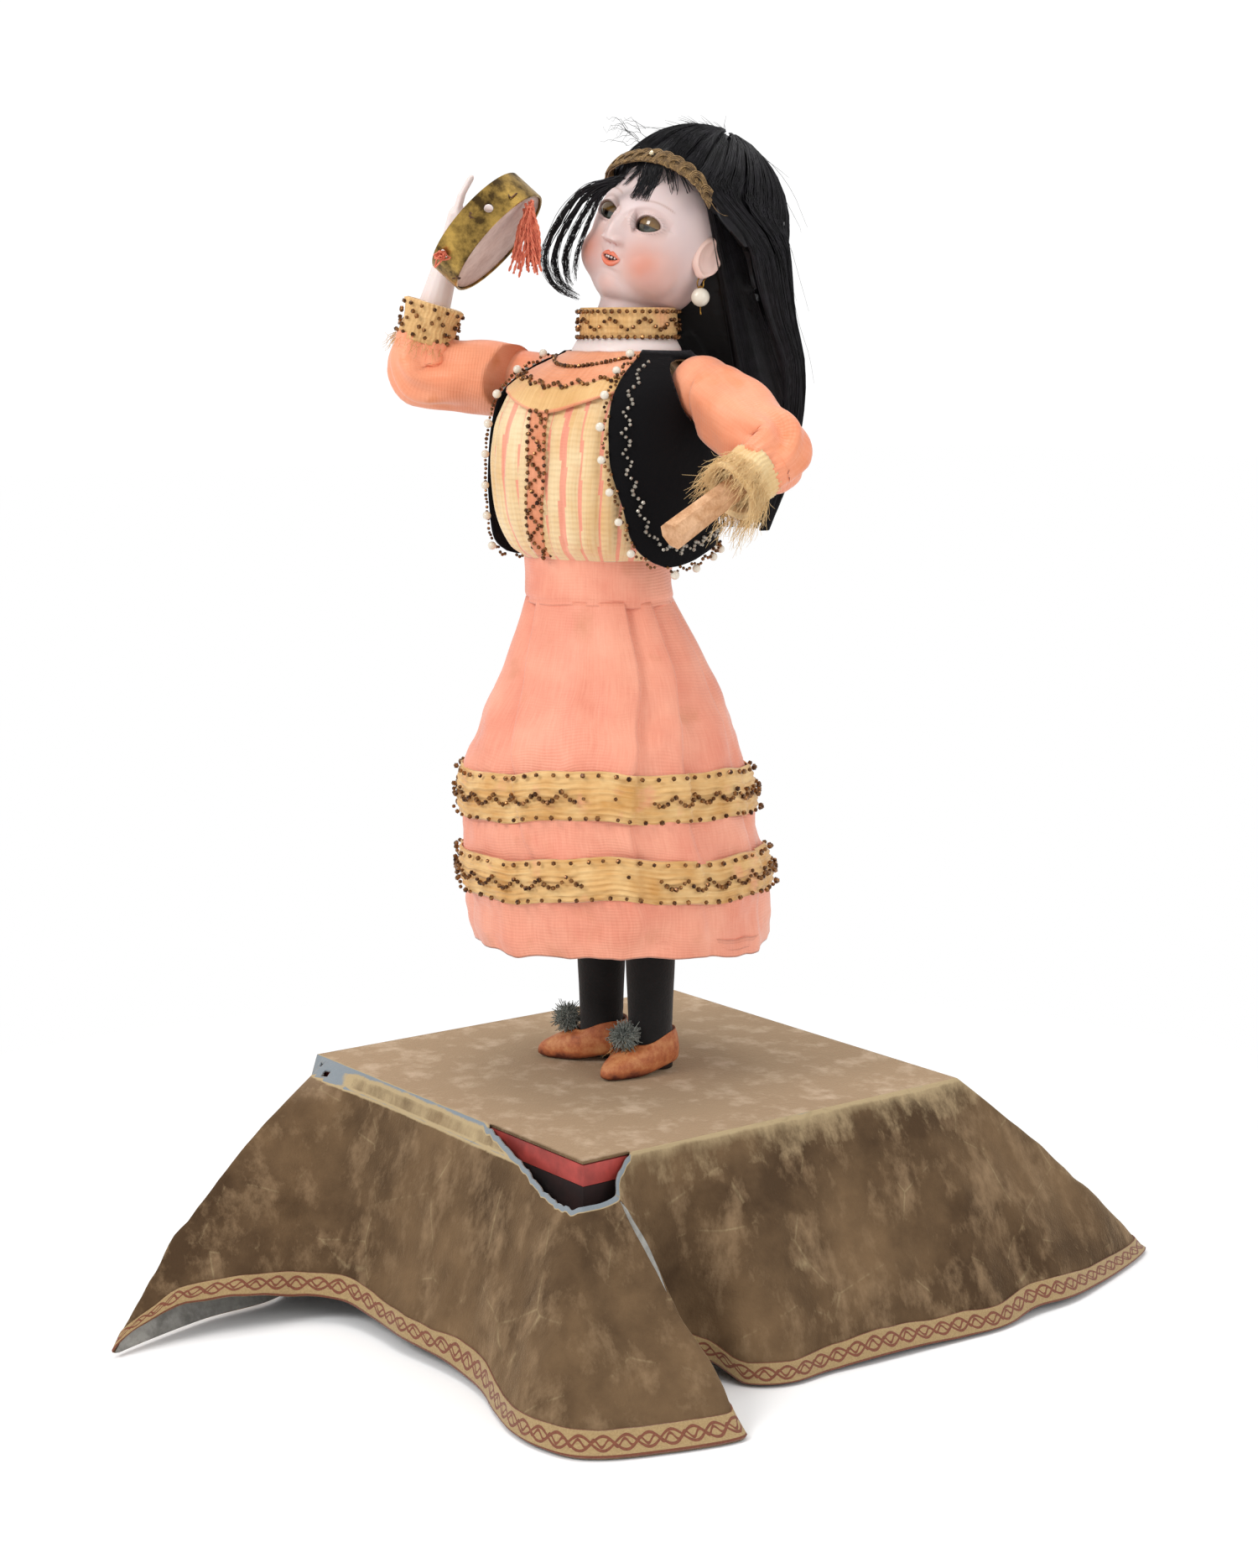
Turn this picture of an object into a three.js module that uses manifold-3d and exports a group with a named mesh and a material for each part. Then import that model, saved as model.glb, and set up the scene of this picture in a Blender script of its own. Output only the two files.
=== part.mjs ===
// Automaton doll with a tambourine on a draped clockwork base.
// Millimetres, +Z up. The doll faces -Y and its left hand is on +X.
// The origin is the centre of the base's underside, on the floor.
import * as THREE from 'three';
import { mergeVertices } from 'three/addons/utils/BufferGeometryUtils.js';
import Module from 'manifold-3d';

const wasm = await Module();
wasm.setup();

// Clearances
const gap = 0.3;
const over = 1;
const weld = 0.001;
const easing = 0.12;

// Base box
const boxSide = 208;
const boxWall = 8;
const bottomThick = 6;
const topThick = 9;
const boxHeight = 98;
const clothThick = 1.6;
const clothHalf = boxSide / 2 + 2;
const clothTop = boxHeight + gap + clothThick;
const braidWidth = 11;
const tipTrim = 3.4;

// Movement between two plates that stand across X
const leftPlateX = -36;
const plateThick = 2;
const plateSpace = 58;
const plateFront = -86;
const plateBack = 64;
const plateHeadroom = 9;
const plateTop = boxHeight - topThick - plateHeadroom;
const plateCornerRadius = 8;
const pillarRadius = 3;
const trainHeight = 43;
const gearModule = 1.5;
const gearBacklash = 0.35;
const gearThick = 3;
const gearPlaneX = -30;
const barrelTeeth = 44;
const secondTeeth = 32;
const camTeeth = 16;
const flyTeeth = 10;
const secondY = 8;
const drumRadius = 28;
const drumLength = 40;
const arborRadius = 4;
const pivotRadius = 2;
const camShaftRadius = 3;
const ratchetTeeth = 12;
const ratchetRadius = 11;
const ratchetThick = 2.5;
const clickArm = 15;
const clickWidth = 4;
const flyVaneRadius = 9;
const flyVaneLength = 20;
const flyVaneThick = 1;
const flyDirection = THREE.MathUtils.degToRad(-125);
const stopDirection = THREE.MathUtils.degToRad(-51);
const stopReach = 10.6;
const stopRadius = 1;
const stopTravel = 4;
const stopKnobRadius = 4;
const stopKnobLength = 5;
const keyStemRadius = 6;
const keyStemLength = 14;
const keySpan = 26;
const keyHeight = 13;
const keyThick = 2.5;
const keyEyeRadius = 3.2;

// Cams, levers and push rods
const camRadius = 20;
const camValleyRadius = 11.5;
const camThick = 2.4;
const leverThick = 2;
const leverDepth = 5;
const leverBossRadius = 4;
const leverRodRadius = 1.5;
const leverNoseHeight = 6;
const leverNoseRadius = 1.6;
const leverNoseArm = 22;
const leverRodOverrun = 4;
const rodRadius = 0.9;
const rodSpread = 2.4;

// Music work on the end of the cam shaft
const cylinderRadius = 9;
const cylinderLength = 42;
const pinHeight = 0.8;
const pinWidth = 0.7;
const pinRows = 12;
const pinAngleStep = THREE.MathUtils.degToRad(137.5);
const combThick = 1.6;
const combTeeth = 15;
const combLength = 26;
const combSlot = 0.9;
const combRoot = 9;
const bedThick = 3;
const bedMargin = 5;
const bracketThick = 3;
const bracketWidth = 14;

// Doll: a plumb line through the neck, and the turn of the body on the feet
const dollX = -6;
const dollY = 2.5;
const dollTurn = THREE.MathUtils.degToRad(12);
const shoulderHeight = 412;
const neckBaseRise = 19.7;
const nodRise = 11.3;
const neckBaseHeight = shoulderHeight + neckBaseRise;
const neckHeight = neckBaseHeight + nodRise;

// Legs and shoes
const leftLeg = new THREE.Vector3(10, 3, 0);
const rightLeg = new THREE.Vector3(-21, -2, 0);
const leftToeTurn = THREE.MathUtils.degToRad(4);
const rightToeTurn = THREE.MathUtils.degToRad(-46);
const ankleRadius = 9.8;
const calfRadius = 11.5;
const thighRadius = 13;
const hipHeight = 237;
const legBore = 4.6;
const pegRadius = 6.2;
const pegDepth = 8;
const soleThick = 3;
const shoeLength = 44;
const shoeWidth = 23;
const shoeHeight = 15;
const shoeHeelBack = 14;
const heelHeight = 3.5;
const heelLength = 8;
const heelWidth = 10;
const pompomRadius = 5.6;

// Torso shell with its shoulder lugs
const torsoWall = 3;
const shoulderHalf = 46;
const shoulderY = -4;
const neckBaseRadius = 20;
const torsoHalf = 37;
const lugRadius = 7;
const lugThick = 3;
const discThick = 8;
const trunnionRadius = 1.6;
const hornDepth = 5;
const hornThick = 2.4;
const hornReach = 31;
const rightArmDrop = THREE.MathUtils.degToRad(20);
const leftArmDrop = THREE.MathUtils.degToRad(15);
const armRadius = 5;

// Clothes
const silkThick = 1.5;
const skirtHemHeight = 154;
const skirtHemHalf = 68;
const skirtTopHeight = 317.5;
const skirtTopHalf = 34;
const pleatDepth = 3;
const pleats = 8;
const bandTopHeight = 337;
const bandHalf = 35.5;
const bandDeep = 29;
const yokeRise = 15;
const yokeHeight = shoulderHeight + yokeRise;
const blouseHalf = 46;
const blouseFront = 48;
const blouseBack = 31;
const vestThick = 2;
const vestHemHeight = 331;
const vestOpenHalf = 35;
const vestCornerRadius = 22;
const vestTopOpenHalf = 25;
const armholeRadius = 15.6;
const collarRadius = 21;
const collarHeight = 14;
const sleeveRadius = 15;
const sleeveInner = 12.5;
const elbowRadius = 18;
const cuffRadius = 13;
const cuffInner = 9.6;
const cuffLength = 17;

// Arms: elbow and the way the forearm points, from the shoulder
const upperArm = 60;
const rightUpperShare = new THREE.Vector3(-0.757, -0.655, 0.1);
const rightFore = 73;
const rightForeShare = new THREE.Vector3(0.217, 0.186, 0.958);
const leftUpperShare = new THREE.Vector3(0.865, -0.204, -0.45);
const leftFore = 66;
const leftForeShare = new THREE.Vector3(-0.17, -0.86, -0.48);
const cuffStart = 14;
const bisqueStart = 22;
const wristRadius = 6.2;
const bisqueRadius = 8.2;
const palmLength = 20;
const palmWidth = 15;
const palmThick = 9;
const fingerRadius = 2.1;
const fingerLength = 17;
const stubRadius = 6.4;

// Tambourine: where its centre hangs from the shoulder, and which way its skin looks
const hoopRadius = 27.3;
const hoopDepth = 15;
const hoopThick = 0.9;
const skinThick = 0.8;
const skinCrown = 0.6;
const hoopOut = 0.8;
const hoopAhead = 39.2;
const hoopRise = 67.4;
const hoopFacing = new THREE.Vector3(0.679, 0.324, -0.66);
const hoopHoleRadius = 2.2;
const hoopHoles = 5;
const tasselLength = 30;
const tasselRadius = 6;
const tasselKnotRadius = 2.6;

// Head, in its own frame: the nod axis is its origin and it faces -Y
const headTurn = THREE.MathUtils.degToRad(-3);
const headTilt = THREE.MathUtils.degToRad(-20);
const headLean = THREE.MathUtils.degToRad(10);
const headHalf = 28.5;
const headFront = 30;
const headBack = 33;
const headTall = 36;
const headRise = 36;
const bisqueWall = 3;
const neckRadius = 14;
const neckBelow = 6;
const neckAbove = 16;
const eyeRadius = 7.5;
const eyeHalf = 11.4;
const eyeRise = 40;
const eyeDepth = 19.4;
const eyelidThick = 1.4;
const lidHalf = 5.3;
const lidTall = 3.6;
const rockerRadius = 1.2;
const rockerDrop = 12;
const leadRadius = 4;
const nodPinRadius = 1.5;
const yokeShaftRadius = 3.5;
const yokeShaftLength = 20;
const yokeFlangeRadius = 7;
const yokeFlangeThick = 2;
const yokeEarHalf = 6;
const yokeEarThick = 2.4;
const turnArmReach = 16;
const turnArmWidth = 4;
const earringWire = 0.6;
const earringRing = 2.4;
const lobeRadius = 3;
const pearlRadius = 4.1;

// Wig
const wigHalf = 42;
const wigDeep = 46;
const wigTall = 50;
const wigCentre = new THREE.Vector3(5, 13, 42);
const wigFall = 97;
const wigDrop = neckHeight - wigFall;
const gimpWidth = 7;
const gimpThick = 1.4;

// A closed geometry as a solid that can be joined and cut.
function solid(geometry) {
  const plain = geometry.index ? geometry.toNonIndexed() : geometry.clone();
  for (const name of Object.keys(plain.attributes)) if (name !== 'position') plain.deleteAttribute(name);
  const merged = mergeVertices(plain, weld);
  const index = [];
  for (let i = 0; i < merged.index.count; i += 3) {
    const [a, b, c] = [0, 1, 2].map((k) => merged.index.getX(i + k));
    if (a !== b && b !== c && c !== a) index.push(a, b, c);
  }
  return new wasm.Manifold(new wasm.Mesh({
    numProp: 3,
    vertProperties: new Float32Array(merged.attributes.position.array),
    triVerts: new Uint32Array(index),
  }));
}

// A solid back as a geometry, with flat facets.
function shape(body) {
  const made = body.getMesh();
  const at = [];
  for (let i = 0; i < made.vertProperties.length; i += made.numProp) {
    at.push(made.vertProperties[i], made.vertProperties[i + 1], made.vertProperties[i + 2]);
  }
  const geometry = new THREE.BufferGeometry();
  geometry.setAttribute('position', new THREE.Float32BufferAttribute(at, 3));
  geometry.setIndex([...made.triVerts]);
  const flat = geometry.toNonIndexed();
  flat.computeVertexNormals();
  return flat;
}

// The largest body of a solid that a cut has left in pieces.
function largest(body) {
  return body.decompose().reduce((a, b) => (a.volume() > b.volume() ? a : b));
}

// The same solid with the facets that add less than the easing left out.
const eased = (body, by = easing) => largest(body.simplify(by));

// A box from its low corner to its high corner.
function block(low, high) {
  const size = high.clone().sub(low);
  return solid(new THREE.BoxGeometry(size.x, size.y, size.z)
    .translate((low.x + high.x) / 2, (low.y + high.y) / 2, (low.z + high.z) / 2));
}

// A round bar between two points; a second radius tapers it.
function bar(from, to, radius, sides = 16, endRadius = radius) {
  const along = to.clone().sub(from);
  const turn = new THREE.Quaternion()
    .setFromUnitVectors(new THREE.Vector3(0, 1, 0), along.clone().normalize());
  const middle = from.clone().add(to).multiplyScalar(0.5);
  return solid(new THREE.CylinderGeometry(endRadius, radius, along.length(), sides)
    .applyQuaternion(turn).translate(middle.x, middle.y, middle.z));
}

// A bar with round ends between two points.
function capsule(from, to, radius, sides = 8) {
  const along = to.clone().sub(from);
  const turn = new THREE.Quaternion()
    .setFromUnitVectors(new THREE.Vector3(0, 1, 0), along.clone().normalize());
  const middle = from.clone().add(to).multiplyScalar(0.5);
  return solid(new THREE.CapsuleGeometry(radius, along.length(), 2, sides)
    .applyQuaternion(turn).translate(middle.x, middle.y, middle.z));
}

function ball(at, radius, sides = 20, rings = 12) {
  return solid(new THREE.SphereGeometry(radius, sides, rings).translate(at.x, at.y, at.z));
}

// An ellipsoid about a point.
function ovoid(at, half, deep, tall, sides = 24, rings = 16) {
  return solid(new THREE.SphereGeometry(1, sides, rings).rotateX(Math.PI / 2)
    .scale(half, deep, tall).translate(at.x, at.y, at.z));
}

// A flat outline, drawn as (Y, Z), extruded along X from one place to another.
function plateAcrossX(outline, fromX, toX) {
  const geometry = new THREE.ExtrudeGeometry(outline,
    { depth: toX - fromX, bevelEnabled: false, curveSegments: 5 });
  geometry.applyMatrix4(new THREE.Matrix4().set(
    0, 0, 1, fromX,
    1, 0, 0, 0,
    0, 1, 0, 0,
    0, 0, 0, 1,
  ));
  return solid(geometry);
}

// A closed body through rings of equal count, each counter-clockwise from above, lowest first.
function loft(rings) {
  const at = [];
  const index = [];
  const count = rings[0].length;
  for (const ring of rings) for (const p of ring) at.push(p.x, p.y, p.z);
  for (let r = 0; r + 1 < rings.length; r += 1) {
    for (let i = 0; i < count; i += 1) {
      const j = (i + 1) % count;
      const [a, b, c, d] = [r * count + i, r * count + j, (r + 1) * count + j, (r + 1) * count + i];
      index.push(a, b, c, a, c, d);
    }
  }
  for (const [ring, start, up] of [[rings[0], 0, false], [rings.at(-1), (rings.length - 1) * count, true]]) {
    const middle = ring.reduce((sum, p) => sum.add(p), new THREE.Vector3()).divideScalar(count);
    const hub = at.length / 3;
    at.push(middle.x, middle.y, middle.z);
    for (let i = 0; i < count; i += 1) {
      const j = (i + 1) % count;
      if (up) index.push(start + i, start + j, hub);
      else index.push(start + j, start + i, hub);
    }
  }
  const geometry = new THREE.BufferGeometry();
  geometry.setAttribute('position', new THREE.Float32BufferAttribute(at, 3));
  geometry.setIndex(index);
  return geometry;
}

// A sleeve of cloth between an outer and an inner stack of rings, open at both ends.
function tubeLoft(outer, inner) {
  const count = outer[0].length;
  const levels = outer.length;
  const at = [];
  const index = [];
  for (const ring of [...outer, ...inner]) for (const p of ring) at.push(p.x, p.y, p.z);
  const quad = (a, b, c, d) => index.push(a, b, c, a, c, d);
  for (let i = 0; i < count; i += 1) {
    const j = (i + 1) % count;
    for (let r = 0; r + 1 < levels; r += 1) {
      quad(r * count + i, r * count + j, (r + 1) * count + j, (r + 1) * count + i);
      const s = levels + r;
      quad(s * count + j, s * count + i, (s + 1) * count + i, (s + 1) * count + j);
    }
    const innerTop = (2 * levels - 1) * count;
    const outerTop = (levels - 1) * count;
    quad(levels * count + i, levels * count + j, j, i);
    quad(innerTop + i, outerTop + i, outerTop + j, innerTop + j);
  }
  const geometry = new THREE.BufferGeometry();
  geometry.setAttribute('position', new THREE.Float32BufferAttribute(at, 3));
  geometry.setIndex(index);
  return geometry;
}

// A level ring about (x, y): half is its half width, front and back its depths, power 2 an ellipse and more
// squarer.
function ring({ z, x = 0, y = 0, half, front, back = front, power = 2, points = 48, fold = () => 0 }) {
  return Array.from({ length: points }, (_, i) => {
    const a = (2 * Math.PI * i) / points;
    const [c, s] = [Math.cos(a), Math.sin(a)];
    const r = (Math.abs(c) ** power + Math.abs(s) ** power) ** (-1 / power);
    const f = fold(i, points);
    return new THREE.Vector3(x + (half + f) * c * r, y + ((s < 0 ? front : back) + f) * s * r, z);
  });
}

// The same ring drawn in by a wall.
const drawnIn = (rows, wall) => rows.map((row) => ring({
  ...row, half: row.half - wall, front: row.front - wall, back: (row.back ?? row.front) - wall,
}));

// A tube along a path of points, with a radius at each.
function limb(path, radii, sides = 16) {
  const curve = new THREE.CatmullRomCurve3(path);
  const frames = curve.computeFrenetFrames(path.length - 1);
  return solid(loft(path.map((p, k) => Array.from({ length: sides }, (_, i) => {
    const a = (2 * Math.PI * i) / sides;
    return curve.getPoint(k / (path.length - 1))
      .addScaledVector(frames.normals[k], radii[k] * Math.cos(a))
      .addScaledVector(frames.binormals[k], radii[k] * Math.sin(a));
  }))));
}

function piece(name, geometry, material, group) {
  const mesh = new THREE.Mesh(geometry, material);
  mesh.name = name;
  group.add(mesh);
  return mesh;
}

const v = (x, y, z) => new THREE.Vector3(x, y, z);

const finish = (color, roughness, metalness = 0) =>
  new THREE.MeshStandardMaterial({ color, roughness, metalness });
const redPaint = finish(0x9e3f38, 0.6);
const pine = finish(0xb98f5c, 0.7);
const velvet = finish(0x6f5f47, 0.95);
const braid = finish(0x9a7448, 0.85);
const brass = finish(0xb08d4a, 0.35, 1);
const steel = finish(0x8a8c90, 0.35, 1);
const stocking = finish(0x141214, 0.95);
const shoeLeather = finish(0xc4703a, 0.6);
const wool = finish(0x8e958c, 0.95);
const paperShell = finish(0xd8c3a5, 0.8);
const peachSilk = finish(0xf0a081, 0.55);
const strawRibbon = finish(0xe3b675, 0.6);
const blackVelvet = finish(0x17161a, 0.95);
const bisque = finish(0xe8cdc6, 0.5);
const mohair = finish(0x121013, 0.75);
const gimp = finish(0x8a6b42, 0.5, 0.4);
const eyeGlass = finish(0x4a4034, 0.15);
const pearl = finish(0xd9cfb8, 0.3);
const beech = finish(0xb07a48, 0.7);
const vellum = finish(0xcdb9ae, 0.7);
const coralCord = finish(0xe2785c, 0.85);

const doll = new THREE.Group();

// BASE BOX: a bottom board, four walls and a top board, painted red.
const wallTop = boxHeight - topThick - gap;
const wallBottom = bottomThick + gap;
const half = boxSide / 2;
const barrelY = secondY - (gearModule * (barrelTeeth + secondTeeth)) / 2;
const camY = secondY + (gearModule * (secondTeeth + camTeeth)) / 2;
const flyReach = (gearModule * (secondTeeth + flyTeeth)) / 2;
const flyY = secondY + flyReach * Math.cos(flyDirection);
const flyZ = trainHeight + flyReach * Math.sin(flyDirection);
const stopY = flyY + stopReach * Math.cos(stopDirection);
const stopZ = flyZ + stopReach * Math.sin(stopDirection);

piece('base_bottom', shape(block(v(-half, -half, 0), v(half, half, bottomThick))), pine, doll);

const inner = half - boxWall;
let caseBody = block(v(-half, -half, wallBottom), v(half, half, wallTop))
  .subtract(block(v(-inner, -inner, wallBottom - over), v(inner, inner, wallTop + over)))
  .subtract(bar(v(-half - over, barrelY, trainHeight), v(-inner + over, barrelY, trainHeight),
    keyStemRadius + gap))
  .subtract(bar(v(-half - over, stopY, stopZ), v(-inner + over, stopY, stopZ), stopRadius + gap));
piece('base_case', shape(caseBody), redPaint, doll);

const pegHoles = [leftLeg, rightLeg].map((leg) =>
  bar(v(leg.x, leg.y, boxHeight - topThick - over), v(leg.x, leg.y, clothTop + over), pegRadius + gap, 16));
let topBody = block(v(-half, -half, boxHeight - topThick), v(half, half, boxHeight));
for (const hole of pegHoles) topBody = topBody.subtract(hole);
piece('base_top', shape(topBody), redPaint, doll);

// VELVET COVER AND HEM BRAID: one square of cloth lies on the box and hangs over its edges.
// Each line runs from a point of the box's top edge to the hem. Plan places are shares of the cloth's half
// side,
// heights are shares of the base's height, and belly is how far the middle of the line stands out.
const drapeShares = [
  // edge x, edge y, hem x, hem y, hem z, belly
  [-0.90, -1, -0.47, -2.29, 0.02, 0.10], [-0.87, -1, -0.49, -2.04, 0.15, 0.08],
    [-0.83, -1, -0.43, -1.76, 0.17, 0.06],
  [-0.76, -1, -0.37, -1.50, 0.13, 0.04], [-0.62, -1, -0.25, -1.35, 0.10, 0.02],
    [-0.40, -1, -0.02, -1.31, 0.07, 0.01],
  [-0.15, -1, 0.18, -1.32, 0.06, 0.01], [0.10, -1, 0.42, -1.30, 0.05, 0.01],
    [0.35, -1, 0.62, -1.30, 0.03, 0.01],
  [0.58, -1, 0.80, -1.33, 0.02, 0.01], [0.76, -1, 0.97, -1.39, 0, 0.02], [0.89, -1, 1.15, -1.44, 0, 0.03],
  [0.97, -1, 1.33, -1.44, 0, 0.02], [1, -1, 1.50, -1.37, 0, -0.02], [1, -0.97, 1.62, -1.16, 0, -0.08],
  [1, -0.94, 1.72, -0.77, 0, -0.10], [1, -0.89, 1.50, -0.79, 0.06, -0.03],
    [1, -0.82, 1.28, -0.84, 0.05, 0.01],
  [1, -0.73, 1.15, -0.78, 0.06, 0.02], [1, -0.60, 1.11, -0.62, 0.10, 0.02],
    [1, -0.48, 1.17, -0.50, 0.08, 0.03],
  [1, -0.36, 1.34, -0.42, 0, 0.05], [1, -0.24, 1.42, -0.28, 0, 0.05], [1, -0.10, 1.42, -0.08, 0.01, 0.03],
  [1, 0.10, 1.44, 0.12, 0.02, 0.02], [1, 0.32, 1.46, 0.38, 0.02, 0.02], [1, 0.52, 1.48, 0.62, 0.01, 0.03],
  [1, 0.70, 1.49, 0.82, 0, 0.05], [1, 0.82, 1.45, 1.05, 0.03, 0.02], [1, 0.92, 1.42, 1.38, 0.02, 0.01],
  [1, 1, 1.18, 2.03, 0, 0.04], [0.93, 1, 1.02, 1.72, 0.05, 0.02], [0.82, 1, 0.85, 1.50, 0.06, 0.02],
  [0.62, 1, 0.64, 1.38, 0.03, 0.02], [0.30, 1, 0.32, 1.43, 0, 0.04], [0, 1, 0, 1.36, 0.05, 0.02],
  [-0.30, 1, -0.32, 1.43, 0, 0.04], [-0.62, 1, -0.66, 1.38, 0.04, 0.02], [-0.85, 1, -0.98, 1.52, 0.03, 0.02],
  [-1, 1, -1.62, 1.86, 0, 0.03], [-1, 0.85, -1.52, 1.15, 0.04, 0.02], [-1, 0.62, -1.46, 0.72, 0, 0.04],
  [-1, 0.30, -1.43, 0.34, 0.04, 0.03], [-1, 0, -1.46, 0.02, 0, 0.05], [-1, -0.30, -1.44, -0.28, 0.04, 0.04],
  [-1, -0.58, -1.38, -0.62, 0, 0.04], [-1, -0.80, -1.20, -0.96, 0, 0.03], [-1, -1, -0.90, -1.22, 0, 0.04],
  [-0.96, -1, -0.64, -1.44, 0, 0.04], [-0.93, -1, -0.60, -1.82, 0, 0.07],
];
const drapeLine = ([edgeX, edgeY, hemX, hemY, hemZ, belly], t) => {
  const out = 4 * t * (1 - t) * belly * clothHalf;
  const p = v(
    THREE.MathUtils.lerp(edgeX, hemX, t) * clothHalf,
    THREE.MathUtils.lerp(edgeY, hemY, t) * clothHalf,
    THREE.MathUtils.lerp(clothTop, hemZ * clothTop, t),
  );
  const away = v(p.x, p.y, 0).normalize();
  return p.addScaledVector(away, out);
};
// Rows of the hanging cloth from the hem up, its outer side and, one thickness in, its inner side.
const hangShares = [
  () => 1,
  (length) => 1 - braidWidth / length,
  (length) => 1 - (braidWidth + 2 * gap) / length,
  () => 0.68, () => 0.45, () => 0.22, () => 0,
];
const outside = hangShares.map((share) => drapeShares.map((line) => {
  const length = drapeLine(line, 0).distanceTo(drapeLine(line, 1));
  return drapeLine(line, share(length));
}));
const braidRows = 2;
const inside = outside.map((row, r) => row.map((p, i) => {
  const level = Math.max(r, braidRows);
  const before = outside[level][(i + row.length - 1) % row.length];
  const after = outside[level][(i + 1) % row.length];
  const low = outside[level === braidRows ? 0 : level - 1][i];
  const high = outside[Math.min(level + 1, outside.length - 1)][i];
  const out = after.clone().sub(before).normalize().cross(high.clone().sub(low)).normalize();
  return p.clone().addScaledVector(out, -clothThick).setZ(Math.max(p.z - out.z * clothThick, 0));
}));
const lip = clothHalf - clothThick;
inside[inside.length - 1] = outside.at(-1).map((p) =>
  v(THREE.MathUtils.clamp(p.x, -lip, lip), THREE.MathUtils.clamp(p.y, -lip, lip), clothTop - clothThick));
let coverBody = solid(tubeLoft(outside.slice(braidRows), inside.slice(braidRows)))
  .add(block(v(-clothHalf, -clothHalf, clothTop - clothThick), v(clothHalf, clothHalf, clothTop)));
for (const hole of pegHoles) coverBody = coverBody.subtract(hole);
const tipRows = [15];
const hemBody = solid(tubeLoft(outside.slice(0, braidRows), inside.slice(0, braidRows)));
for (const lift of [0, gap]) coverBody = coverBody.subtract(hemBody.translate(0, 0, lift));
for (const tip of tipRows) {
  const [low, high] = [-tipTrim, tipTrim].map((d) => outside[braidRows][tip].clone().addScalar(d));
  coverBody = coverBody.subtract(block(low, high));
}
piece('velvet_cover', shape(largest(coverBody)), velvet, doll);
piece('hem_braid', shape(hemBody), braid, doll);

// MOVEMENT: a spring barrel drives a second wheel, and that the cam shaft and the fly, all across X between
// two plates.
const leftInner = leftPlateX + plateThick;
const rightPlateX = leftInner + plateSpace;
const arbors = [
  { y: barrelY, z: trainHeight, radius: arborRadius },
  { y: secondY, z: trainHeight, radius: pivotRadius },
  { y: camY, z: trainHeight, radius: camShaftRadius },
  { y: flyY, z: flyZ, radius: pivotRadius },
];
function platePanel(fromX, toX) {
  const r = plateCornerRadius;
  const outline = new THREE.Shape()
    .moveTo(plateFront, wallBottom)
    .lineTo(plateBack, wallBottom)
    .lineTo(plateBack, plateTop - r)
    .quadraticCurveTo(plateBack, plateTop, plateBack - r, plateTop)
    .lineTo(plateFront + r, plateTop)
    .quadraticCurveTo(plateFront, plateTop, plateFront, plateTop - r);
  for (const arbor of arbors) {
    outline.holes.push(new THREE.Path().absarc(arbor.y, arbor.z, arbor.radius + gap, 0, 2 * Math.PI, true));
  }
  outline.holes.push(new THREE.Path().absarc(stopY, stopZ, stopRadius + gap, 0, 2 * Math.PI, true));
  return plateAcrossX(outline, fromX, toX);
}
const pillarPlaces = [
  [plateFront + plateCornerRadius, wallBottom + plateCornerRadius],
  [plateBack - plateCornerRadius / 2, wallBottom + plateCornerRadius],
  [plateFront + plateCornerRadius, plateTop - plateCornerRadius],
];
let leftPlate = platePanel(leftPlateX, leftInner);
for (const [y, z] of pillarPlaces) leftPlate = leftPlate
  .add(bar(v(leftPlateX, y, z), v(rightPlateX - gap, y, z), pillarRadius, 8));
piece('left_plate', shape(leftPlate), brass, doll);
piece('right_plate', shape(platePanel(rightPlateX, rightPlateX + plateThick)), brass, doll);

// Involute gear teeth, drawn as (Y, Z) about a centre; turn is the angle of one tooth's middle.
const pressure = THREE.MathUtils.degToRad(20);
const addendumShare = 0.8;
const dedendumShare = 1.25;
const involute = (angle) => Math.tan(angle) - angle;
function gearOutline(teeth, turn, y, z) {
  const pitch = (gearModule * teeth) / 2;
  const baseRadius = pitch * Math.cos(pressure);
  const halfTooth = Math.PI / (2 * teeth) - gearBacklash / (4 * pitch);
  const spread = (radius) =>
    halfTooth + involute(pressure) - involute(Math.acos(Math.min(1, baseRadius / radius)));
  const tall = [pitch - dedendumShare * gearModule, pitch, pitch + addendumShare * gearModule];
  const levels = teeth > flyTeeth ? [tall[0], tall[2]] : tall;
  const outline = new THREE.Shape();
  for (let i = 0; i < teeth; i += 1) {
    const middle = turn + (2 * Math.PI * i) / teeth;
    const corners = [...levels.map((r) => [r, -spread(r)]), ...levels.toReversed()
      .map((r) => [r, spread(r)])];
    corners.forEach(([r, a], k) => {
      const [py, pz] = [y + r * Math.cos(middle + a), z + r * Math.sin(middle + a)];
      if (i === 0 && k === 0) outline.moveTo(py, pz);
      else outline.lineTo(py, pz);
    });
  }
  return outline;
}
// The tooth angle of a wheel that meshes with one whose tooth angle is known, along the line between their
// centres.
function meshTurn(teethA, turnA, teethB, line) {
  const step = (2 * Math.PI) / teethA;
  const share = THREE.MathUtils.euclideanModulo((line - turnA) / step, 1);
  return line + Math.PI + ((share + 0.5) * 2 * Math.PI) / teethB;
}
const flyLine = flyDirection;
const barrelTurn = 0;
const secondTurn = meshTurn(barrelTeeth, barrelTurn, secondTeeth, 0);
const camTurn = meshTurn(secondTeeth, secondTurn, camTeeth, 0);
const flyTurn = meshTurn(secondTeeth, secondTurn, flyTeeth, flyLine);
const gearLow = gearPlaneX;
const gearHigh = gearPlaneX + gearThick;

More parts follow.
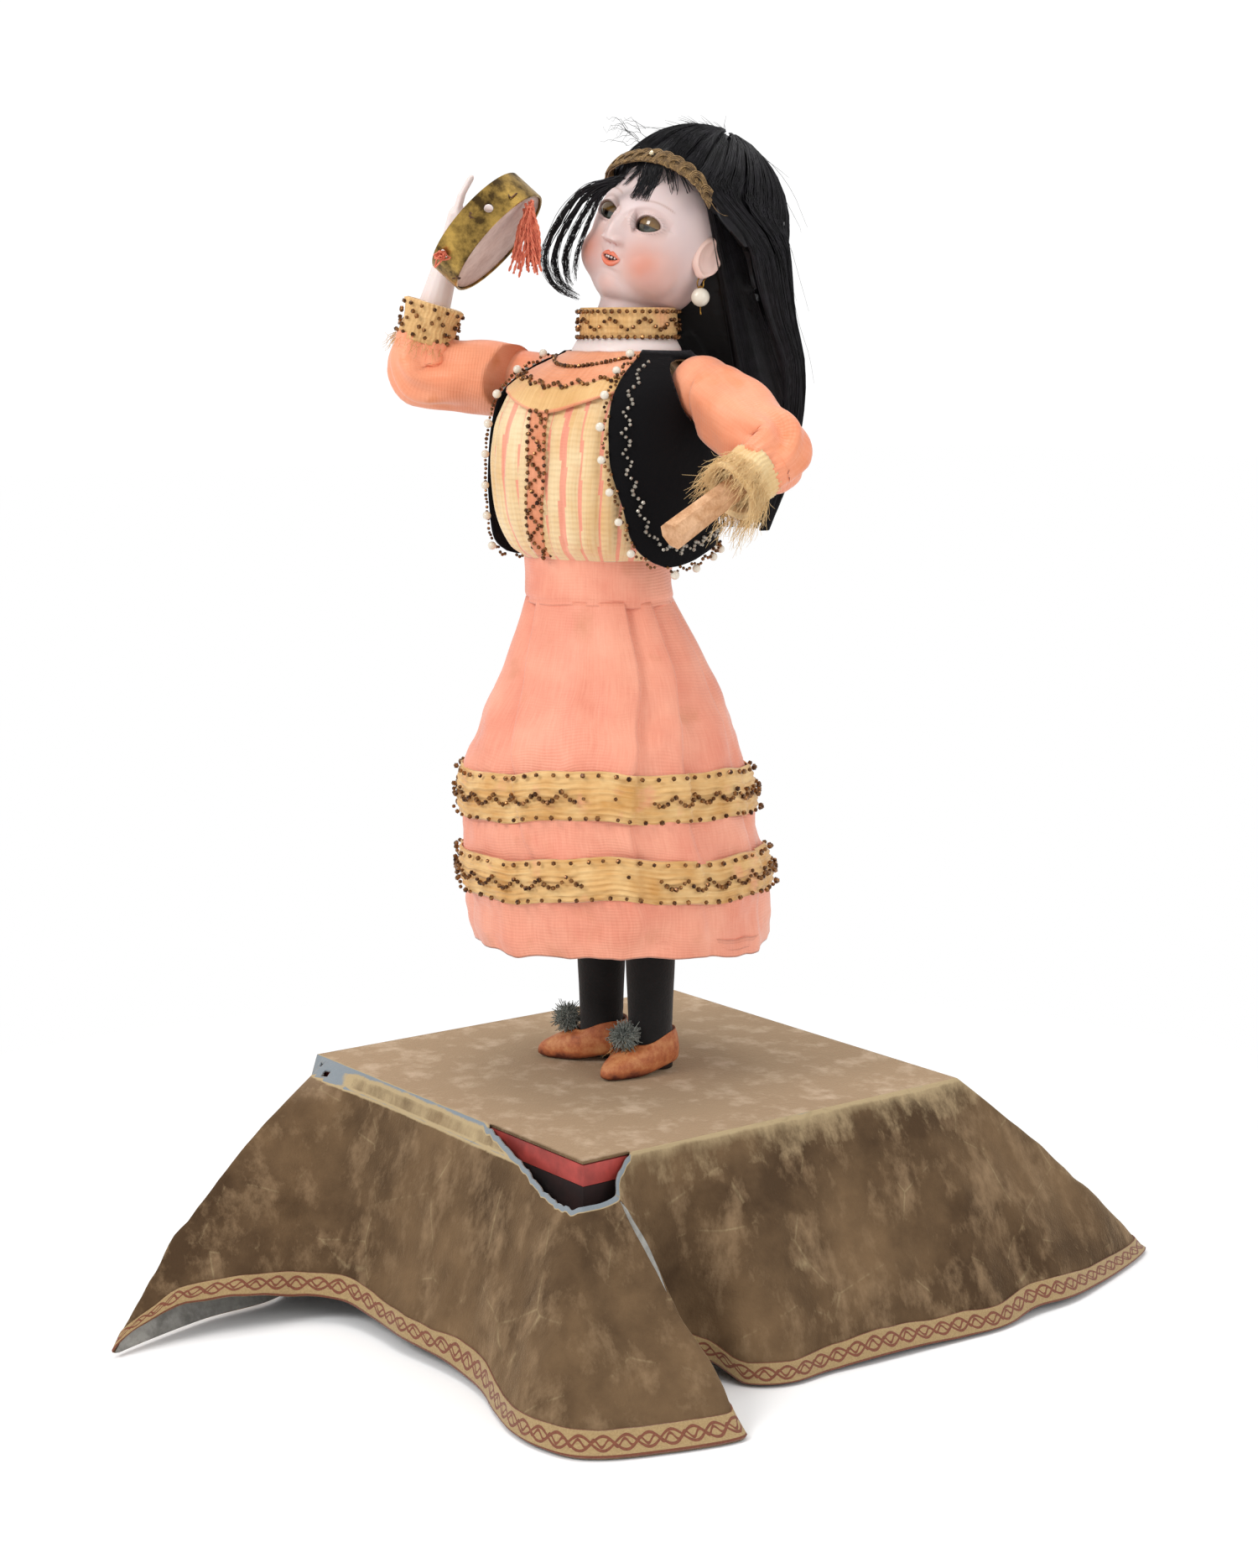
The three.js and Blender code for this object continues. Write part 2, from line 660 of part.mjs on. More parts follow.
// Spring barrel: drum, great wheel and a bore that runs on the winding arbor.
let barrel = plateAcrossX(gearOutline(barrelTeeth, barrelTurn, barrelY, trainHeight), gearLow, gearHigh)
  .add(bar(v(gearLow, barrelY, trainHeight), v(gearLow + drumLength, barrelY, trainHeight), drumRadius, 28))
  .add(bar(v(gearLow + drumLength - over, barrelY, trainHeight),
    v(gearLow + drumLength + plateThick, barrelY, trainHeight), arborRadius * 2, 20))
  .subtract(bar(v(gearLow - over, barrelY, trainHeight),
    v(gearLow + drumLength + plateThick + over, barrelY, trainHeight), arborRadius + gap, 24));
piece('spring_barrel', shape(eased(barrel, easing / 4)), brass, doll);

// Winding arbor through the barrel, the plates and the case wall, with the ratchet wheel outside the plate.
const arborTail = half + gap + keyStemLength / 2;
const ratchetX = leftPlateX - gap - ratchetThick;
const ratchetOutline = new THREE.Shape();
for (let i = 0; i < ratchetTeeth; i += 1) {
  const a = (2 * Math.PI * i) / ratchetTeeth;
  const b = (2 * Math.PI * (i + 0.9)) / ratchetTeeth;
  const low = ratchetRadius * 0.78;
  const [y0, z0] = [barrelY + low * Math.cos(a), trainHeight + low * Math.sin(a)];
  const [y1, z1] = [barrelY + ratchetRadius * Math.cos(b), trainHeight + ratchetRadius * Math.sin(b)];
  if (i === 0) ratchetOutline.moveTo(y0, z0);
  else ratchetOutline.lineTo(y0, z0);
  ratchetOutline.lineTo(y1, z1);
}
const windingArbor =
  bar(v(-arborTail, barrelY, trainHeight), v(rightPlateX + plateThick + over, barrelY, trainHeight),
  arborRadius, 14)
  .add(plateAcrossX(ratchetOutline, ratchetX, ratchetX + ratchetThick));
piece('winding_arbor', shape(windingArbor), steel, doll);

// Click: a pawl on the plate's outside that rests just clear of the ratchet's tips.
const clickPivotY = barrelY - ratchetRadius - gap - clickWidth / 2;
const clickPivotZ = trainHeight - clickArm;
const click = bar(v(ratchetX, clickPivotY, clickPivotZ), v(leftPlateX - gap, clickPivotY, clickPivotZ),
  clickWidth, 16)
  .add(block(v(ratchetX, clickPivotY - clickWidth / 2, clickPivotZ),
    v(leftPlateX - gap, clickPivotY + clickWidth / 2, trainHeight)));
piece('ratchet_click', shape(click), steel, doll);

// Winding key on the arbor's end, outside the case and under the cloth.
const keyX = -half - gap;
const bow = new THREE.Shape();
const wing = keySpan / 4;
bow.absellipse(barrelY - wing * 0.97, trainHeight, wing, keyHeight / 2, 0, 2 * Math.PI);
const bowHole = new THREE.Path().absarc(barrelY - wing, trainHeight, keyEyeRadius, 0, 2 * Math.PI, true);
bow.holes.push(bowHole);
const otherBow = new THREE.Shape();
otherBow.absellipse(barrelY + wing * 0.97, trainHeight, wing, keyHeight / 2, 0, 2 * Math.PI);
otherBow.holes.push(new THREE.Path().absarc(barrelY + wing, trainHeight, keyEyeRadius, 0, 2 * Math.PI, true));
const bows = plateAcrossX(bow, keyX - keyStemLength - keyThick / 2, keyX - keyStemLength + keyThick / 2)
  .add(plateAcrossX(otherBow, keyX - keyStemLength - keyThick / 2, keyX - keyStemLength + keyThick / 2));
const key = bar(v(keyX - keyStemLength, barrelY, trainHeight), v(keyX, barrelY, trainHeight),
  keyStemRadius, 14)
  .add(bows)
  .subtract(bar(v(-arborTail - gap, barrelY, trainHeight), v(keyX + over, barrelY, trainHeight),
    arborRadius + gap, 12));
piece('winding_key', shape(key), steel, doll);

// Second wheel, cam shaft with its wheel, and fly.
const secondArbor = (outline, y, z, radius, fromX, toX) => plateAcrossX(outline, gearLow, gearHigh)
  .add(bar(v(fromX, y, z), v(toX, y, z), radius, 16));
piece('second_wheel', shape(secondArbor(gearOutline(secondTeeth, secondTurn, secondY, trainHeight),
  secondY, trainHeight, pivotRadius, leftPlateX, rightPlateX + plateThick)), brass, doll);

const bracketX = rightPlateX + plateThick + bedMargin + cylinderLength + bedMargin;
const shaftEnd = bracketX + bracketThick + over;
const camShaft = secondArbor(gearOutline(camTeeth, camTurn, camY, trainHeight), camY, trainHeight,
  camShaftRadius, leftPlateX, shaftEnd);
piece('cam_shaft', shape(camShaft), steel, doll);

const flyLow = gearHigh + gearThick;
const fly = secondArbor(gearOutline(flyTeeth, flyTurn, flyY, flyZ), flyY, flyZ, pivotRadius, leftPlateX,
  rightPlateX + plateThick)
  .add(block(v(flyLow, flyY - flyVaneRadius, flyZ - flyVaneThick / 2),
    v(flyLow + flyVaneLength, flyY + flyVaneRadius, flyZ + flyVaneThick / 2)));
piece('air_brake', shape(fly), brass, doll);

// Stop wire: pushed in, its bent tip stands between the fly's vanes.
const stopTip = flyLow - gap;
const stopInward =
  v(stopTip - stopRadius, flyY + (stopReach - stopTravel) * Math.cos(stopDirection),
  flyZ + (stopReach - stopTravel) * Math.sin(stopDirection));
const stopWire = bar(v(-half - stopTravel - gap, stopY, stopZ), v(stopTip, stopY, stopZ), stopRadius, 12)
  .add(bar(v(stopTip - stopRadius, stopY, stopZ), stopInward, stopRadius * 0.8, 8))
  .add(bar(v(-half - stopTravel - gap - stopKnobLength, stopY, stopZ),
    v(-half - stopTravel - gap, stopY, stopZ), stopKnobRadius, 16));
piece('stop_wire', shape(stopWire), brass, doll);

// CAMS, LEVERS AND PUSH RODS: each cam lets one lever's nose down, and the lever's other end lifts a rod in
// a leg.
const rods = {
  right_arm: { x: rightLeg.x - rodSpread, y: rightLeg.y, top: 0 },
  head_turn: { x: rightLeg.x + rodSpread, y: rightLeg.y, top: 0 },
  head_nod: { x: leftLeg.x - rodSpread, y: leftLeg.y, top: 0 },
  left_arm: { x: leftLeg.x + rodSpread, y: leftLeg.y, top: 0 },
};
const leverRodY = camY - leverNoseArm;
const leverZ = trainHeight + camRadius + gap + leverNoseHeight;
rods.right_arm.top = shoulderHeight - hornDepth / 2 - gap;
rods.left_arm.top = rods.right_arm.top;
rods.head_turn.top = neckBaseHeight - torsoWall * 4;
rods.head_nod.top = rods.head_turn.top - torsoWall;
// Cam edges: hollows face the noses at rest and after half a turn of the barrel; the swells between differ.
const camSwellShares = {
  right_arm: [1, 0.8, 1, 0.9, 1, 1],
  head_turn: [0.9, 1, 1, 0.85, 1, 0.95],
  head_nod: [1, 0.85, 0.95, 1, 0.8, 1],
  left_arm: [0.85, 1, 0.8, 1, 0.9, 1],
};
const hollowTurns = [Math.PI / 2, -Math.PI / 4];
function camOutline(swells) {
  const steps = 30;
  const outline = new THREE.Shape();
  for (let i = 0; i < steps; i += 1) {
    const a = (2 * Math.PI * i) / steps;
    const near = Math.min(...hollowTurns.map((h) => Math.abs(Math.atan2(Math.sin(a - h), Math.cos(a - h)))));
    const rise = THREE.MathUtils.smoothstep(near, Math.PI / 5, Math.PI / 2.6);
    const swell = swells[Math.floor((i * swells.length) / steps)];
    const r = THREE.MathUtils.lerp(camValleyRadius, camRadius * THREE.MathUtils.lerp(0.85, 1, swell), rise);
    const [y, z] = [camY + r * Math.cos(a), trainHeight + r * Math.sin(a)];
    if (i === 0) outline.moveTo(y, z);
    else outline.lineTo(y, z);
  }
  outline.holes.push(new THREE.Path().absarc(camY, trainHeight, camShaftRadius + gap, 0, 2 * Math.PI, true));
  return outline;
}
const leverX = (rod) => rod.x + rodRadius + gap + leverThick / 2;
for (const [name, rod] of Object.entries(rods)) {
  const x = leverX(rod);
  piece(`${name}_cam`,
    shape(plateAcrossX(camOutline(camSwellShares[name]), x - camThick / 2, x + camThick / 2)), brass, doll);
  const low = leverZ - leverDepth / 2;
  const lever = block(v(x - leverThick / 2, rod.y - leverRodOverrun, low),
    v(x + leverThick / 2, camY + leverNoseRadius, low + leverDepth))
    .add(bar(v(x - leverThick / 2, leverRodY, leverZ), v(x + leverThick / 2, leverRodY, leverZ),
      leverBossRadius, 10))
    .add(block(v(x - leverThick / 2, camY - leverNoseRadius,
      trainHeight + camRadius + gap + leverNoseRadius),
      v(x + leverThick / 2, camY + leverNoseRadius, leverZ)))
    .add(bar(v(x - leverThick / 2, camY, trainHeight + camRadius + gap + leverNoseRadius),
      v(x + leverThick / 2, camY, trainHeight + camRadius + gap + leverNoseRadius), leverNoseRadius, 8))
    .subtract(bar(v(x - leverThick, leverRodY, leverZ), v(x + leverThick, leverRodY, leverZ),
      leverRodRadius + gap * 2, 8));
  piece(`${name}_lever`, shape(lever), brass, doll);
  piece(`${name}_rod`,
    shape(bar(v(rod.x, rod.y, leverZ - leverDepth / 2), v(rod.x, rod.y, rod.top), rodRadius, 8)), steel,
    doll);
}
const pivotPost = bar(v(leftInner + gap, leverRodY, leverZ), v(rightPlateX - gap, leverRodY, leverZ),
  leverRodRadius, 12);
piece('lever_pivot_rod', shape(pivotPost), steel, doll);

// MUSIC WORK: pinned cylinder on the cam shaft, comb and bedplate.
const cylinderLow = rightPlateX + plateThick + bedMargin;
let cylinder = bar(v(cylinderLow, camY, trainHeight), v(cylinderLow + cylinderLength, camY, trainHeight),
  cylinderRadius, 24);
for (let i = 0; i < pinRows; i += 1) {
  const a = i * pinAngleStep;
  const x = cylinderLow + pinWidth * 2 + ((cylinderLength - pinWidth * 4) * (i + 0.5)) / pinRows;
  const spike = solid(new THREE.BoxGeometry(pinWidth, cylinderRadius + pinHeight, pinWidth)
    .translate(0, (cylinderRadius + pinHeight) / 2, 0).rotateX(a).translate(x, camY, trainHeight));
  cylinder = cylinder.add(spike);
}
cylinder = cylinder
  .subtract(bar(v(cylinderLow - over, camY, trainHeight),
  v(cylinderLow + cylinderLength + over, camY, trainHeight), camShaftRadius + gap, 16));
piece('music_cylinder', shape(cylinder), brass, doll);

const combTipY = camY - cylinderRadius - pinHeight - gap;
const combLow = cylinderLow + pinWidth;
const combHigh = cylinderLow + cylinderLength - pinWidth;
const toothStep = (combHigh - combLow + combSlot) / combTeeth;
const combOutline =
  new THREE.Shape().moveTo(combLow, combTipY - combLength).lineTo(combHigh, combTipY - combLength);
for (let i = combTeeth - 1; i >= 0; i -= 1) {
  const x0 = combLow + i * toothStep;
  const x1 = x0 + toothStep - combSlot;
  const rootY = combTipY - combLength + combRoot;
  combOutline.lineTo(x1, combTipY);
  combOutline.lineTo(x0, combTipY);
  if (i > 0) {
    combOutline.lineTo(x0, rootY);
    combOutline.lineTo(x0 - combSlot, rootY);
  }
}
piece('music_comb',
  shape(solid(new THREE.ExtrudeGeometry(combOutline, { depth: combThick, bevelEnabled: false })
  .translate(0, 0, trainHeight - combThick / 2))), steel, doll);

const bedLow = cylinderLow - bedMargin + gap;
const bedFront = combTipY - combLength - bedMargin;
const bed = block(v(bedLow, bedFront, wallBottom),
  v(bracketX + bracketThick, camY + bracketWidth / 2, wallBottom + bedThick))
  .add(block(v(combLow, combTipY - combLength, wallBottom),
    v(combHigh, combTipY - combLength + combRoot - bedThick, trainHeight - combThick / 2 - gap)))
  .add(block(v(bracketX, camY - bracketWidth / 2, wallBottom),
    v(bracketX + bracketThick, camY + bracketWidth / 2, trainHeight + bracketWidth / 2)))
  .subtract(bar(v(bracketX - over, camY, trainHeight),
    v(bracketX + bracketThick + over, camY, trainHeight), camShaftRadius + gap, 20));
piece('music_bedplate', shape(bed), brass, doll);

// FIGURE: legs are dowelled into the top board; above them the body stands turned and swayed.
const legFoot = clothTop + gap + heelHeight + soleThick;
const lerp = THREE.MathUtils.lerp;
const rowsOf = (shares, low, high, make) => shares
  .map(([share, ...rest]) => ({ z: lerp(low, high, share), ...make(...rest) }));
// Leg: height from sole to hip, then radius from the ankle's to the thigh's.
const legShares = [[0, -0.25], [0.06, 0], [0.22, 0.22], [0.42, 0.55], [1, 1]];
const legRows = (leg, extra) => rowsOf(legShares, legFoot, hipHeight, (share) => {
  const r = lerp(ankleRadius, thighRadius, share) + extra;
  return { x: leg.x, y: leg.y, half: r, front: r, points: 14 };
});
// Shoe: height, then half width, reach ahead and reach behind.
const shoeShares =
  [[0, 0.78, 0.94, 0.86], [0.14, 0.92, 1, 0.97], [0.4, 1, 0.95, 1], [0.66, 0.98, 0.72, 0.97],
  [0.86, 0.95, 0.48, 0.93], [1, 0.93, 0.42, 0.88]];
const pompomAt = v(0, -ankleRadius - pompomRadius - gap * 2, clothTop + heelHeight + shoeHeight);
for (const [side, leg, turn] of [['left', leftLeg, leftToeTurn], ['right', rightLeg, rightToeTurn]]) {
  const bore = bar(v(leg.x, leg.y, boxHeight - pegDepth - over), v(leg.x, leg.y, hipHeight + over),
    legBore, 16);
  const peg = bar(v(leg.x, leg.y, boxHeight - pegDepth), v(leg.x, leg.y, legFoot + over), pegRadius, 12);
  const legBody = solid(loft(legRows(leg, 0).map(ring))).add(peg).subtract(bore);
  piece(`${side}_leg`, shape(legBody), stocking, doll);

  const ahead = shoeLength - shoeHeelBack;
  const shoeRings = rowsOf(shoeShares, 0, shoeHeight, (h, f, b) => ({
    half: (h * shoeWidth) / 2, front: f * ahead, back: b * shoeHeelBack, power: 2.2, points: 16,
  })).map(ring);
  for (const row of shoeRings) for (const p of row) p.z += heelHeight * THREE.MathUtils.smoothstep(p.y,
    -ahead / 2, shoeHeelBack / 2);
  const heel = bar(v(0, shoeHeelBack - heelLength, 0), v(0, shoeHeelBack - heelLength, heelHeight + over),
    heelWidth / 2, 16);
  const place = (body) => body.rotate(0, 0, THREE.MathUtils.radToDeg(turn))
    .translate(leg.x, leg.y, clothTop + gap);
  const shoeBody = place(solid(loft(shoeRings)).add(heel))
    .subtract(bar(v(leg.x, leg.y, legFoot - gap), v(leg.x, leg.y, legFoot + shoeHeight * 2),
      ankleRadius + gap * 2, 12))
    .subtract(bar(v(leg.x, leg.y, clothTop), v(leg.x, leg.y, legFoot), pegRadius + gap, 12));
  const pompomPlace = pompomAt.clone().applyAxisAngle(v(0, 0, 1), turn).add(v(leg.x, leg.y, 0));
  piece(`${side}_shoe`, shape(eased(shoeBody.subtract(ball(pompomPlace, pompomRadius + gap * 2, 12, 8)))),
    shoeLeather, doll);
  piece(`${side}_pompom`, shape(ball(pompomPlace, pompomRadius, 10, 6)), wool, doll);
}

const figure = new THREE.Group();
figure.position.set(dollX, dollY, 0);
figure.rotation.z = dollTurn;
figure.updateMatrix();
doll.add(figure);
const toFigure = (p) => p.clone().applyMatrix4(figure.matrix.clone().invert());
const hung = Object.fromEntries(Object.entries(rods)
  .map(([name, rod]) => [name, toFigure(v(rod.x, rod.y, rod.top))]));

// Torso shell: height from hip to neck base, then sway, half width, front and back.
const torsoSway = v(-2, -12, 0);
const torsoShares = [
  [0, 0.4, 0.74, 0.59, 0.54], [0.17, 0.6, 0.81, 0.65, 0.59], [0.32, 0.8, 0.72, 0.59, 0.54],
    [0.45, 1, 0.76, 0.65, 0.58],
  [0.62, 0.9, 0.84, 0.76, 0.6], [0.78, 0.6, 1, 0.86, 0.7], [0.9, 0.4, 1, 0.84, 0.68],
    [0.965, 0.2, 0.66, 0.54, 0.47], [1, 0, 0.54, 0.48, 0.45],
];
const torsoRows = rowsOf(torsoShares, hipHeight + gap, neckBaseHeight, (sway, h, f, b) => ({
  x: sway * torsoSway.x, y: sway * torsoSway.y, half: h * torsoHalf, front: f * torsoHalf,
    back: b * torsoHalf, points: 14,
}));
const hollowRows = torsoRows.map((row) => ({ ...row }));
hollowRows[0].z -= over;
hollowRows.at(-1).z -= torsoWall;
hollowRows.at(-2).z -= torsoWall;
const lug = (side, near, far) =>
  bar(v(side * shoulderHalf, near, shoulderHeight), v(side * shoulderHalf, far, shoulderHeight), lugRadius,
  20)
  .add(block(v(Math.min(side * shoulderHalf, side * torsoHalf * 0.8), near, shoulderHeight - lugRadius),
    v(Math.max(side * shoulderHalf, side * torsoHalf * 0.8), far, shoulderHeight + lugRadius)));
let torsoBody = solid(loft(torsoRows.map(ring))).subtract(solid(loft(drawnIn(hollowRows, torsoWall))));
const pivots = { right: v(-shoulderHalf, shoulderY, shoulderHeight),
  left: v(shoulderHalf, shoulderY, shoulderHeight) };
const lugNear = discThick / 2 + gap;
const lugFar = lugNear + lugThick;
const hornTop = shoulderY + discThick / 2 - hornThick / 2 - gap;
const hornSweep = { right: hornReach * Math.sin(rightArmDrop), left: hornReach * Math.sin(leftArmDrop) };
const hornY = { right: Math.min(hung.right_arm.y, hornTop), left: Math.min(hung.left_arm.y, hornTop) };
for (const [side, pivot] of Object.entries(pivots)) {
  const sign = Math.sign(pivot.x);
  torsoBody = torsoBody
    .add(lug(sign, pivot.y - lugFar, pivot.y - lugNear).add(lug(sign, pivot.y + lugNear, pivot.y + lugFar)))
    .subtract(bar(v(pivot.x, pivot.y - lugFar - over, pivot.z),
      v(pivot.x, pivot.y + lugFar + over, pivot.z), trunnionRadius + gap, 16))
    .subtract(block(v(Math.min(pivot.x - sign * hornReach, pivot.x), hornY[side] - hornThick / 2 - gap,
      pivot.z - hornDepth),
      v(Math.max(pivot.x - sign * hornReach, pivot.x), hornY[side] + hornThick / 2 + gap,
        pivot.z + hornSweep[side] + hornDepth / 2 + gap)));
}
torsoBody = torsoBody
  .subtract(bar(v(0, 0, neckBaseHeight - torsoWall - over), v(0, 0, neckBaseHeight + over),
  yokeShaftRadius + gap, 20));
piece('torso', shape(eased(torsoBody, easing * 2)), paperShell, figure);

// CLOTHES: the waist sways forward and to the right of the neck's plumb line, and the cloth hangs from it.
const sway = v(-5.6, -14, 0);
// Skirt: height from hem to waist, then sway, half width from the waist's to the hem's, and depth over half
// width.
const skirtShares = [
  [0, 0.23, 1, 0.97], [0.19, 0.45, 1.06, 0.97], [0.37, 0.7, 0.97, 0.97], [0.48, 0.78, 0.92, 0.96],
    [0.55, 0.8, 0.85, 0.95],
  [0.68, 0.78, 0.62, 0.93], [0.8, 0.78, 0.37, 0.9], [0.91, 0.9, 0.12, 0.86], [1, 1, 0, 0.82],
];
const skirtSide = skirtShares.map(([share, k, wide, deep]) => {
  const h = lerp(skirtTopHalf, skirtHemHalf, wide);
  return {
    z: lerp(skirtHemHeight, skirtTopHeight - gap, share), x: k * sway.x, y: k * sway.y, half: h,
      front: h * deep, power: 2.1, points: 28,
    fold: (i, points) =>
      lerp(pleatDepth, pleatDepth / 4, share) * Math.cos((2 * Math.PI * pleats * i) / points),
  };
});
piece('skirt', tubeLoft(skirtSide.map(ring), drawnIn(skirtSide, silkThick)), peachSilk, figure);

const bandRows = [0, 0.5, 1].map((share) => ({
  z: lerp(skirtTopHeight, bandTopHeight, share), x: sway.x, y: sway.y,
    half: bandHalf - (share === 0.5 ? silkThick / 2 : 0),
  front: bandDeep, back: bandDeep, points: 22,
}));
piece('waistband', tubeLoft(bandRows.map(ring), drawnIn(bandRows, silkThick)), peachSilk, figure);

// Blouse: height from waistband to yoke, then sway, half width, front, back and squareness.
const blouseShares = [
  [0, 0.95, 0.76, 0.6, 0.92, 2.2], [0.07, 0.88, 0.82, 0.75, 0.95, 2.6], [0.2, 0.78, 0.9, 0.87, 0.97, 3],
    [0.42, 0.6, 0.98, 0.98, 1, 3],
  [0.64, 0.42, 1, 1, 1, 3], [0.81, 0.27, 0.98, 0.92, 0.94, 2.8], [0.92, 0.13, 0.87, 0.71, 0.82, 2.4],
    [1, 0, 0.59, 0.5, 0.7, 2],
];
const blouseRows = rowsOf(blouseShares, bandTopHeight + gap, yokeHeight, (k, h, f, b, power) => ({
  x: k * sway.x, y: k * sway.y, half: h * blouseHalf, front: f * blouseFront, back: b * blouseBack, power,
    points: 24,
}));
const armholes = Object.values(pivots).map((pivot) => ball(pivot, armholeRadius, 16, 10));
let blouseBody = solid(tubeLoft(blouseRows.map(ring), drawnIn(blouseRows, silkThick)));
for (const hole of armholes) blouseBody = blouseBody.subtract(hole);
piece('blouse', shape(eased(blouseBody, easing * 2)), strawRibbon, figure);

// Vest: follows the blouse's shoulders, hangs straight from the chest and is open in front.
const vestLoose = vestThick + gap * 3;
const chestRow = blouseRows[3];
const vestRows = [{ ...chestRow, z: vestHemHeight }, ...blouseRows.slice(3)].map((row) => ({
  ...row, z: Math.min(row.z, yokeHeight + gap), half: row.half + vestLoose, front: row.front + vestLoose,
    back: row.back + vestLoose,
}));
const vestSway = v(-2, 0, 0);
const vestFront = blouseFront + vestLoose;
const vestOpening = new THREE.Shape()
  .moveTo(vestSway.x - vestOpenHalf - vestCornerRadius, vestHemHeight - over)
  .quadraticCurveTo(vestSway.x - vestOpenHalf, vestHemHeight, vestSway.x - vestOpenHalf,
    vestHemHeight + vestCornerRadius)
  .lineTo(vestSway.x - vestOpenHalf, shoulderHeight - armholeRadius)
  .lineTo(-vestTopOpenHalf, yokeHeight + over)
  .lineTo(vestTopOpenHalf * 1.3, yokeHeight + over)
  .lineTo(vestSway.x + vestOpenHalf, shoulderHeight - armholeRadius)
  .lineTo(vestSway.x + vestOpenHalf, vestHemHeight + vestCornerRadius)
  .quadraticCurveTo(vestSway.x + vestOpenHalf, vestHemHeight, vestSway.x + vestOpenHalf + vestCornerRadius,
    vestHemHeight - over);
const openingBody =
  solid(new THREE.ExtrudeGeometry(vestOpening,
  { depth: vestFront * 2, bevelEnabled: false, curveSegments: 8 })
  .rotateX(Math.PI / 2).translate(0, sway.y / 2, 0));
let vestBody = solid(tubeLoft(vestRows.map(ring), drawnIn(vestRows, vestThick))).subtract(openingBody);
for (const hole of armholes) vestBody = vestBody.subtract(hole);
piece('vest', shape(eased(vestBody)), blackVelvet, figure);

const collarRows = [0, 0.5, 1].map((share) => ({
  z: neckBaseHeight + gap + collarHeight * share, half: collarRadius + (share === 0.5 ? silkThick / 4 : 0),
    front: collarRadius, points: 18,
}));
piece('collar', tubeLoft(collarRows.map(ring), drawnIn(collarRows, silkThick)), strawRibbon, figure);

// ARMS: each hangs on trunnions between two lugs, and its horn reaches in over a push rod.
const arms = {
  right: { pivot: pivots.right, upper: rightUpperShare, fore: rightForeShare, sign: -1, drop: rightArmDrop },
  left: { pivot: pivots.left, upper: leftUpperShare, fore: leftForeShare, sign: 1, drop: leftArmDrop },
};
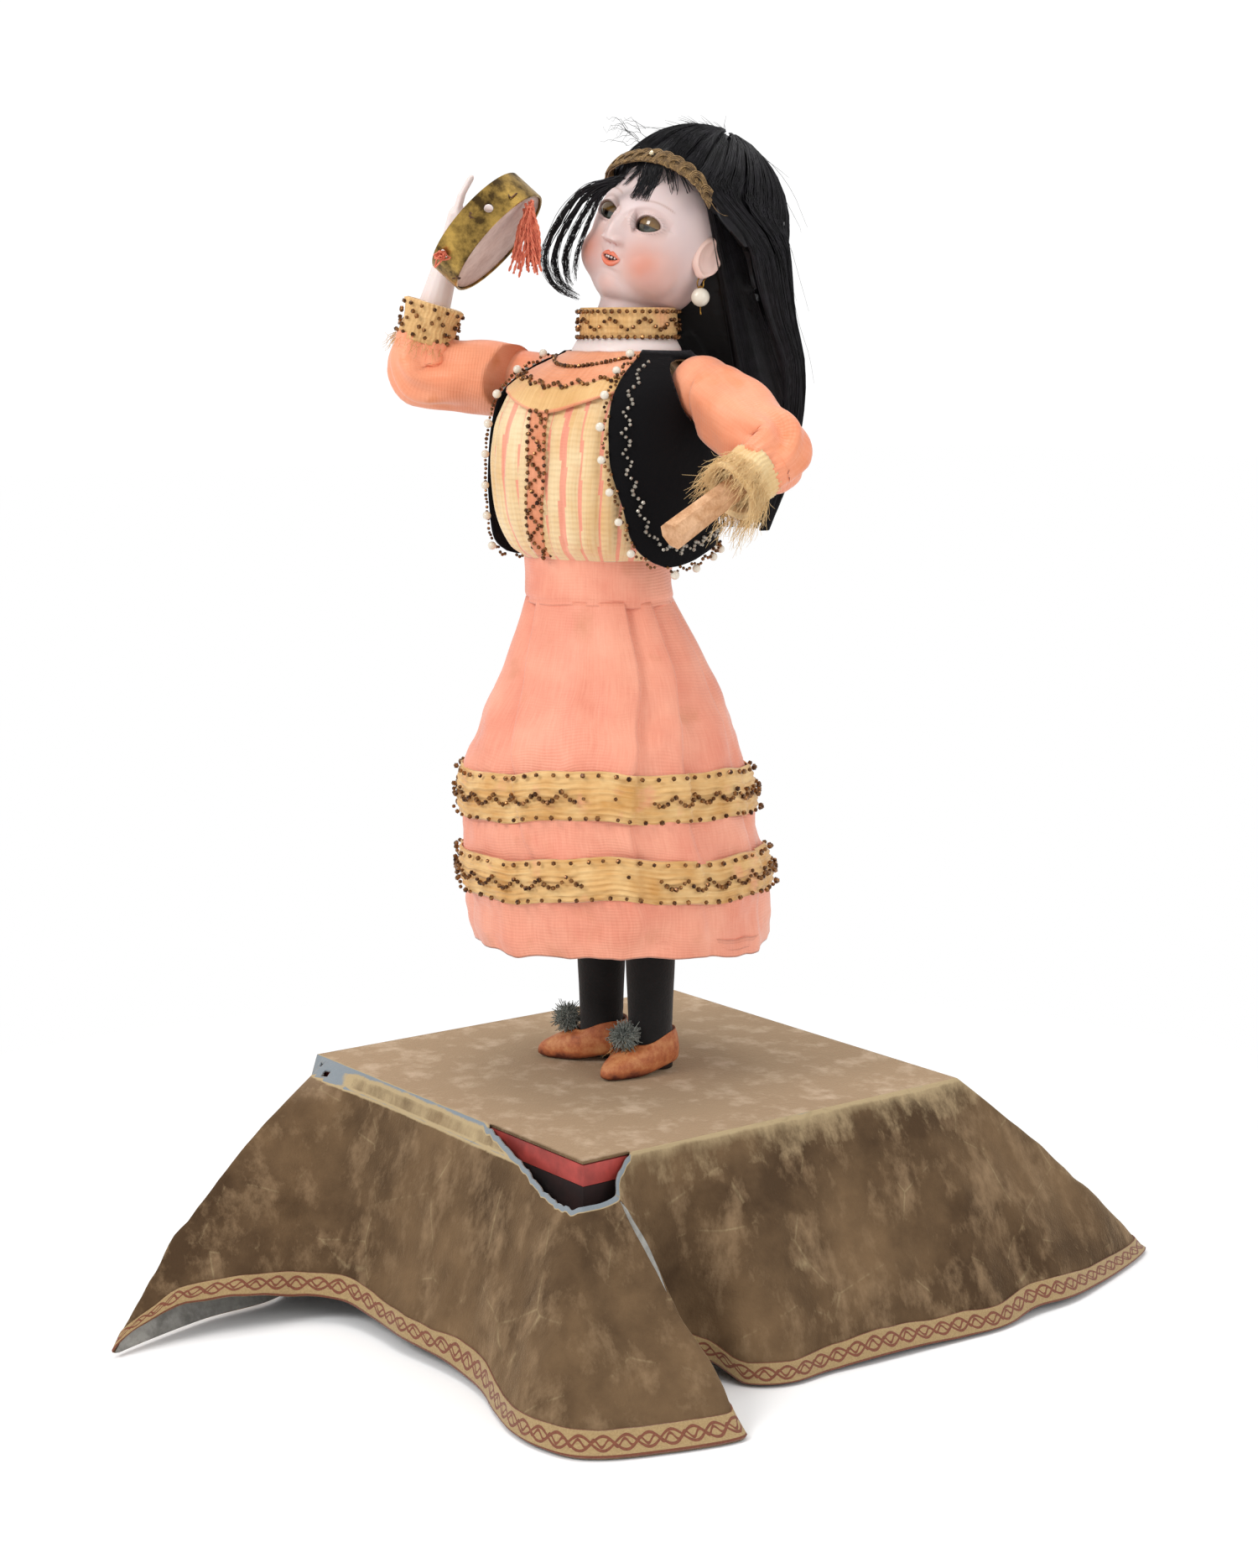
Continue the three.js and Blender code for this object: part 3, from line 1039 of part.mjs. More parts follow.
// The body that a lowered sleeve must miss: the vest's outside, unpierced.
const bodyHull = solid(loft(drawnIn(vestRows.map((row) => ({ ...row, points: 12 })), -gap * 8)));
for (const [side, arm] of Object.entries(arms)) {
  const { pivot, sign } = arm;
  const along = (from, dir, reach) => from.clone().addScaledVector(dir, reach);
  arm.upper = arm.upper.clone().normalize();
  arm.fore = arm.fore.clone().normalize();
  arm.elbow = along(pivot, arm.upper, upperArm);
  const coreEnd = side === 'right' ? bisqueStart - gap : cuffStart;
  const rows = (extra) =>
    [along(pivot, arm.upper, 0), along(pivot, arm.upper, upperArm * 0.5),
    along(pivot, arm.upper, upperArm * 0.85),
    along(arm.elbow, arm.fore, cuffStart * 0.25), along(arm.elbow, arm.fore, cuffStart - gap + extra)];
  const core = [pivot, along(pivot, arm.upper, upperArm * 0.5), arm.elbow];
  let coreBody = bar(core[0], core[2], armRadius, 10, armRadius * 0.8)
    .add(ball(core[2], armRadius * 0.8, 8, 6))
    .add(bar(core[2], along(arm.elbow, arm.fore, coreEnd), armRadius * 0.8, 10))
    .subtract(block(v(Math.min(0, sign * shoulderHalf), pivot.y - lugFar * 2, pivot.z - lugFar * 3),
      v(Math.max(0, sign * shoulderHalf), pivot.y + lugFar * 2, pivot.z + lugFar * 3)))
    .subtract(block(v(pivot.x - lugRadius - gap * 2, pivot.y + discThick / 2, pivot.z - lugRadius * 2),
      v(pivot.x + lugRadius + gap * 2, pivot.y + lugFar * 2, pivot.z + lugRadius * 2)))
    .subtract(block(v(pivot.x - lugRadius - gap * 2, pivot.y - lugFar * 2, pivot.z - lugRadius * 2),
      v(pivot.x + lugRadius + gap * 2, pivot.y - discThick / 2, pivot.z + lugRadius * 2)))
    .add(bar(v(pivot.x, pivot.y - discThick / 2, pivot.z), v(pivot.x, pivot.y + discThick / 2, pivot.z),
      lugRadius, 14))
    .add(bar(v(pivot.x, pivot.y - lugFar, pivot.z), v(pivot.x, pivot.y + lugFar, pivot.z), trunnionRadius, 8))
    .add(block(v(Math.min(pivot.x, pivot.x - sign * hornReach), hornY[side] - hornThick / 2,
      pivot.z - hornDepth / 2),
      v(Math.max(pivot.x, pivot.x - sign * hornReach), hornY[side] + hornThick / 2,
        pivot.z + hornDepth / 2)));
  if (side === 'left') {
    coreBody = coreBody
      .add(bar(along(arm.elbow, arm.fore, 0), along(arm.elbow, arm.fore, leftFore), stubRadius * 0.8, 8,
      stubRadius));
  }
  piece(`${side}_arm_core`, shape(eased(coreBody)), beech, figure);

  const radii = [sleeveRadius, sleeveRadius * 1.06, elbowRadius, elbowRadius * 0.97, cuffRadius];
  const inner = radii.map((r) => r - (sleeveRadius - sleeveInner));
  const outward = block(v(pivot.x - upperArm * 2, pivot.y - upperArm, pivot.z - upperArm * 1.5),
    v(pivot.x + upperArm * 2, pivot.y + upperArm, pivot.z + upperArm * 1.5));
  const open = sign > 0
    ? block(v(pivot.x - upperArm, pivot.y - upperArm, pivot.z - upperArm),
      v(pivot.x - torsoWall, pivot.y + upperArm, pivot.z + upperArm))
    : block(v(pivot.x + torsoWall, pivot.y - upperArm, pivot.z - upperArm),
      v(pivot.x + upperArm, pivot.y + upperArm, pivot.z + upperArm));
  let sleeveBody = limb(rows(0), radii, 12).add(ball(pivot, sleeveRadius, 12, 8)).intersect(outward)
    .subtract(limb(rows(over), inner, 10)).subtract(ball(pivot, sleeveInner, 10, 6)).subtract(open)
    .subtract(bar(along(arm.elbow, arm.fore, cuffStart - gap),
      along(arm.elbow, arm.fore, cuffStart + cuffRadius), cuffRadius * 1.5, 16));
  const keepOut = bodyHull.subtract(ball(pivot, sleeveRadius, 13, 9));
  for (const share of [0, 1]) {
    const turn = THREE.MathUtils.radToDeg(-sign * arm.drop * share);
    sleeveBody = sleeveBody
      .subtract(keepOut.translate(-pivot.x, -pivot.y, -pivot.z).rotate(0, turn, 0)
      .translate(pivot.x, pivot.y, pivot.z));
  }
  piece(`${side}_sleeve`, shape(eased(sleeveBody, easing * 2.5)), peachSilk, figure);

  const cuffFrom = along(arm.elbow, arm.fore, cuffStart);
  const cuffTo = along(arm.elbow, arm.fore, cuffStart + cuffLength);
  const cuffBody = bar(cuffFrom, cuffTo, cuffRadius, 14, cuffRadius * 0.96)
    .subtract(bar(along(cuffFrom, arm.fore, -over), along(cuffTo, arm.fore, over), cuffInner, 12));
  piece(`${side}_cuff`, shape(cuffBody), strawRibbon, figure);
}

// Right hand: forearm, palm and fingers, the forefinger up and the others bent round the hoop's rim.
const hand = arms.right;
const foreAt = (reach) => hand.elbow.clone().addScaledVector(hand.fore, reach);
const hoopNormal = hoopFacing.clone().normalize();
const hoopCentre = v(pivots.right.x + hoopOut, pivots.right.y - hoopAhead, pivots.right.z + hoopRise);
const hoopSpin = new THREE.Quaternion().setFromUnitVectors(v(0, 0, 1), hoopNormal);
const hoopTurn = new THREE.Matrix4().makeRotationFromQuaternion(hoopSpin).setPosition(hoopCentre);
const inHoop = (body) => body.transform(hoopTurn.elements);
const hoopSolid = (extra) =>
  bar(v(0, 0, -hoopDepth / 2 - extra), v(0, 0, hoopDepth / 2 + extra), hoopRadius + extra, 28)
  .subtract(bar(v(0, 0, -hoopDepth), v(0, 0, hoopDepth), hoopRadius - hoopThick - extra, 28));
const wrist = foreAt(rightFore - palmLength);
const across = hoopNormal.clone().cross(hand.fore).normalize();
const inward = hoopNormal.clone().addScaledVector(hand.fore, -hoopNormal.dot(hand.fore)).normalize();
const palmEnd = foreAt(rightFore);
const beside = (from, side, up, over) => from.clone().addScaledVector(across, side)
  .addScaledVector(hand.fore, up).addScaledVector(inward, over);
let handBody = bar(foreAt(bisqueStart), wrist, bisqueRadius, 14, wristRadius * 0.9)
  .add(ball(wrist, wristRadius * 0.9, 8, 6));
for (const side of [-0.25, 0.25]) handBody = handBody
  .add(capsule(beside(wrist, side * palmWidth * 0.5, 0, 0), beside(palmEnd, side * palmWidth, 0, 0),
  palmThick / 2, 7));
// Fingers, as shares of the palm's width and a finger's length: side, then each joint's rise and reach
// inward.
const fingerShares = [
  [0.4, [0.5, 0], [1, 0.12]], [0.14, [0.35, 0.35], [0.42, 0.95]], [-0.14, [0.3, 0.4], [0.3, 1]],
    [-0.4, [0.2, 0.4], [0.15, 0.95]],
];
for (const [side, knuckleShare, tipShare] of fingerShares) {
  const base = beside(palmEnd, side * palmWidth, 0, 0);
  const knuckle = beside(base, 0, knuckleShare[0] * fingerLength, knuckleShare[1] * fingerLength);
  const tip = beside(base, 0, tipShare[0] * fingerLength, tipShare[1] * fingerLength);
  handBody = handBody.add(capsule(base, knuckle, fingerRadius, 5))
    .add(capsule(knuckle, tip, fingerRadius * 0.85, 5));
}
handBody = handBody
  .add(capsule(beside(wrist, palmWidth * 0.3, palmLength * 0.3, 0),
  beside(wrist, palmWidth * 0.45, palmLength * 0.7, palmThick), fingerRadius, 5))
  .subtract(inHoop(hoopSolid(gap)))
  .subtract(inHoop(bar(v(0, 0, hoopDepth / 2 - skinThick - gap * 2), v(0, 0, hoopDepth),
    hoopRadius - hoopThick - gap / 2, 28)));
piece('right_hand', shape(eased(handBody, easing * 2)), bisque, figure);

// Tambourine: a brass hoop with slots, a skin at its lower face and a cord tassel on the rim.
let hoopBody = hoopSolid(0);
for (let i = 0; i < hoopHoles; i += 1) {
  const a = (2 * Math.PI * i) / hoopHoles;
  hoopBody = hoopBody
    .subtract(bar(v(0, 0, 0), v(hoopRadius * 1.2 * Math.cos(a), hoopRadius * 1.2 * Math.sin(a), 0),
    hoopHoleRadius, 5));
}
piece('tambourine_hoop', shape(inHoop(eased(hoopBody, easing / 2))), brass, figure);
const skinRadius = hoopRadius - hoopThick - gap;
const skinLow = hoopDepth / 2 - skinThick - skinCrown;
piece('tambourine_skin',
  shape(inHoop(bar(v(0, 0, skinLow), v(0, 0, skinLow + skinThick), skinRadius, 28))), vellum, figure);
const tasselSide = v(1, 0, 0.6);
const tasselUp = tasselSide.clone().addScaledVector(hoopNormal, -tasselSide.dot(hoopNormal)).normalize();
const tasselTop = hoopCentre.clone().addScaledVector(tasselUp, hoopRadius - tasselKnotRadius)
  .addScaledVector(hoopNormal, hoopDepth / 2 + tasselKnotRadius + gap);
const tasselBody = ball(tasselTop, tasselKnotRadius, 8, 6)
  .add(bar(v(tasselTop.x, tasselTop.y, tasselTop.z - tasselLength), tasselTop, tasselRadius * 0.5, 8,
    tasselKnotRadius * 0.5))
  .subtract(inHoop(hoopSolid(gap)));
piece('tambourine_tassel', shape(largest(tasselBody)), coralCord, figure);

// NECK AND HEAD: the yoke turns in the torso's top, and the head nods on a pin through the yoke's ears.
const headAt = new THREE.Matrix4().makeRotationFromEuler(new THREE.Euler(headTilt, headLean, headTurn,
  'ZYX')).setPosition(0, 0, neckHeight);
const inHead = (body) => body.transform(headAt.elements);
const fromHead = (body) => body.transform(headAt.clone().invert().elements);
const headGroup = new THREE.Group();
headGroup.applyMatrix4(headAt);
figure.add(headGroup);
const yokeLow = neckBaseHeight - yokeShaftLength + gap;
let yoke = bar(v(0, 0, yokeLow), v(0, 0, neckHeight - yokeEarHalf), yokeShaftRadius, 16)
  .add(bar(v(0, 0, neckBaseHeight + gap), v(0, 0, neckBaseHeight + gap + yokeFlangeThick),
    yokeFlangeRadius, 20))
  .add(block(v(-turnArmReach, -turnArmWidth - torsoWall, yokeLow), v(0, -torsoWall, yokeLow + turnArmWidth)));
for (const sign of [-1, 1]) {
  const x = sign * yokeEarHalf;
  yoke = yoke.add(inHead(bar(v(x - yokeEarThick / 2, 0, 0), v(x + yokeEarThick / 2, 0, 0),
    yokeFlangeThick * 2, 10)
    .add(block(v(x - yokeEarThick / 2, -yokeFlangeThick * 1.5,
      -neckHeight + neckBaseHeight + yokeFlangeThick), v(x + yokeEarThick / 2, yokeFlangeThick * 1.5, 0)))
    .subtract(bar(v(x - yokeEarThick, 0, 0), v(x + yokeEarThick, 0, 0), nodPinRadius + gap, 8))));
}
piece('neck_yoke', shape(eased(yoke, easing / 2)), brass, figure);

const skullAt = v(0, 0, headRise);
const skull = (extra) => ovoid(skullAt, headHalf + extra, headFront + extra, headTall + extra, 16, 12)
  .add(ovoid(v(0, headBack - headFront, headRise + headTall * 0.15), headHalf + extra, headFront + extra,
    headTall * 0.8 + extra, 12, 8));
const featureShares = [
  // side, height from the skull's middle and reach forward, then half width, depth and height, in skull
  // halves
  [0, -0.12, -0.97, 0.16, 0.24, 0.17], [0, -0.45, -0.86, 0.24, 0.16, 0.11],
    [0, -0.74, -0.62, 0.3, 0.22, 0.17],
  [0, -0.33, -0.6, 0.74, 0.3, 0.3],
  [-1, -0.08, 0.1, 0.12, 0.2, 0.24], [1, -0.08, 0.1, 0.12, 0.2, 0.24],
];
const features = (extra) => featureShares
  .reduce((all, [x, z, y, w, d, h]) => all.add(ovoid(v(x * headHalf, y * headFront, headRise + z * headTall),
  w * headHalf + extra, d * headFront + extra, h * headTall + extra, 8, 5)), skull(extra));
const collarZone =
  fromHead(bar(v(0, 0, neckBaseHeight), v(0, 0, neckBaseHeight + collarHeight + gap * 3),
  collarRadius + gap * 2, 24)
  .subtract(bar(v(0, 0, neckBaseHeight - over), v(0, 0, neckBaseHeight + collarHeight * 2),
    collarRadius - silkThick * 2, 24)));
let face = features(0).subtract(collarZone);
const eyes = [-1, 1].map((sign) => v(sign * eyeHalf, -eyeDepth, eyeRise));
for (const at of eyes) face = face
  .add(ovoid(at, eyeRadius + eyelidThick, eyeRadius + eyelidThick, eyeRadius, 10, 6));
const lobes = [-1, 1].map((sign) => v(sign * headHalf * 1.05, headFront * 0.1, headRise - headTall * 0.33));
const lobeHole = earringWire + gap * 2;
for (const at of lobes) face = face
  .add(bar(v(at.x, at.y - earringWire * 1.5, at.z), v(at.x, at.y + earringWire * 1.5, at.z), lobeRadius, 8));
face = face.add(bar(v(0, 0, -neckBelow), v(0, 0, neckAbove), neckRadius, 16));
face = face.subtract(ovoid(skullAt, headHalf - bisqueWall, headFront - bisqueWall, headTall - bisqueWall,
  12, 8)).subtract(bar(v(0, 0, -neckBelow - over), v(0, 0, neckAbove + bisqueWall),
  neckRadius - bisqueWall, 12));
for (const at of eyes) {
  face = face.subtract(ball(at, eyeRadius + gap * 3.2, 10, 8))
    .subtract(bar(v(at.x, at.y, at.z), v(at.x, -headFront - lidTall * 2, at.z), lidTall,
      10).scale([lidHalf / lidTall, 1, 1])
      .translate(at.x * (1 - lidHalf / lidTall), 0, 0));
}
const earringLoop = (at, wire, sides) => {
  const hook = at.clone().applyMatrix4(headAt);
  return solid(new THREE.TorusGeometry(earringRing, wire, sides, sides * 2).rotateY(Math.PI / 2)
    .rotateZ(headTurn).translate(hook.x, hook.y, hook.z - earringRing));
};
for (const at of lobes) {
  face = face.subtract(bar(v(at.x, at.y - headFront * 0.3, at.z), v(at.x, at.y + headFront * 0.3, at.z),
    lobeHole, 8))
    .subtract(fromHead(earringLoop(at, earringWire + gap * 1.5, 6)));
}
face = face.add(bar(v(-neckRadius + over, 0, 0), v(neckRadius - over, 0, 0), nodPinRadius, 10));
piece('head', shape(eased(face, easing * 2.5)), bisque, headGroup);

// Sleep eyes: two glass balls on a wire with a lead weight that hangs plumb.
const plumb = v(0, 0, -1).applyMatrix4(headAt.clone().setPosition(0, 0, 0).invert());
const plumbInPlane = v(0, plumb.y, plumb.z).normalize();
const leadAt = v(0, -eyeDepth, eyeRise).addScaledVector(plumbInPlane, rockerDrop);
const rocker = ball(eyes[0], eyeRadius, 12, 6).add(ball(eyes[1], eyeRadius, 12, 6))
  .add(bar(eyes[0], eyes[1], rockerRadius, 8))
  .add(bar(v(0, -eyeDepth, eyeRise), leadAt, rockerRadius, 8))
  .add(ball(leadAt, leadRadius, 8, 6));
piece('sleep_eyes', shape(rocker), eyeGlass, headGroup);

// Earrings: a wire ring through the lobe and a pearl, hung plumb.
for (const [side, at] of [['right', lobes[0]], ['left', lobes[1]]]) {
  const hook = at.clone().applyMatrix4(headAt);
  const ringBody = earringLoop(at, earringWire, 4)
    .add(ball(v(hook.x, hook.y, hook.z - earringRing * 2 - pearlRadius + earringWire), pearlRadius, 8, 6));
  piece(`${side}_earring`, shape(ringBody), pearl, figure);
}

// WIG: a cap over the skull and a fall of hair behind the neck, with the face, the ears and the shoulders
// left free.
const fallShares = [
  // height from neck to ends, then middle x, y, half width and half depth, in wig halves
  [-0.35, 0.2, 0.65, 1.05, 0.7], [0, 0.28, 0.88, 1.05, 0.5], [0.2, 0.36, 1.02, 1.04, 0.42],
    [0.42, 0.36, 1.12, 0.97, 0.36],
  [0.72, 0.46, 1.1, 0.72, 0.28], [1, 0.56, 1.0, 0.46, 0.18],
];
const fallRows = rowsOf(fallShares.toReversed(), neckHeight, wigDrop, (x, y, w, d) => ({
  x: x * wigHalf, y: y * wigDeep, half: w * wigHalf, front: d * wigDeep, points: 16,
}));
const wigBody = ovoid(wigCentre, wigHalf, wigDeep, wigTall, 18, 12)
  .add(fromHead(solid(loft(fallRows.map(ring)))))
  .subtract(skull(gap * 8))
  .subtract(ovoid(v(0, headFront * 0.1, headRise), headHalf * 1.2 + gap * 6, headFront * 0.3 + gap * 6,
    headTall * 0.4 + gap * 6, 12, 8))
  .subtract(block(v(-headHalf * 0.88, -wigDeep * 2, -headTall),
    v(headHalf * 0.88, -headFront * 0.2, headRise + headTall * 0.5)))
  .subtract(block(v(-headHalf * 0.8, -wigDeep * 2, -headTall * 3),
    v(wigHalf * 2, headFront * 0.45, headRise - headTall * 0.05)))
  .subtract(block(v(-wigHalf * 2, -headFront * 0.35, -headTall * 3),
    v(-headHalf * 0.7, headFront * 0.45, headRise - headTall * 0.05)))
  .subtract(fromHead(block(v(-wigHalf * 3, -wigDeep * 3, wigDrop - wigTall),
    v(wigHalf * 3, blouseBack + torsoWall, neckHeight + collarHeight * 0.8))))
  .subtract(bar(v(0, 0, -neckRadius * 2), v(0, 0, headRise), neckRadius + over, 16));
piece('wig', shape(eased(wigBody, easing * 4)), mohair, headGroup);

// Headband: gimp laid on the hair across the forehead.
const gimpLift = gap * 3;
const bandShell = ovoid(wigCentre, wigHalf + gimpLift + gimpThick, wigDeep + gimpLift + gimpThick,
  wigTall + gimpLift + gimpThick, 18, 12)
  .subtract(ovoid(wigCentre, wigHalf + gimpLift, wigDeep + gimpLift, wigTall + gimpLift, 18, 12));
const bandSlab = block(v(-wigHalf * 2, -wigDeep * 2, headRise + headTall * 0.78 - gimpWidth / 2),
  v(wigHalf * 2, 0, headRise + headTall * 0.78 + gimpWidth / 2));
piece('headband', shape(largest(bandShell.intersect(bandSlab))), gimp, headGroup);

export default doll;
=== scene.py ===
import math

import bpy
import numpy as np
from mathutils import Matrix, Vector, noise


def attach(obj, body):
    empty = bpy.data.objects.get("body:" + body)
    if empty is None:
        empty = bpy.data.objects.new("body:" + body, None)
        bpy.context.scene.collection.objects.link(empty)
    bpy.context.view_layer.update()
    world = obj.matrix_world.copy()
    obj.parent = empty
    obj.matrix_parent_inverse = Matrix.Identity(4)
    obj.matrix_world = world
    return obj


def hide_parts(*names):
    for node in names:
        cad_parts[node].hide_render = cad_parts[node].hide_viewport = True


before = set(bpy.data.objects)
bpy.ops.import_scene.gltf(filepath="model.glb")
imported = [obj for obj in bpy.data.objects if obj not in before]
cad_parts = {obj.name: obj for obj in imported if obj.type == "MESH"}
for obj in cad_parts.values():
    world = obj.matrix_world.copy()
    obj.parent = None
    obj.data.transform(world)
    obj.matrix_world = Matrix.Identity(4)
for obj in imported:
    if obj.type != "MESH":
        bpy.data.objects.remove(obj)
# The creases of the cloth come out the same in every run.
crease_seed = 1796050722
noise.seed_set(crease_seed)
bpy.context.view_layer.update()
mm = 0.001


# CAMERA, FLOOR AND LIGHT
# A long lens at the height of the doll's waist; a white floor sweep and broad soft lamps, as for a catalogue.
camera = bpy.data.objects.new("camera", bpy.data.cameras.new("camera"))
bpy.context.scene.collection.objects.link(camera)
camera.location = (0.9619, -0.7293, 0.4346)
camera.rotation_euler = (math.radians(90 - 9.502), 0, math.radians(52.896))
camera.data.sensor_width = 36
camera.data.lens = 3200 * 36 / 1869
camera.data.clip_end = 30
bpy.context.scene.camera = camera
bpy.context.scene.view_settings.view_transform = "Standard"


def linear(code):
    """A colour given as sRGB hex, as the linear values that nodes take."""
    parts = [int(code[i:i + 2], 16) / 255 for i in (0, 2, 4)]
    return tuple(c / 12.92 if c <= 0.04045 else ((c + 0.055) / 1.055) ** 2.4 for c in parts) + (1.0,)


def add(tree, kind, inputs=None, **settings):
    """One node with its settings; an input is a value or the socket that feeds it."""
    made = tree.nodes.new(kind)
    for name, value in settings.items():
        setattr(made, name, value)
    for name, value in (inputs or {}).items():
        if isinstance(value, bpy.types.NodeSocket):
            tree.links.new(value, made.inputs[name])
        else:
            made.inputs[name].default_value = value
    return made


def material(name, **sockets):
    """A new material with its shader's own sockets set; returns it, its tree and the shader."""
    made = bpy.data.materials.new(name)
    made.use_nodes = True
    tree = made.node_tree
    shader = tree.nodes["Principled BSDF"]
    for socket, value in sockets.items():
        shader.inputs[socket.replace("_", " ")].default_value = value
    return made, tree, shader


# White paper sweep: matt near the doll, so that it holds a soft shadow, and pure white further out.
floor_white, tree, shader = material("studio_floor", Roughness=0.9, Specular_IOR_Level=0.0)
across_floor = add(tree, "ShaderNodeVectorMath", {0: add(tree, "ShaderNodeTexCoord").outputs["Object"]},
                   operation="LENGTH")
far_out = add(tree, "ShaderNodeMapRange", {"Value": across_floor.outputs["Value"], "From Min": 0.22,
                                           "From Max": 0.55})
floor_tone = add(tree, "ShaderNodeMix", {"Factor": far_out.outputs[0], 6: linear("ffffff"),
                                         7: linear("000000")}, data_type="RGBA")
tree.links.new(floor_tone.outputs[2], shader.inputs["Base Color"])
shader.inputs["Emission Color"].default_value = linear("ffffff")
tree.links.new(far_out.outputs[0], shader.inputs["Emission Strength"])
bpy.ops.mesh.primitive_plane_add(size=14, location=(0, 0, -0.0004))
floor = bpy.context.object
floor.name = "studio_floor"
floor.data.materials.append(floor_white)
world = bpy.data.worlds.new("studio")
bpy.context.scene.world = world
world.use_nodes = True
seen = add(world.node_tree, "ShaderNodeLightPath").outputs["Is Camera Ray"]
strength = add(world.node_tree, "ShaderNodeMapRange", {"Value": seen, "To Min": 0.72, "To Max": 1.05})
world.node_tree.links.new(strength.outputs[0], world.node_tree.nodes["Background"].inputs["Strength"])
world.node_tree.nodes["Background"].inputs["Color"].default_value = linear("ffffff")
for name, place, size, power in [
    ("key_lamp", (-0.1, -1.8, 1.6), 0.8, 20),
    ("fill_lamp", (1.9, 0.3, 1.2), 1.2, 8),
    ("top_lamp", (-0.3, 0.2, 2.0), 1.2, 12),
]:
    lamp = bpy.data.objects.new(name, bpy.data.lights.new(name, "AREA"))
    bpy.context.scene.collection.objects.link(lamp)
    lamp.data.size = size
    lamp.data.energy = power
    lamp.location = place
    lamp.rotation_euler = (Vector((0, 0, 0.25)) - Vector(place)).to_track_quat("-Z", "Y").to_euler()


# BASE BOX
# A pine bottom board, four walls made near-black as painted shade for the gap under the torn cloth, and a top
# board painted with red oil paint, nailed together.
# The finishes are scuffed, with darker dirt in broad patches and fine brush relief.
def mottled(name, light, dark, size, roughness, relief=0.0, metallic=0.0, fine=6.0, extra=0.35, **sockets):
    """A finish whose colour drifts between two values over patches of a real size in millimetres."""
    made, tree, shader = material(name, Roughness=roughness, Metallic=metallic, **sockets)
    where = add(tree, "ShaderNodeTexCoord").outputs["Object"]
    broad = add(tree, "ShaderNodeTexNoise", {"Vector": where, "Scale": 1 / (size * mm), "Detail": 6.0,
                                             "Roughness": 0.6})
    small = add(tree, "ShaderNodeTexNoise", {"Vector": where, "Scale": fine / (size * mm), "Detail": 4.0})
    both = add(tree, "ShaderNodeMath", {0: small.outputs["Fac"], 1: extra, 2: broad.outputs["Fac"]},
               operation="MULTIPLY_ADD")
    ramp = add(tree, "ShaderNodeMapRange", {"Value": both.outputs[0], "From Min": 0.35 + extra / 2,
                                            "From Max": 0.65 + extra / 2})
    mix = add(tree, "ShaderNodeMix", {"Factor": ramp.outputs[0], 6: linear(dark), 7: linear(light)},
              data_type="RGBA")
    tree.links.new(mix.outputs[2], shader.inputs["Base Color"])
    if relief:
        bump = add(tree, "ShaderNodeBump", {"Height": small.outputs["Fac"], "Strength": 1.0,
                                            "Distance": relief * mm})
        tree.links.new(bump.outputs[0], shader.inputs["Normal"])
    return made


def dress(names, finish):
    """Gives CAD nodes whose shape is right their finish."""
    for name in names:
        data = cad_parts[name].data
        data.materials.clear()
        data.materials.append(finish)


# Old red paint, a dull brick red with darker grime.
red_oil_paint = mottled("red_oil_paint", "bf4a42", "8a322c", 30, 0.55, 0.15)
# Raw pine, honey-coloured and greyed by handling.
sawn_pine = mottled("sawn_pine", "c49b66", "94703f", 12, 0.75, 0.2)
# Pine walls made almost black as painted shade for the gap under the torn cloth, matt, with a faint red
# showing through.
case_walls_painted_shade = mottled("near_black_case_painted_shade", "2e1613", "140a09", 25, 0.8, 0.15)
dress(["base_top"], red_oil_paint)
dress(["base_case"], case_walls_painted_shade)
dress(["base_bottom"], sawn_pine)


# MOVEMENT, CAMS AND MUSIC WORK
# Brass plates and wheels, filed and lacquered long ago, and steel arbors, rods and comb with an oily skin.

# Yellow metal gone brown in patches, half shiny.
tarnished_brass = mottled("tarnished_brass", "b3924e", "6d5227", 9, 0.38, 0.02, metallic=1.0)
# Cool grey metal with a dull oily sheen.
oiled_steel = mottled("oiled_steel", "94969a", "5d5e60", 7, 0.36, 0.02, metallic=1.0)
dress(["left_plate", "right_plate", "spring_barrel", "second_wheel", "air_brake", "stop_wire",
       "right_arm_cam", "head_turn_cam", "head_nod_cam", "left_arm_cam", "right_arm_lever",
       "head_turn_lever", "head_nod_lever", "left_arm_lever", "music_cylinder", "music_bedplate",
       "neck_yoke"], tarnished_brass)
dress(["winding_arbor", "ratchet_click", "winding_key", "cam_shaft", "right_arm_rod", "head_turn_rod",
       "head_nod_rod", "left_arm_rod", "lever_pivot_rod", "music_comb"], oiled_steel)


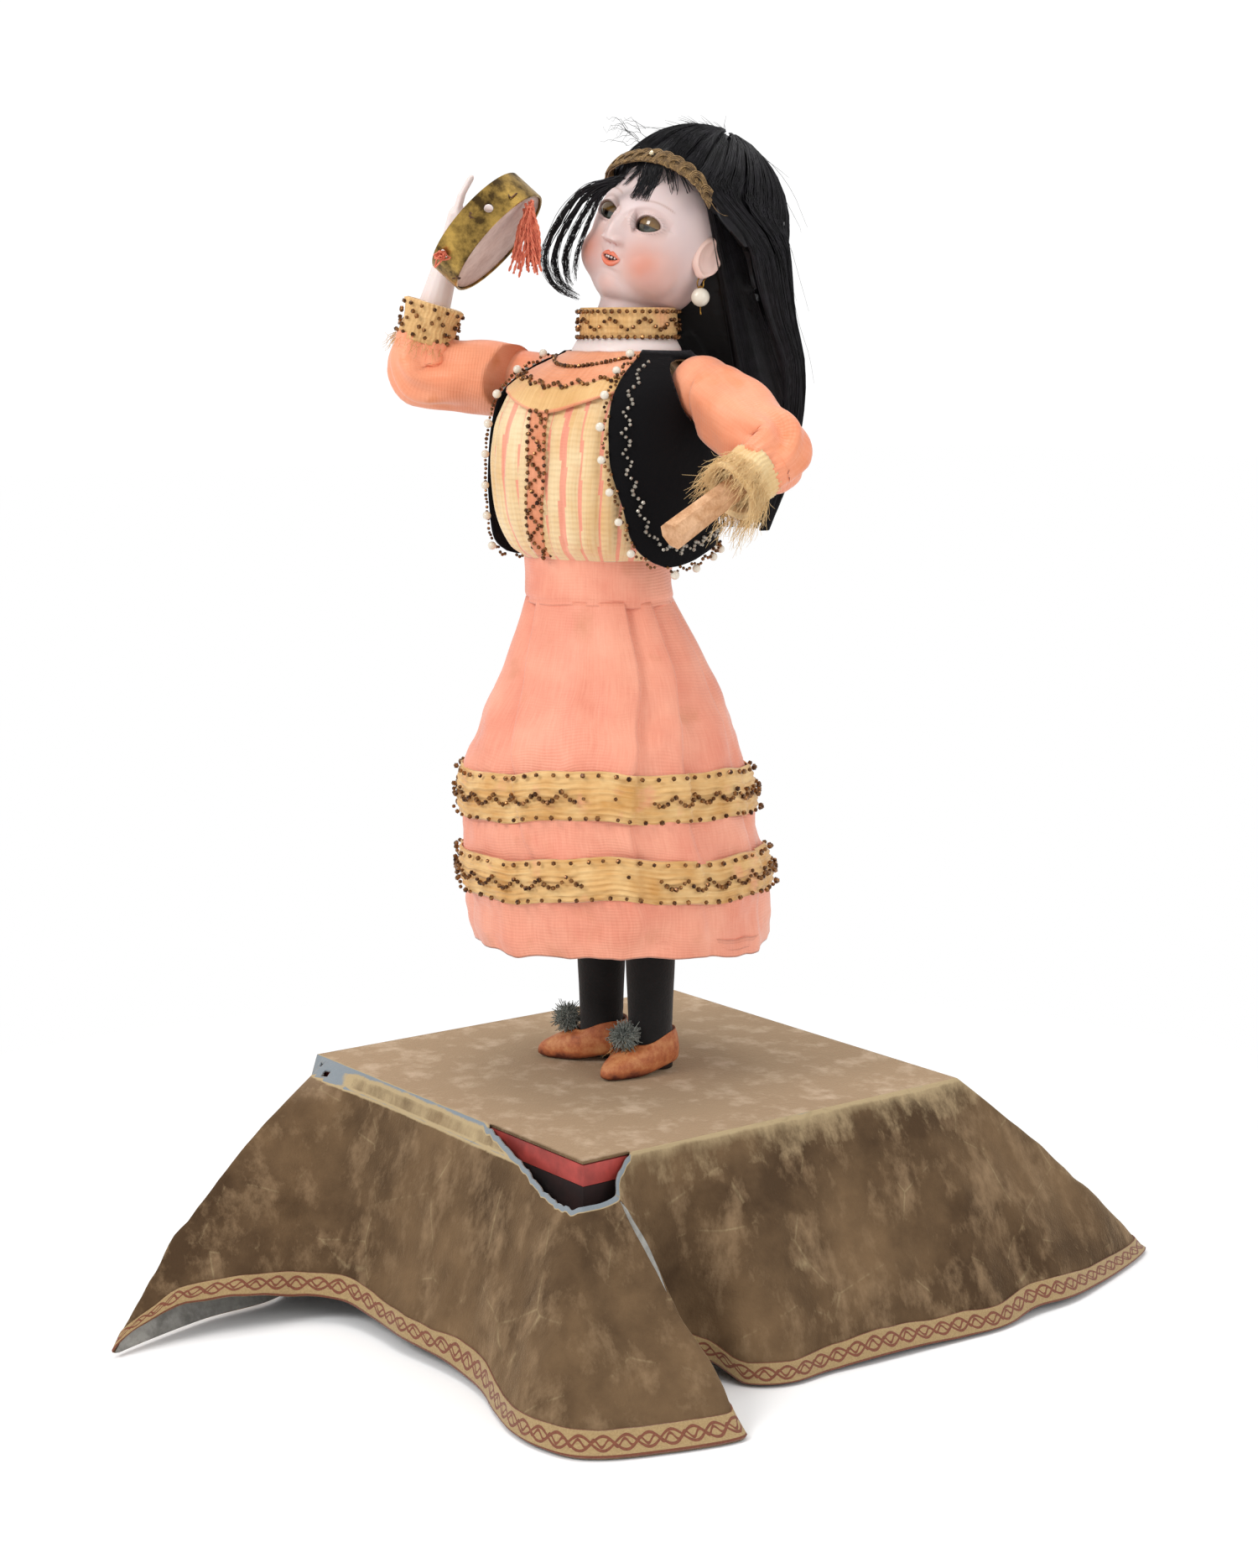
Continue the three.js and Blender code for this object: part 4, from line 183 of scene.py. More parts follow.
# VELVET COVER
# One square of olive-brown cotton velvet lined with grey cotton, laid on the box and hanging loose with four
# tails. Its pile is worn pale on top and bald along the front edge, and it is torn open at the front corner.
cloth_half = 106.0
cloth_top = 99.9
braid_width = 11.0
drape_share = [
    # edge x, edge y, hem x, hem y, hem z, belly
    (-0.90, -1, -0.47, -2.29, 0.02, 0.10), (-0.87, -1, -0.49, -2.04, 0.15, 0.08),
    (-0.83, -1, -0.43, -1.76, 0.17, 0.06), (-0.76, -1, -0.37, -1.50, 0.13, 0.04),
    (-0.62, -1, -0.25, -1.35, 0.10, 0.02), (-0.40, -1, -0.02, -1.31, 0.07, 0.01),
    (-0.15, -1, 0.18, -1.32, 0.06, 0.01), (0.10, -1, 0.42, -1.30, 0.05, 0.01),
    (0.35, -1, 0.62, -1.30, 0.03, 0.01), (0.58, -1, 0.80, -1.33, 0.02, 0.01),
    (0.76, -1, 0.97, -1.39, 0, 0.02), (0.89, -1, 1.15, -1.44, 0, 0.03), (0.97, -1, 1.33, -1.44, 0, 0.02),
    (1, -1, 1.50, -1.37, 0, -0.02), (1, -0.97, 1.62, -1.16, 0, -0.08), (1, -0.94, 1.72, -0.77, 0, -0.10),
    (1, -0.89, 1.50, -0.79, 0.06, -0.03), (1, -0.82, 1.28, -0.84, 0.05, 0.01),
    (1, -0.73, 1.15, -0.78, 0.06, 0.02), (1, -0.60, 1.11, -0.62, 0.10, 0.02),
    (1, -0.48, 1.17, -0.50, 0.08, 0.03), (1, -0.36, 1.34, -0.42, 0, 0.05), (1, -0.24, 1.42, -0.28, 0, 0.05),
    (1, -0.10, 1.42, -0.08, 0.01, 0.03), (1, 0.10, 1.44, 0.12, 0.02, 0.02),
    (1, 0.32, 1.46, 0.38, 0.02, 0.02), (1, 0.52, 1.48, 0.62, 0.01, 0.03), (1, 0.70, 1.49, 0.82, 0, 0.05),
    (1, 0.82, 1.45, 1.05, 0.03, 0.02), (1, 0.92, 1.42, 1.38, 0.02, 0.01), (1, 1, 1.18, 2.03, 0, 0.04),
    (0.93, 1, 1.02, 1.72, 0.05, 0.02), (0.82, 1, 0.85, 1.50, 0.06, 0.02), (0.62, 1, 0.64, 1.38, 0.03, 0.02),
    (0.30, 1, 0.32, 1.43, 0, 0.04), (0, 1, 0, 1.36, 0.05, 0.02), (-0.30, 1, -0.32, 1.43, 0, 0.04),
    (-0.62, 1, -0.66, 1.38, 0.04, 0.02), (-0.85, 1, -0.98, 1.52, 0.03, 0.02), (-1, 1, -1.62, 1.86, 0, 0.03),
    (-1, 0.85, -1.52, 1.15, 0.04, 0.02), (-1, 0.62, -1.46, 0.72, 0, 0.04),
    (-1, 0.30, -1.43, 0.34, 0.04, 0.03), (-1, 0, -1.46, 0.02, 0, 0.05),
    (-1, -0.30, -1.44, -0.28, 0.04, 0.04), (-1, -0.58, -1.38, -0.62, 0, 0.04),
    (-1, -0.80, -1.20, -0.96, 0, 0.03), (-1, -1, -0.90, -1.22, 0, 0.04), (-0.96, -1, -0.64, -1.44, 0, 0.04),
    (-0.93, -1, -0.60, -1.82, 0, 0.07),
]
columns_between = 9
# Rows of the hanging cloth lie closer together near the box's edge, by this power.
hang_rows = 50
hang_power = 1.4
# Where the tear begins on the front edge, where it ends on the side, and how deep it is at the corner.
torn_low_x, torn_high_y, torn_deep = 26.0, -78.0, 19.0


def smooth(value, low, high):
    """0 below low, 1 above high, eased between."""
    t = np.clip((np.asarray(value, float) - low) / (high - low), 0, 1)
    return t * t * (3 - 2 * t)


def full_turn(count):
    """Evenly spread angles once round."""
    return np.linspace(0, 2 * math.pi, count, endpoint=False)


def run_along(path):
    """How far each point of a path lies from its start, along it."""
    return np.concatenate([[0], np.cumsum(np.linalg.norm(np.diff(path, axis=0), axis=1))])


def at_run(path, run, places):
    """Points of a path at the given distances from its start."""
    return np.stack([np.interp(places, run, column) for column in np.transpose(path)], -1)


def rounded(table, count, closed):
    """More rows between the given ones, on a smooth curve through them."""
    table = np.array(table, float)
    made = []
    size = len(table)
    for k in range(size if closed else size - 1):
        take = [(k + d) % size if closed else min(max(k + d, 0), size - 1) for d in (-1, 0, 1, 2)]
        a, b, c, d = table[take]
        for j in range(count):
            t = j / count
            made.append(0.5 * (2 * b + (c - a) * t + (2 * a - 5 * b + 4 * c - d) * t * t
                               + (3 * b - a - 3 * c + d) * t ** 3))
    if not closed:
        made.append(table[-1])
    return np.array(made)


def rumpled(points, amount, size, seed=0.0):
    """Moves cloth points by soft noise; amount is in millimetres and may vary from point to point."""
    flat = points.reshape(-1, 3)
    far = np.array([noise.noise_vector(Vector(p) / size + Vector((seed, seed, seed))) for p in flat])
    return (flat + far * np.broadcast_to(np.asarray(amount, float).reshape(-1, 1),
                                         (len(flat), 1))).reshape(points.shape)


def grid(name, points, closed, finishes, keep=None, cap_low=False, cap_high=False):
    """A mesh over rows of points in millimetres, with a UV in metres that follows the rows and columns."""
    rows, cols = points.shape[:2]
    spread = np.concatenate([points, points[:, :1]], 1) if closed else points
    across = np.linalg.norm(np.diff(spread, axis=1), axis=2).mean(0)
    along = np.linalg.norm(np.diff(points, axis=0), axis=2).mean(1)
    u = np.concatenate([[0], np.cumsum(across)]) * mm
    v = np.concatenate([[0], np.cumsum(along)]) * mm
    faces, corners = [], []
    for r in range(rows - 1):
        for c in range(cols if closed else cols - 1):
            if keep is not None and not keep[r, c]:
                continue
            d = (c + 1) % cols
            faces.append((r * cols + c, r * cols + d, (r + 1) * cols + d, (r + 1) * cols + c))
            corners += [(u[c], v[r]), (u[c + 1], v[r]), (u[c + 1], v[r + 1]), (u[c], v[r + 1])]
    for cap, r in ((cap_low, 0), (cap_high, rows - 1)):
        if cap:
            loop = [r * cols + c for c in range(cols)]
            faces.append(tuple(loop if r else reversed(loop)))
            corners += [(u[c % cols], v[r]) for c in loop]
    data = bpy.data.meshes.new(name)
    data.from_pydata((points.reshape(-1, 3) * mm).tolist(), [], faces)
    layer = data.uv_layers.new(name="cloth")
    layer.data.foreach_set("uv", np.array(corners, np.float32).ravel())
    data.polygons.foreach_set("use_smooth", [True] * len(data.polygons))
    for finish in finishes:
        data.materials.append(finish)
    made = bpy.data.objects.new(name, data)
    bpy.context.scene.collection.objects.link(made)
    return made


def thickened(piece, thickness, inner=0):
    """Gives a sheet its thickness, inwards; inner is the slot of the finish on its inside."""
    wall = piece.modifiers.new("thickness", "SOLIDIFY")
    wall.thickness = thickness * mm
    wall.offset = -1
    wall.material_offset = inner
    wall.material_offset_rim = 0
    return piece


lines = rounded(drape_share, columns_between, True)
straight = np.array(drape_share, float)[:, :2]
following = np.roll(straight, -1, 0)
between = np.arange(columns_between)[:, None]
lines[:, :2] = np.concatenate([a + (b - a) * between / columns_between for a, b in zip(straight, following)])
lines[:, 4] = np.maximum(lines[:, 4], 0)
across_x, across_y = lines[:, 0] * cloth_half, lines[:, 1] * cloth_half
on_front, on_side = across_y < -cloth_half * 0.99, across_x > cloth_half * 0.99
depth = np.maximum(np.where(on_front, torn_deep * smooth(across_x, torn_low_x, cloth_half * 0.97), 0),
                   np.where(on_side, torn_deep * (1 - smooth(across_y, -cloth_half * 0.97, torn_high_y)), 0))
jag = np.array([1.5 * noise.noise(Vector((x, y, 0)) / 3) for x, y in zip(across_x, across_y)])
depth = np.where(depth > 0.8, depth + jag, 0)


def drape(t):
    """Points of the hanging cloth at shares t of the way from the box's edge to the hem."""
    x = (lines[:, 0] * (1 - t) + lines[:, 2] * t) * cloth_half
    y = (lines[:, 1] * (1 - t) + lines[:, 3] * t) * cloth_half
    z = cloth_top * (1 - t) + lines[:, 4] * cloth_top * t
    out = 4 * t * (1 - t) * lines[:, 5] * cloth_half
    far = np.hypot(x, y)
    return np.stack([x + x / far * out, y + y / far * out, z], -1)


whole = np.linalg.norm(drape(1.0) - drape(0.0), axis=1)
torn_share = depth / whole
fall = np.linspace(0, 1, hang_rows)[:, None] ** hang_power
fall = torn_share + (1 - torn_share) * fall
hanging = drape(fall)
length = whole * (1 - torn_share)
in_plane = smooth(fall, 0.05, 0.6) * smooth(hanging[..., 2], 3, 16)
hanging = rumpled(hanging, in_plane * 3.2, 34.0)
hanging = rumpled(hanging, in_plane * 0.9, 11.0, 3.0)
hanging[..., 2] = np.maximum(hanging[..., 2], 1.2)
top_shares = np.concatenate([np.linspace(0.02, 0.96, 34), [0.985]])[:, None]
top = np.stack([lines[:, 0] * top_shares * cloth_half, lines[:, 1] * top_shares * cloth_half,
                np.full((len(top_shares), len(lines)), cloth_top)], -1)
top = rumpled(top, np.repeat(0.25 * smooth(top_shares, 0, 0.4) * (1 - smooth(top_shares, 0.9, 1)),
                             len(lines), 1), 22.0, 9.0)
sheet = np.concatenate([hanging[::-1], top[::-1]])
from_edge = np.concatenate([(fall * whole)[::-1], np.full((len(top_shares), len(lines)), -1.0)])
keep = np.ones((len(sheet) - 1, len(lines)), bool)
keep[hang_rows - 1] = (depth == 0) | (np.roll(depth, -1) == 0)
for hole_x, hole_deep, hole_wide in ((-98.0, 5.0, 2.5), (-90.0, 8.0, 1.6)):
    near = (np.abs(across_x - hole_x) < hole_wide) & (across_y < -cloth_half * 0.99)
    keep &= ~(near[None, :] & (from_edge[:-1] > hole_deep - 1.6) & (from_edge[:-1] < hole_deep + 1))

# Deep olive-brown pile with crushed and rubbed patches, pale on top, bald and grey at the worn edge.
worn_velvet, tree, shader = material("worn_cotton_velvet", Roughness=0.95, Sheen_Weight=0.55,
                                     Sheen_Roughness=0.35, Sheen_Tint=linear("d9bf9d"),
                                     Specular_IOR_Level=0.1)
where = add(tree, "ShaderNodeTexCoord").outputs["Object"]
broad = add(tree, "ShaderNodeTexNoise", {"Vector": where, "Scale": 1 / (55 * mm), "Detail": 5.0,
                                         "Roughness": 0.6})
upright = add(tree, "ShaderNodeMapping", {"Vector": where, "Scale": (1.0, 1.0, 0.45)}).outputs[0]
patch = add(tree, "ShaderNodeTexNoise", {"Vector": upright, "Scale": 1 / (16 * mm), "Detail": 8.0,
                                         "Roughness": 0.68})
crushed = add(tree, "ShaderNodeMapRange", {"Value": broad.outputs["Fac"], "From Min": 0.38, "From Max": 0.66})
pile = add(tree, "ShaderNodeMix", {"Factor": crushed.outputs[0], 6: linear("4c3a29"), 7: linear("775f45")},
           data_type="RGBA")
rubbed = add(tree, "ShaderNodeMapRange", {"Value": patch.outputs["Fac"], "From Min": 0.5, "From Max": 0.72})
pale = add(tree, "ShaderNodeMix", {"Factor": rubbed.outputs[0], 6: pile.outputs[2], 7: linear("8f765a")},
           data_type="RGBA")
normal_z = add(tree, "ShaderNodeSeparateXYZ",
               {0: add(tree, "ShaderNodeNewGeometry").outputs["Normal"]}).outputs["Z"]
height = add(tree, "ShaderNodeSeparateXYZ", {0: where})
on_top = add(tree, "ShaderNodeMapRange", {"Value": normal_z, "From Min": 0.55, "From Max": 0.95})
high_up = add(tree, "ShaderNodeMapRange", {"Value": height.outputs["Z"], "From Min": 84 * mm,
                                           "From Max": 99 * mm})
bleach = add(tree, "ShaderNodeMath", {0: on_top.outputs[0], 1: high_up.outputs[0]}, operation="MULTIPLY")
bleached_pile = add(tree, "ShaderNodeMix", {"Factor": rubbed.outputs[0], 6: linear("a48b70"),
                                            7: linear("cbb49b")}, data_type="RGBA")
topped = add(tree, "ShaderNodeMix", {"Factor": bleach.outputs[0], 6: pale.outputs[2],
                                     7: bleached_pile.outputs[2]}, data_type="RGBA")
edge_rub = add(tree, "ShaderNodeAttribute", attribute_name="bald").outputs["Fac"]
frayed_edge = add(tree, "ShaderNodeMath", {0: patch.outputs["Fac"], 1: 0.6, 2: edge_rub},
                  operation="MULTIPLY_ADD")
thin = add(tree, "ShaderNodeMapRange", {"Value": frayed_edge.outputs[0], "From Min": 0.6, "From Max": 0.85})
thin_pile = add(tree, "ShaderNodeMix", {"Factor": thin.outputs[0], 6: topped.outputs[2],
                                        7: linear("b5a07c")}, data_type="RGBA")
bare = add(tree, "ShaderNodeMapRange", {"Value": frayed_edge.outputs[0], "From Min": 1.08, "From Max": 1.2})
backing = add(tree, "ShaderNodeMix", {"Factor": bare.outputs[0], 6: thin_pile.outputs[2],
                                      7: linear("868e94")}, data_type="RGBA")
scratch = add(tree, "ShaderNodeTexVoronoi", {"Vector": where, "Scale": 1 / (46 * mm), "Randomness": 1.0},
              feature="DISTANCE_TO_EDGE")
line = add(tree, "ShaderNodeMapRange", {"Value": scratch.outputs["Distance"], "From Min": 0.0,
                                        "From Max": 0.012, "To Min": 1.0, "To Max": 0.0})
some = add(tree, "ShaderNodeMath", {0: line.outputs[0], 1: rubbed.outputs[0]}, operation="MULTIPLY")
scratched = add(tree, "ShaderNodeMix", {"Factor": some.outputs[0], 6: backing.outputs[2],
                                        7: linear("9c8a69")}, data_type="RGBA")
tree.links.new(scratched.outputs[2], shader.inputs["Base Color"])
nap = add(tree, "ShaderNodeTexNoise", {"Vector": where, "Scale": 1 / (1.1 * mm), "Detail": 2.0})
soft = add(tree, "ShaderNodeMath", {0: patch.outputs["Fac"], 1: 3.0, 2: nap.outputs["Fac"]},
           operation="MULTIPLY_ADD")
bump = add(tree, "ShaderNodeBump", {"Height": soft.outputs[0], "Strength": 0.8, "Distance": 0.35 * mm})
tree.links.new(bump.outputs[0], shader.inputs["Normal"])
# Plain matt grey cotton.
grey_lining = mottled("grey_cotton_lining", "a3a19b", "787671", 14, 0.95, 0.3)

cover = grid("velvet_cover_cloth", sheet, True, [worn_velvet, grey_lining], keep, cap_high=True)
bald = np.concatenate([(fall * whole)[::-1], -(1 - top_shares) * cloth_half * np.ones((1, len(lines)))])
strip = np.interp(bald, (-3, -1, 0.5, 2.2, 3.4, 8.5, 9.6, 10.8, 12),
                  (0, 0.8, 0.95, 0.7, 0.45, 0.45, 0.9, 0.6, 0))
strip = strip + np.where((bald > 0) & (bald < 10), 0.55 * smooth(-across_x, 66, 84)[None, :], 0)
rubbed_side = np.interp(bald, (-3, 0, 2, 6, 16, 24), (0, 0.75, 0.45, 0.35, 0.3, 0))
bald_value = np.where(on_front[None, :], strip, np.where(on_side[None, :], rubbed_side, 0))
near_tear = (depth[None, :] > 1) & (bald > 0) & (bald < depth[None, :] + 2.5)
bald_value = np.where(near_tear, 1.0, bald_value)
layer = cover.data.attributes.new("bald", "FLOAT", "POINT")
layer.data.foreach_set("value", bald_value.astype(np.float32).ravel())
thickened(cover, 1.2, 1)
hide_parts("velvet_cover")
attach(cover, "base")


# HEM BRAID
# Jacquard furnishing braid, brown-red leaf scrolls on tan, sewn round the cover's hem on its outside.
# The scroll is drawn from the strip's own UV: two crossing vines, rings in their bends and a corded edge.
braid_rows = 8
braid_lift = 0.5
hem_share = 1 - (1 - np.linspace(0, 1, braid_rows))[:, None] * braid_width / length[None, :]
hem = np.zeros((braid_rows, len(lines), 3))
for r in range(braid_rows):
    place = hem_share[r] ** (1 / hang_power) * (hang_rows - 1)
    low = np.clip(np.floor(place).astype(int), 0, hang_rows - 2)
    part = (place - low)[:, None]
    cols = np.arange(len(lines))
    hem[r] = hanging[low, cols] * (1 - part) + hanging[low + 1, cols] * part
before, after = np.roll(hem, 1, 1), np.roll(hem, -1, 1)
outwards = np.cross(after - before, hem[:1] - hem[-1:])
outwards /= np.linalg.norm(outwards, axis=2, keepdims=True) + 1e-9
hem = hem + outwards * braid_lift
hem[..., 2] = np.maximum(hem[..., 2], 0.9)

scroll_period = 19.0
# Flat woven ribbon: brown-red figure threads standing a little above a tan ground.
braid_cloth, tree, shader = material("jacquard_braid", Roughness=0.85, Sheen_Weight=0.2)
uv = add(tree, "ShaderNodeSeparateXYZ", {0: add(tree, "ShaderNodeUVMap", uv_map="cloth").outputs[0]})
along = add(tree, "ShaderNodeMath", {0: uv.outputs["X"], 1: 2 * math.pi / (scroll_period * mm)},
            operation="MULTIPLY")
over = add(tree, "ShaderNodeMath", {0: uv.outputs["Y"], 1: 1 / (braid_width * mm)}, operation="MULTIPLY")
shapes = []
for turn, harmonic, tall in ((0.0, 1.0, 0.24), (math.pi, 1.0, 0.24), (0.6, 3.0, 0.12)):
    angle = add(tree, "ShaderNodeMath", {0: along.outputs[0], 1: harmonic, 2: turn}, operation="MULTIPLY_ADD")
    wave = add(tree, "ShaderNodeMath", {0: angle.outputs[0]}, operation="SINE")
    middle = add(tree, "ShaderNodeMath", {0: wave.outputs[0], 1: tall, 2: 0.5}, operation="MULTIPLY_ADD")
    off = add(tree, "ShaderNodeMath", {0: over.outputs[0], 1: middle.outputs[0]}, operation="SUBTRACT")
    size = add(tree, "ShaderNodeMath", {0: off.outputs[0]}, operation="ABSOLUTE")
    shapes.append(add(tree, "ShaderNodeMath", {0: size.outputs[0], 1: 0.055},
                      operation="LESS_THAN").outputs[0])
edge = add(tree, "ShaderNodeMath", {0: over.outputs[0], 1: 0.5}, operation="SUBTRACT")
edge_far = add(tree, "ShaderNodeMath", {0: edge.outputs[0]}, operation="ABSOLUTE")
corded = add(tree, "ShaderNodeMath", {0: edge_far.outputs[0], 1: 0.43}, operation="GREATER_THAN")
figure_mask = corded.outputs[0]
for shape in shapes:
    figure_mask = add(tree, "ShaderNodeMath", {0: figure_mask, 1: shape}, operation="MAXIMUM").outputs[0]
thread = add(tree, "ShaderNodeTexNoise", {"Vector": add(tree, "ShaderNodeTexCoord").outputs["Object"],
                                          "Scale": 1 / (0.8 * mm), "Detail": 2.0})
tan = add(tree, "ShaderNodeMix", {"Factor": thread.outputs["Fac"], 6: linear("8a6f47"),
                                  7: linear("b79c6e")}, data_type="RGBA")
leaf = add(tree, "ShaderNodeMix", {"Factor": thread.outputs["Fac"], 6: linear("5c2f20"),
                                   7: linear("8d5136")}, data_type="RGBA")
jacquard = add(tree, "ShaderNodeMix", {"Factor": figure_mask, 6: tan.outputs[2], 7: leaf.outputs[2]},
               data_type="RGBA")
tree.links.new(jacquard.outputs[2], shader.inputs["Base Color"])
raised = add(tree, "ShaderNodeMath", {0: figure_mask, 1: 0.7, 2: thread.outputs["Fac"]},
             operation="MULTIPLY_ADD")
bump = add(tree, "ShaderNodeBump", {"Height": raised.outputs[0], "Strength": 0.9, "Distance": 0.3 * mm})
tree.links.new(bump.outputs[0], shader.inputs["Normal"])
braid = grid("hem_braid_strip", hem[::-1], True, [braid_cloth])
thickened(braid, 0.9)
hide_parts("hem_braid")
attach(braid, "base")


# LEGS AND SHOES
# Turned legs in black knitted stockings, and tan leather shoes with a dark heel and worn, reddened toes.
doll_place = Matrix.Translation((-6, 2.5, 0)) @ Matrix.Rotation(math.radians(12), 4, "Z")
feet = {"left": ((10.0, 3.0), 4.0), "right": ((-21.0, -2.0), -46.0)}
leg_foot = cloth_top + 0.3 + 6.5
leg_share = [(0, -0.25), (0.06, 0), (0.22, 0.22), (0.42, 0.55), (1, 1)]
hip_height = 237.0
ankle_radius, hip_radius = 9.8, 13.0


def placed(points, matrix):
    """Points moved by a matrix that is in millimetres."""
    flat = np.concatenate([points.reshape(-1, 3), np.ones((points.size // 3, 1))], 1)
    return (flat @ np.array(matrix).T)[:, :3].reshape(points.shape)


fine_tables = {}


def table_at(table, shares):
    """Each column of a table, smoothly between its rows, at the given shares of its first column."""
    if id(table) not in fine_tables:
        fine_tables[id(table)] = rounded(table, 16, False)
    fine = fine_tables[id(table)]
    return at_run(fine[:, 1:], fine[:, 0], shares)


def oval(half, front, back, power, turns):
    """Points of a squarish oval at the given angles, as x and y."""
    c, s = np.cos(turns), np.sin(turns)
    r = (np.abs(c) ** power + np.abs(s) ** power) ** (-1 / power)
    return half * c * r, np.where(s < 0, front, back) * s * r


# Fine black knitting, quite matt.
black_knit = mottled("black_knitted_stocking", "161415", "090809", 18, 0.95, 0.25, fine=14.0,
                     Sheen_Weight=0.25)
# Orange-tan leather, reddened and dark towards the sole, with scuffed grain.
tan_leather, tree, shader = material("worn_tan_leather", Roughness=0.6)
where = add(tree, "ShaderNodeTexCoord").outputs["Object"]
scuff = add(tree, "ShaderNodeTexNoise", {"Vector": where, "Scale": 1 / (7 * mm), "Detail": 7.0,
                                         "Roughness": 0.7})
low = add(tree, "ShaderNodeSeparateXYZ", {0: where})
sole_line = add(tree, "ShaderNodeMapRange", {"Value": low.outputs["Z"], "From Min": 100.2 * mm,
                                             "From Max": 105 * mm, "To Min": 0.42, "To Max": 0.0})
wear = add(tree, "ShaderNodeMath", {0: scuff.outputs["Fac"], 1: sole_line.outputs[0]}, operation="ADD")
ramp = add(tree, "ShaderNodeValToRGB", {"Fac": wear.outputs[0]})
ramp.color_ramp.elements[0].color = linear("d99a63")
ramp.color_ramp.elements[0].position = 0.3
ramp.color_ramp.elements[1].color = linear("5a2417")
ramp.color_ramp.elements[1].position = 0.85
middle = ramp.color_ramp.elements.new(0.55)
middle.color = linear("b9683c")
tree.links.new(ramp.outputs["Color"], shader.inputs["Base Color"])
bump = add(tree, "ShaderNodeBump", {"Height": scuff.outputs["Fac"], "Strength": 0.8, "Distance": 0.4 * mm})
tree.links.new(bump.outputs[0], shader.inputs["Normal"])
# Stacked leather, blackened.
heel_leather = mottled("black_heel_leather", "2b1a15", "120b09", 6, 0.6, 0.1)

shoe_share = [(0, 0.72, 0.9, 0.84), (0.1, 0.92, 1, 0.97), (0.36, 1, 0.96, 1), (0.6, 0.98, 0.76, 0.98),
              (0.82, 0.92, 0.5, 0.94), (1, 0.88, 0.40, 0.86)]
shoe_length, shoe_width, shoe_height, heel_back, heel_height = 44.0, 23.0, 16.0, 14.0, 3.5
for side, ((foot_x, foot_y), turn) in feet.items():
    turns = full_turn(48)
    shares = np.linspace(0, 1, 60)
    radius = ankle_radius + (hip_radius - ankle_radius) * table_at(leg_share, shares)[:, 0]
    rows = np.zeros((60, 48, 3))
    for r, share in enumerate(shares):
        wrinkle = 1 + 0.02 * np.sin(share * 160 + 2 * np.sin(turns * 2)) * (1 - smooth(share, 0.05, 0.2))
        rows[r] = np.stack([foot_x + radius[r] * wrinkle * np.cos(turns),
                            foot_y + radius[r] * wrinkle * np.sin(turns),
                            np.full(48, leg_foot - 3 + (hip_height - leg_foot + 3) * share)], -1)
    leg = grid(f"{side}_stocking", rows, True, [black_knit], cap_low=True, cap_high=True)
    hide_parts(f"{side}_leg")
    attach(leg, "base")

    shares = np.linspace(0, 1, 26)
    size = table_at(shoe_share, shares)
    turns = full_turn(72)
    rows = []
    for r, share in enumerate(shares):
        x, y = oval(size[r, 0] * shoe_width / 2, size[r, 1] * (shoe_length - heel_back),
                    size[r, 2] * heel_back, 2.2, turns)
        x = x * (1 - 0.2 * smooth(-y, 6, 30)) + 1.2 * smooth(-y, 8, 30)
        lift = heel_height * smooth(y, -(shoe_length - heel_back) / 2, heel_back / 2)
        throat = 2.2 * np.exp(-((y + 10) / 9) ** 2) * smooth(share, 0.7, 1)
        rows.append(np.stack([x, y, share * shoe_height + lift - throat], -1))
    inner = np.array(rows[-1])
    inner_low = inner * (0.9, 0.9, 1) - (0, 0, 1.5)
    deep = inner * (0.86, 0.86, 1) - (0, 0, 7.0)
    rows += [inner_low, deep]
    place = (Matrix.Translation((foot_x, foot_y, cloth_top + 0.3))
             @ Matrix.Rotation(math.radians(turn), 4, "Z"))
    shoe = grid(f"{side}_leather_shoe", placed(np.array(rows), place), True, [tan_leather], cap_low=True,
                cap_high=True)
    heel_turns = full_turn(32)
    heel_rows = np.array([[(5.4 * k * math.cos(a), heel_back - 7.6 + 5.6 * k * math.sin(a), z)
                           for a in heel_turns] for z, k in ((0, 0.92), (0.3, 1), (3.0, 1.04), (4.2, 1.0))])
    heel = grid(f"{side}_heel", placed(heel_rows, place), True, [heel_leather], cap_low=True, cap_high=True)
    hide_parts(f"{side}_shoe")
    for made in (shoe, heel):
        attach(made, "base")


# POMPOMS
# Cut ends of grey-green wool tied to a ball on each instep, with a few straw-coloured threads of the tie.
def group_inputs(tree, *sockets):
    """Named inputs of a node group, each a name, a kind and a default."""
    for name, kind, default in sockets:
        made = tree.interface.new_socket(name=name, in_out="INPUT", socket_type=kind)
        if default is not None:
            made.default_value = default
    tree.interface.new_socket(name="Geometry", in_out="OUTPUT", socket_type="NodeSocketGeometry")
    return add(tree, "NodeGroupInput"), add(tree, "NodeGroupOutput")


strands = bpy.data.node_groups.new("strands", "GeometryNodeTree")
source, result = group_inputs(strands, ("Geometry", "NodeSocketGeometry", None),
                              ("Radius", "NodeSocketFloat", 0.0002), ("Sides", "NodeSocketInt", 3),
                              ("Finish", "NodeSocketMaterial", None))
thread_line = add(strands, "GeometryNodeMeshToCurve", {0: source.outputs["Geometry"]})
width = add(strands, "GeometryNodeInputNamedAttribute", {"Name": "taper"}, data_type="FLOAT")
tapered = add(strands, "GeometryNodeSetCurveRadius", {0: thread_line.outputs[0], "Radius": width.outputs[0]})
profile = add(strands, "GeometryNodeCurvePrimitiveCircle",
              {"Resolution": source.outputs["Sides"], "Radius": source.outputs["Radius"]})
tube = add(strands, "GeometryNodeCurveToMesh",
           {"Curve": tapered.outputs[0], "Profile Curve": profile.outputs[0], "Fill Caps": True})
if "Scale" in tube.inputs:
    strands.links.new(width.outputs[0], tube.inputs["Scale"])
whole = add(strands, "GeometryNodeRealizeInstances", {0: tube.outputs[0]})
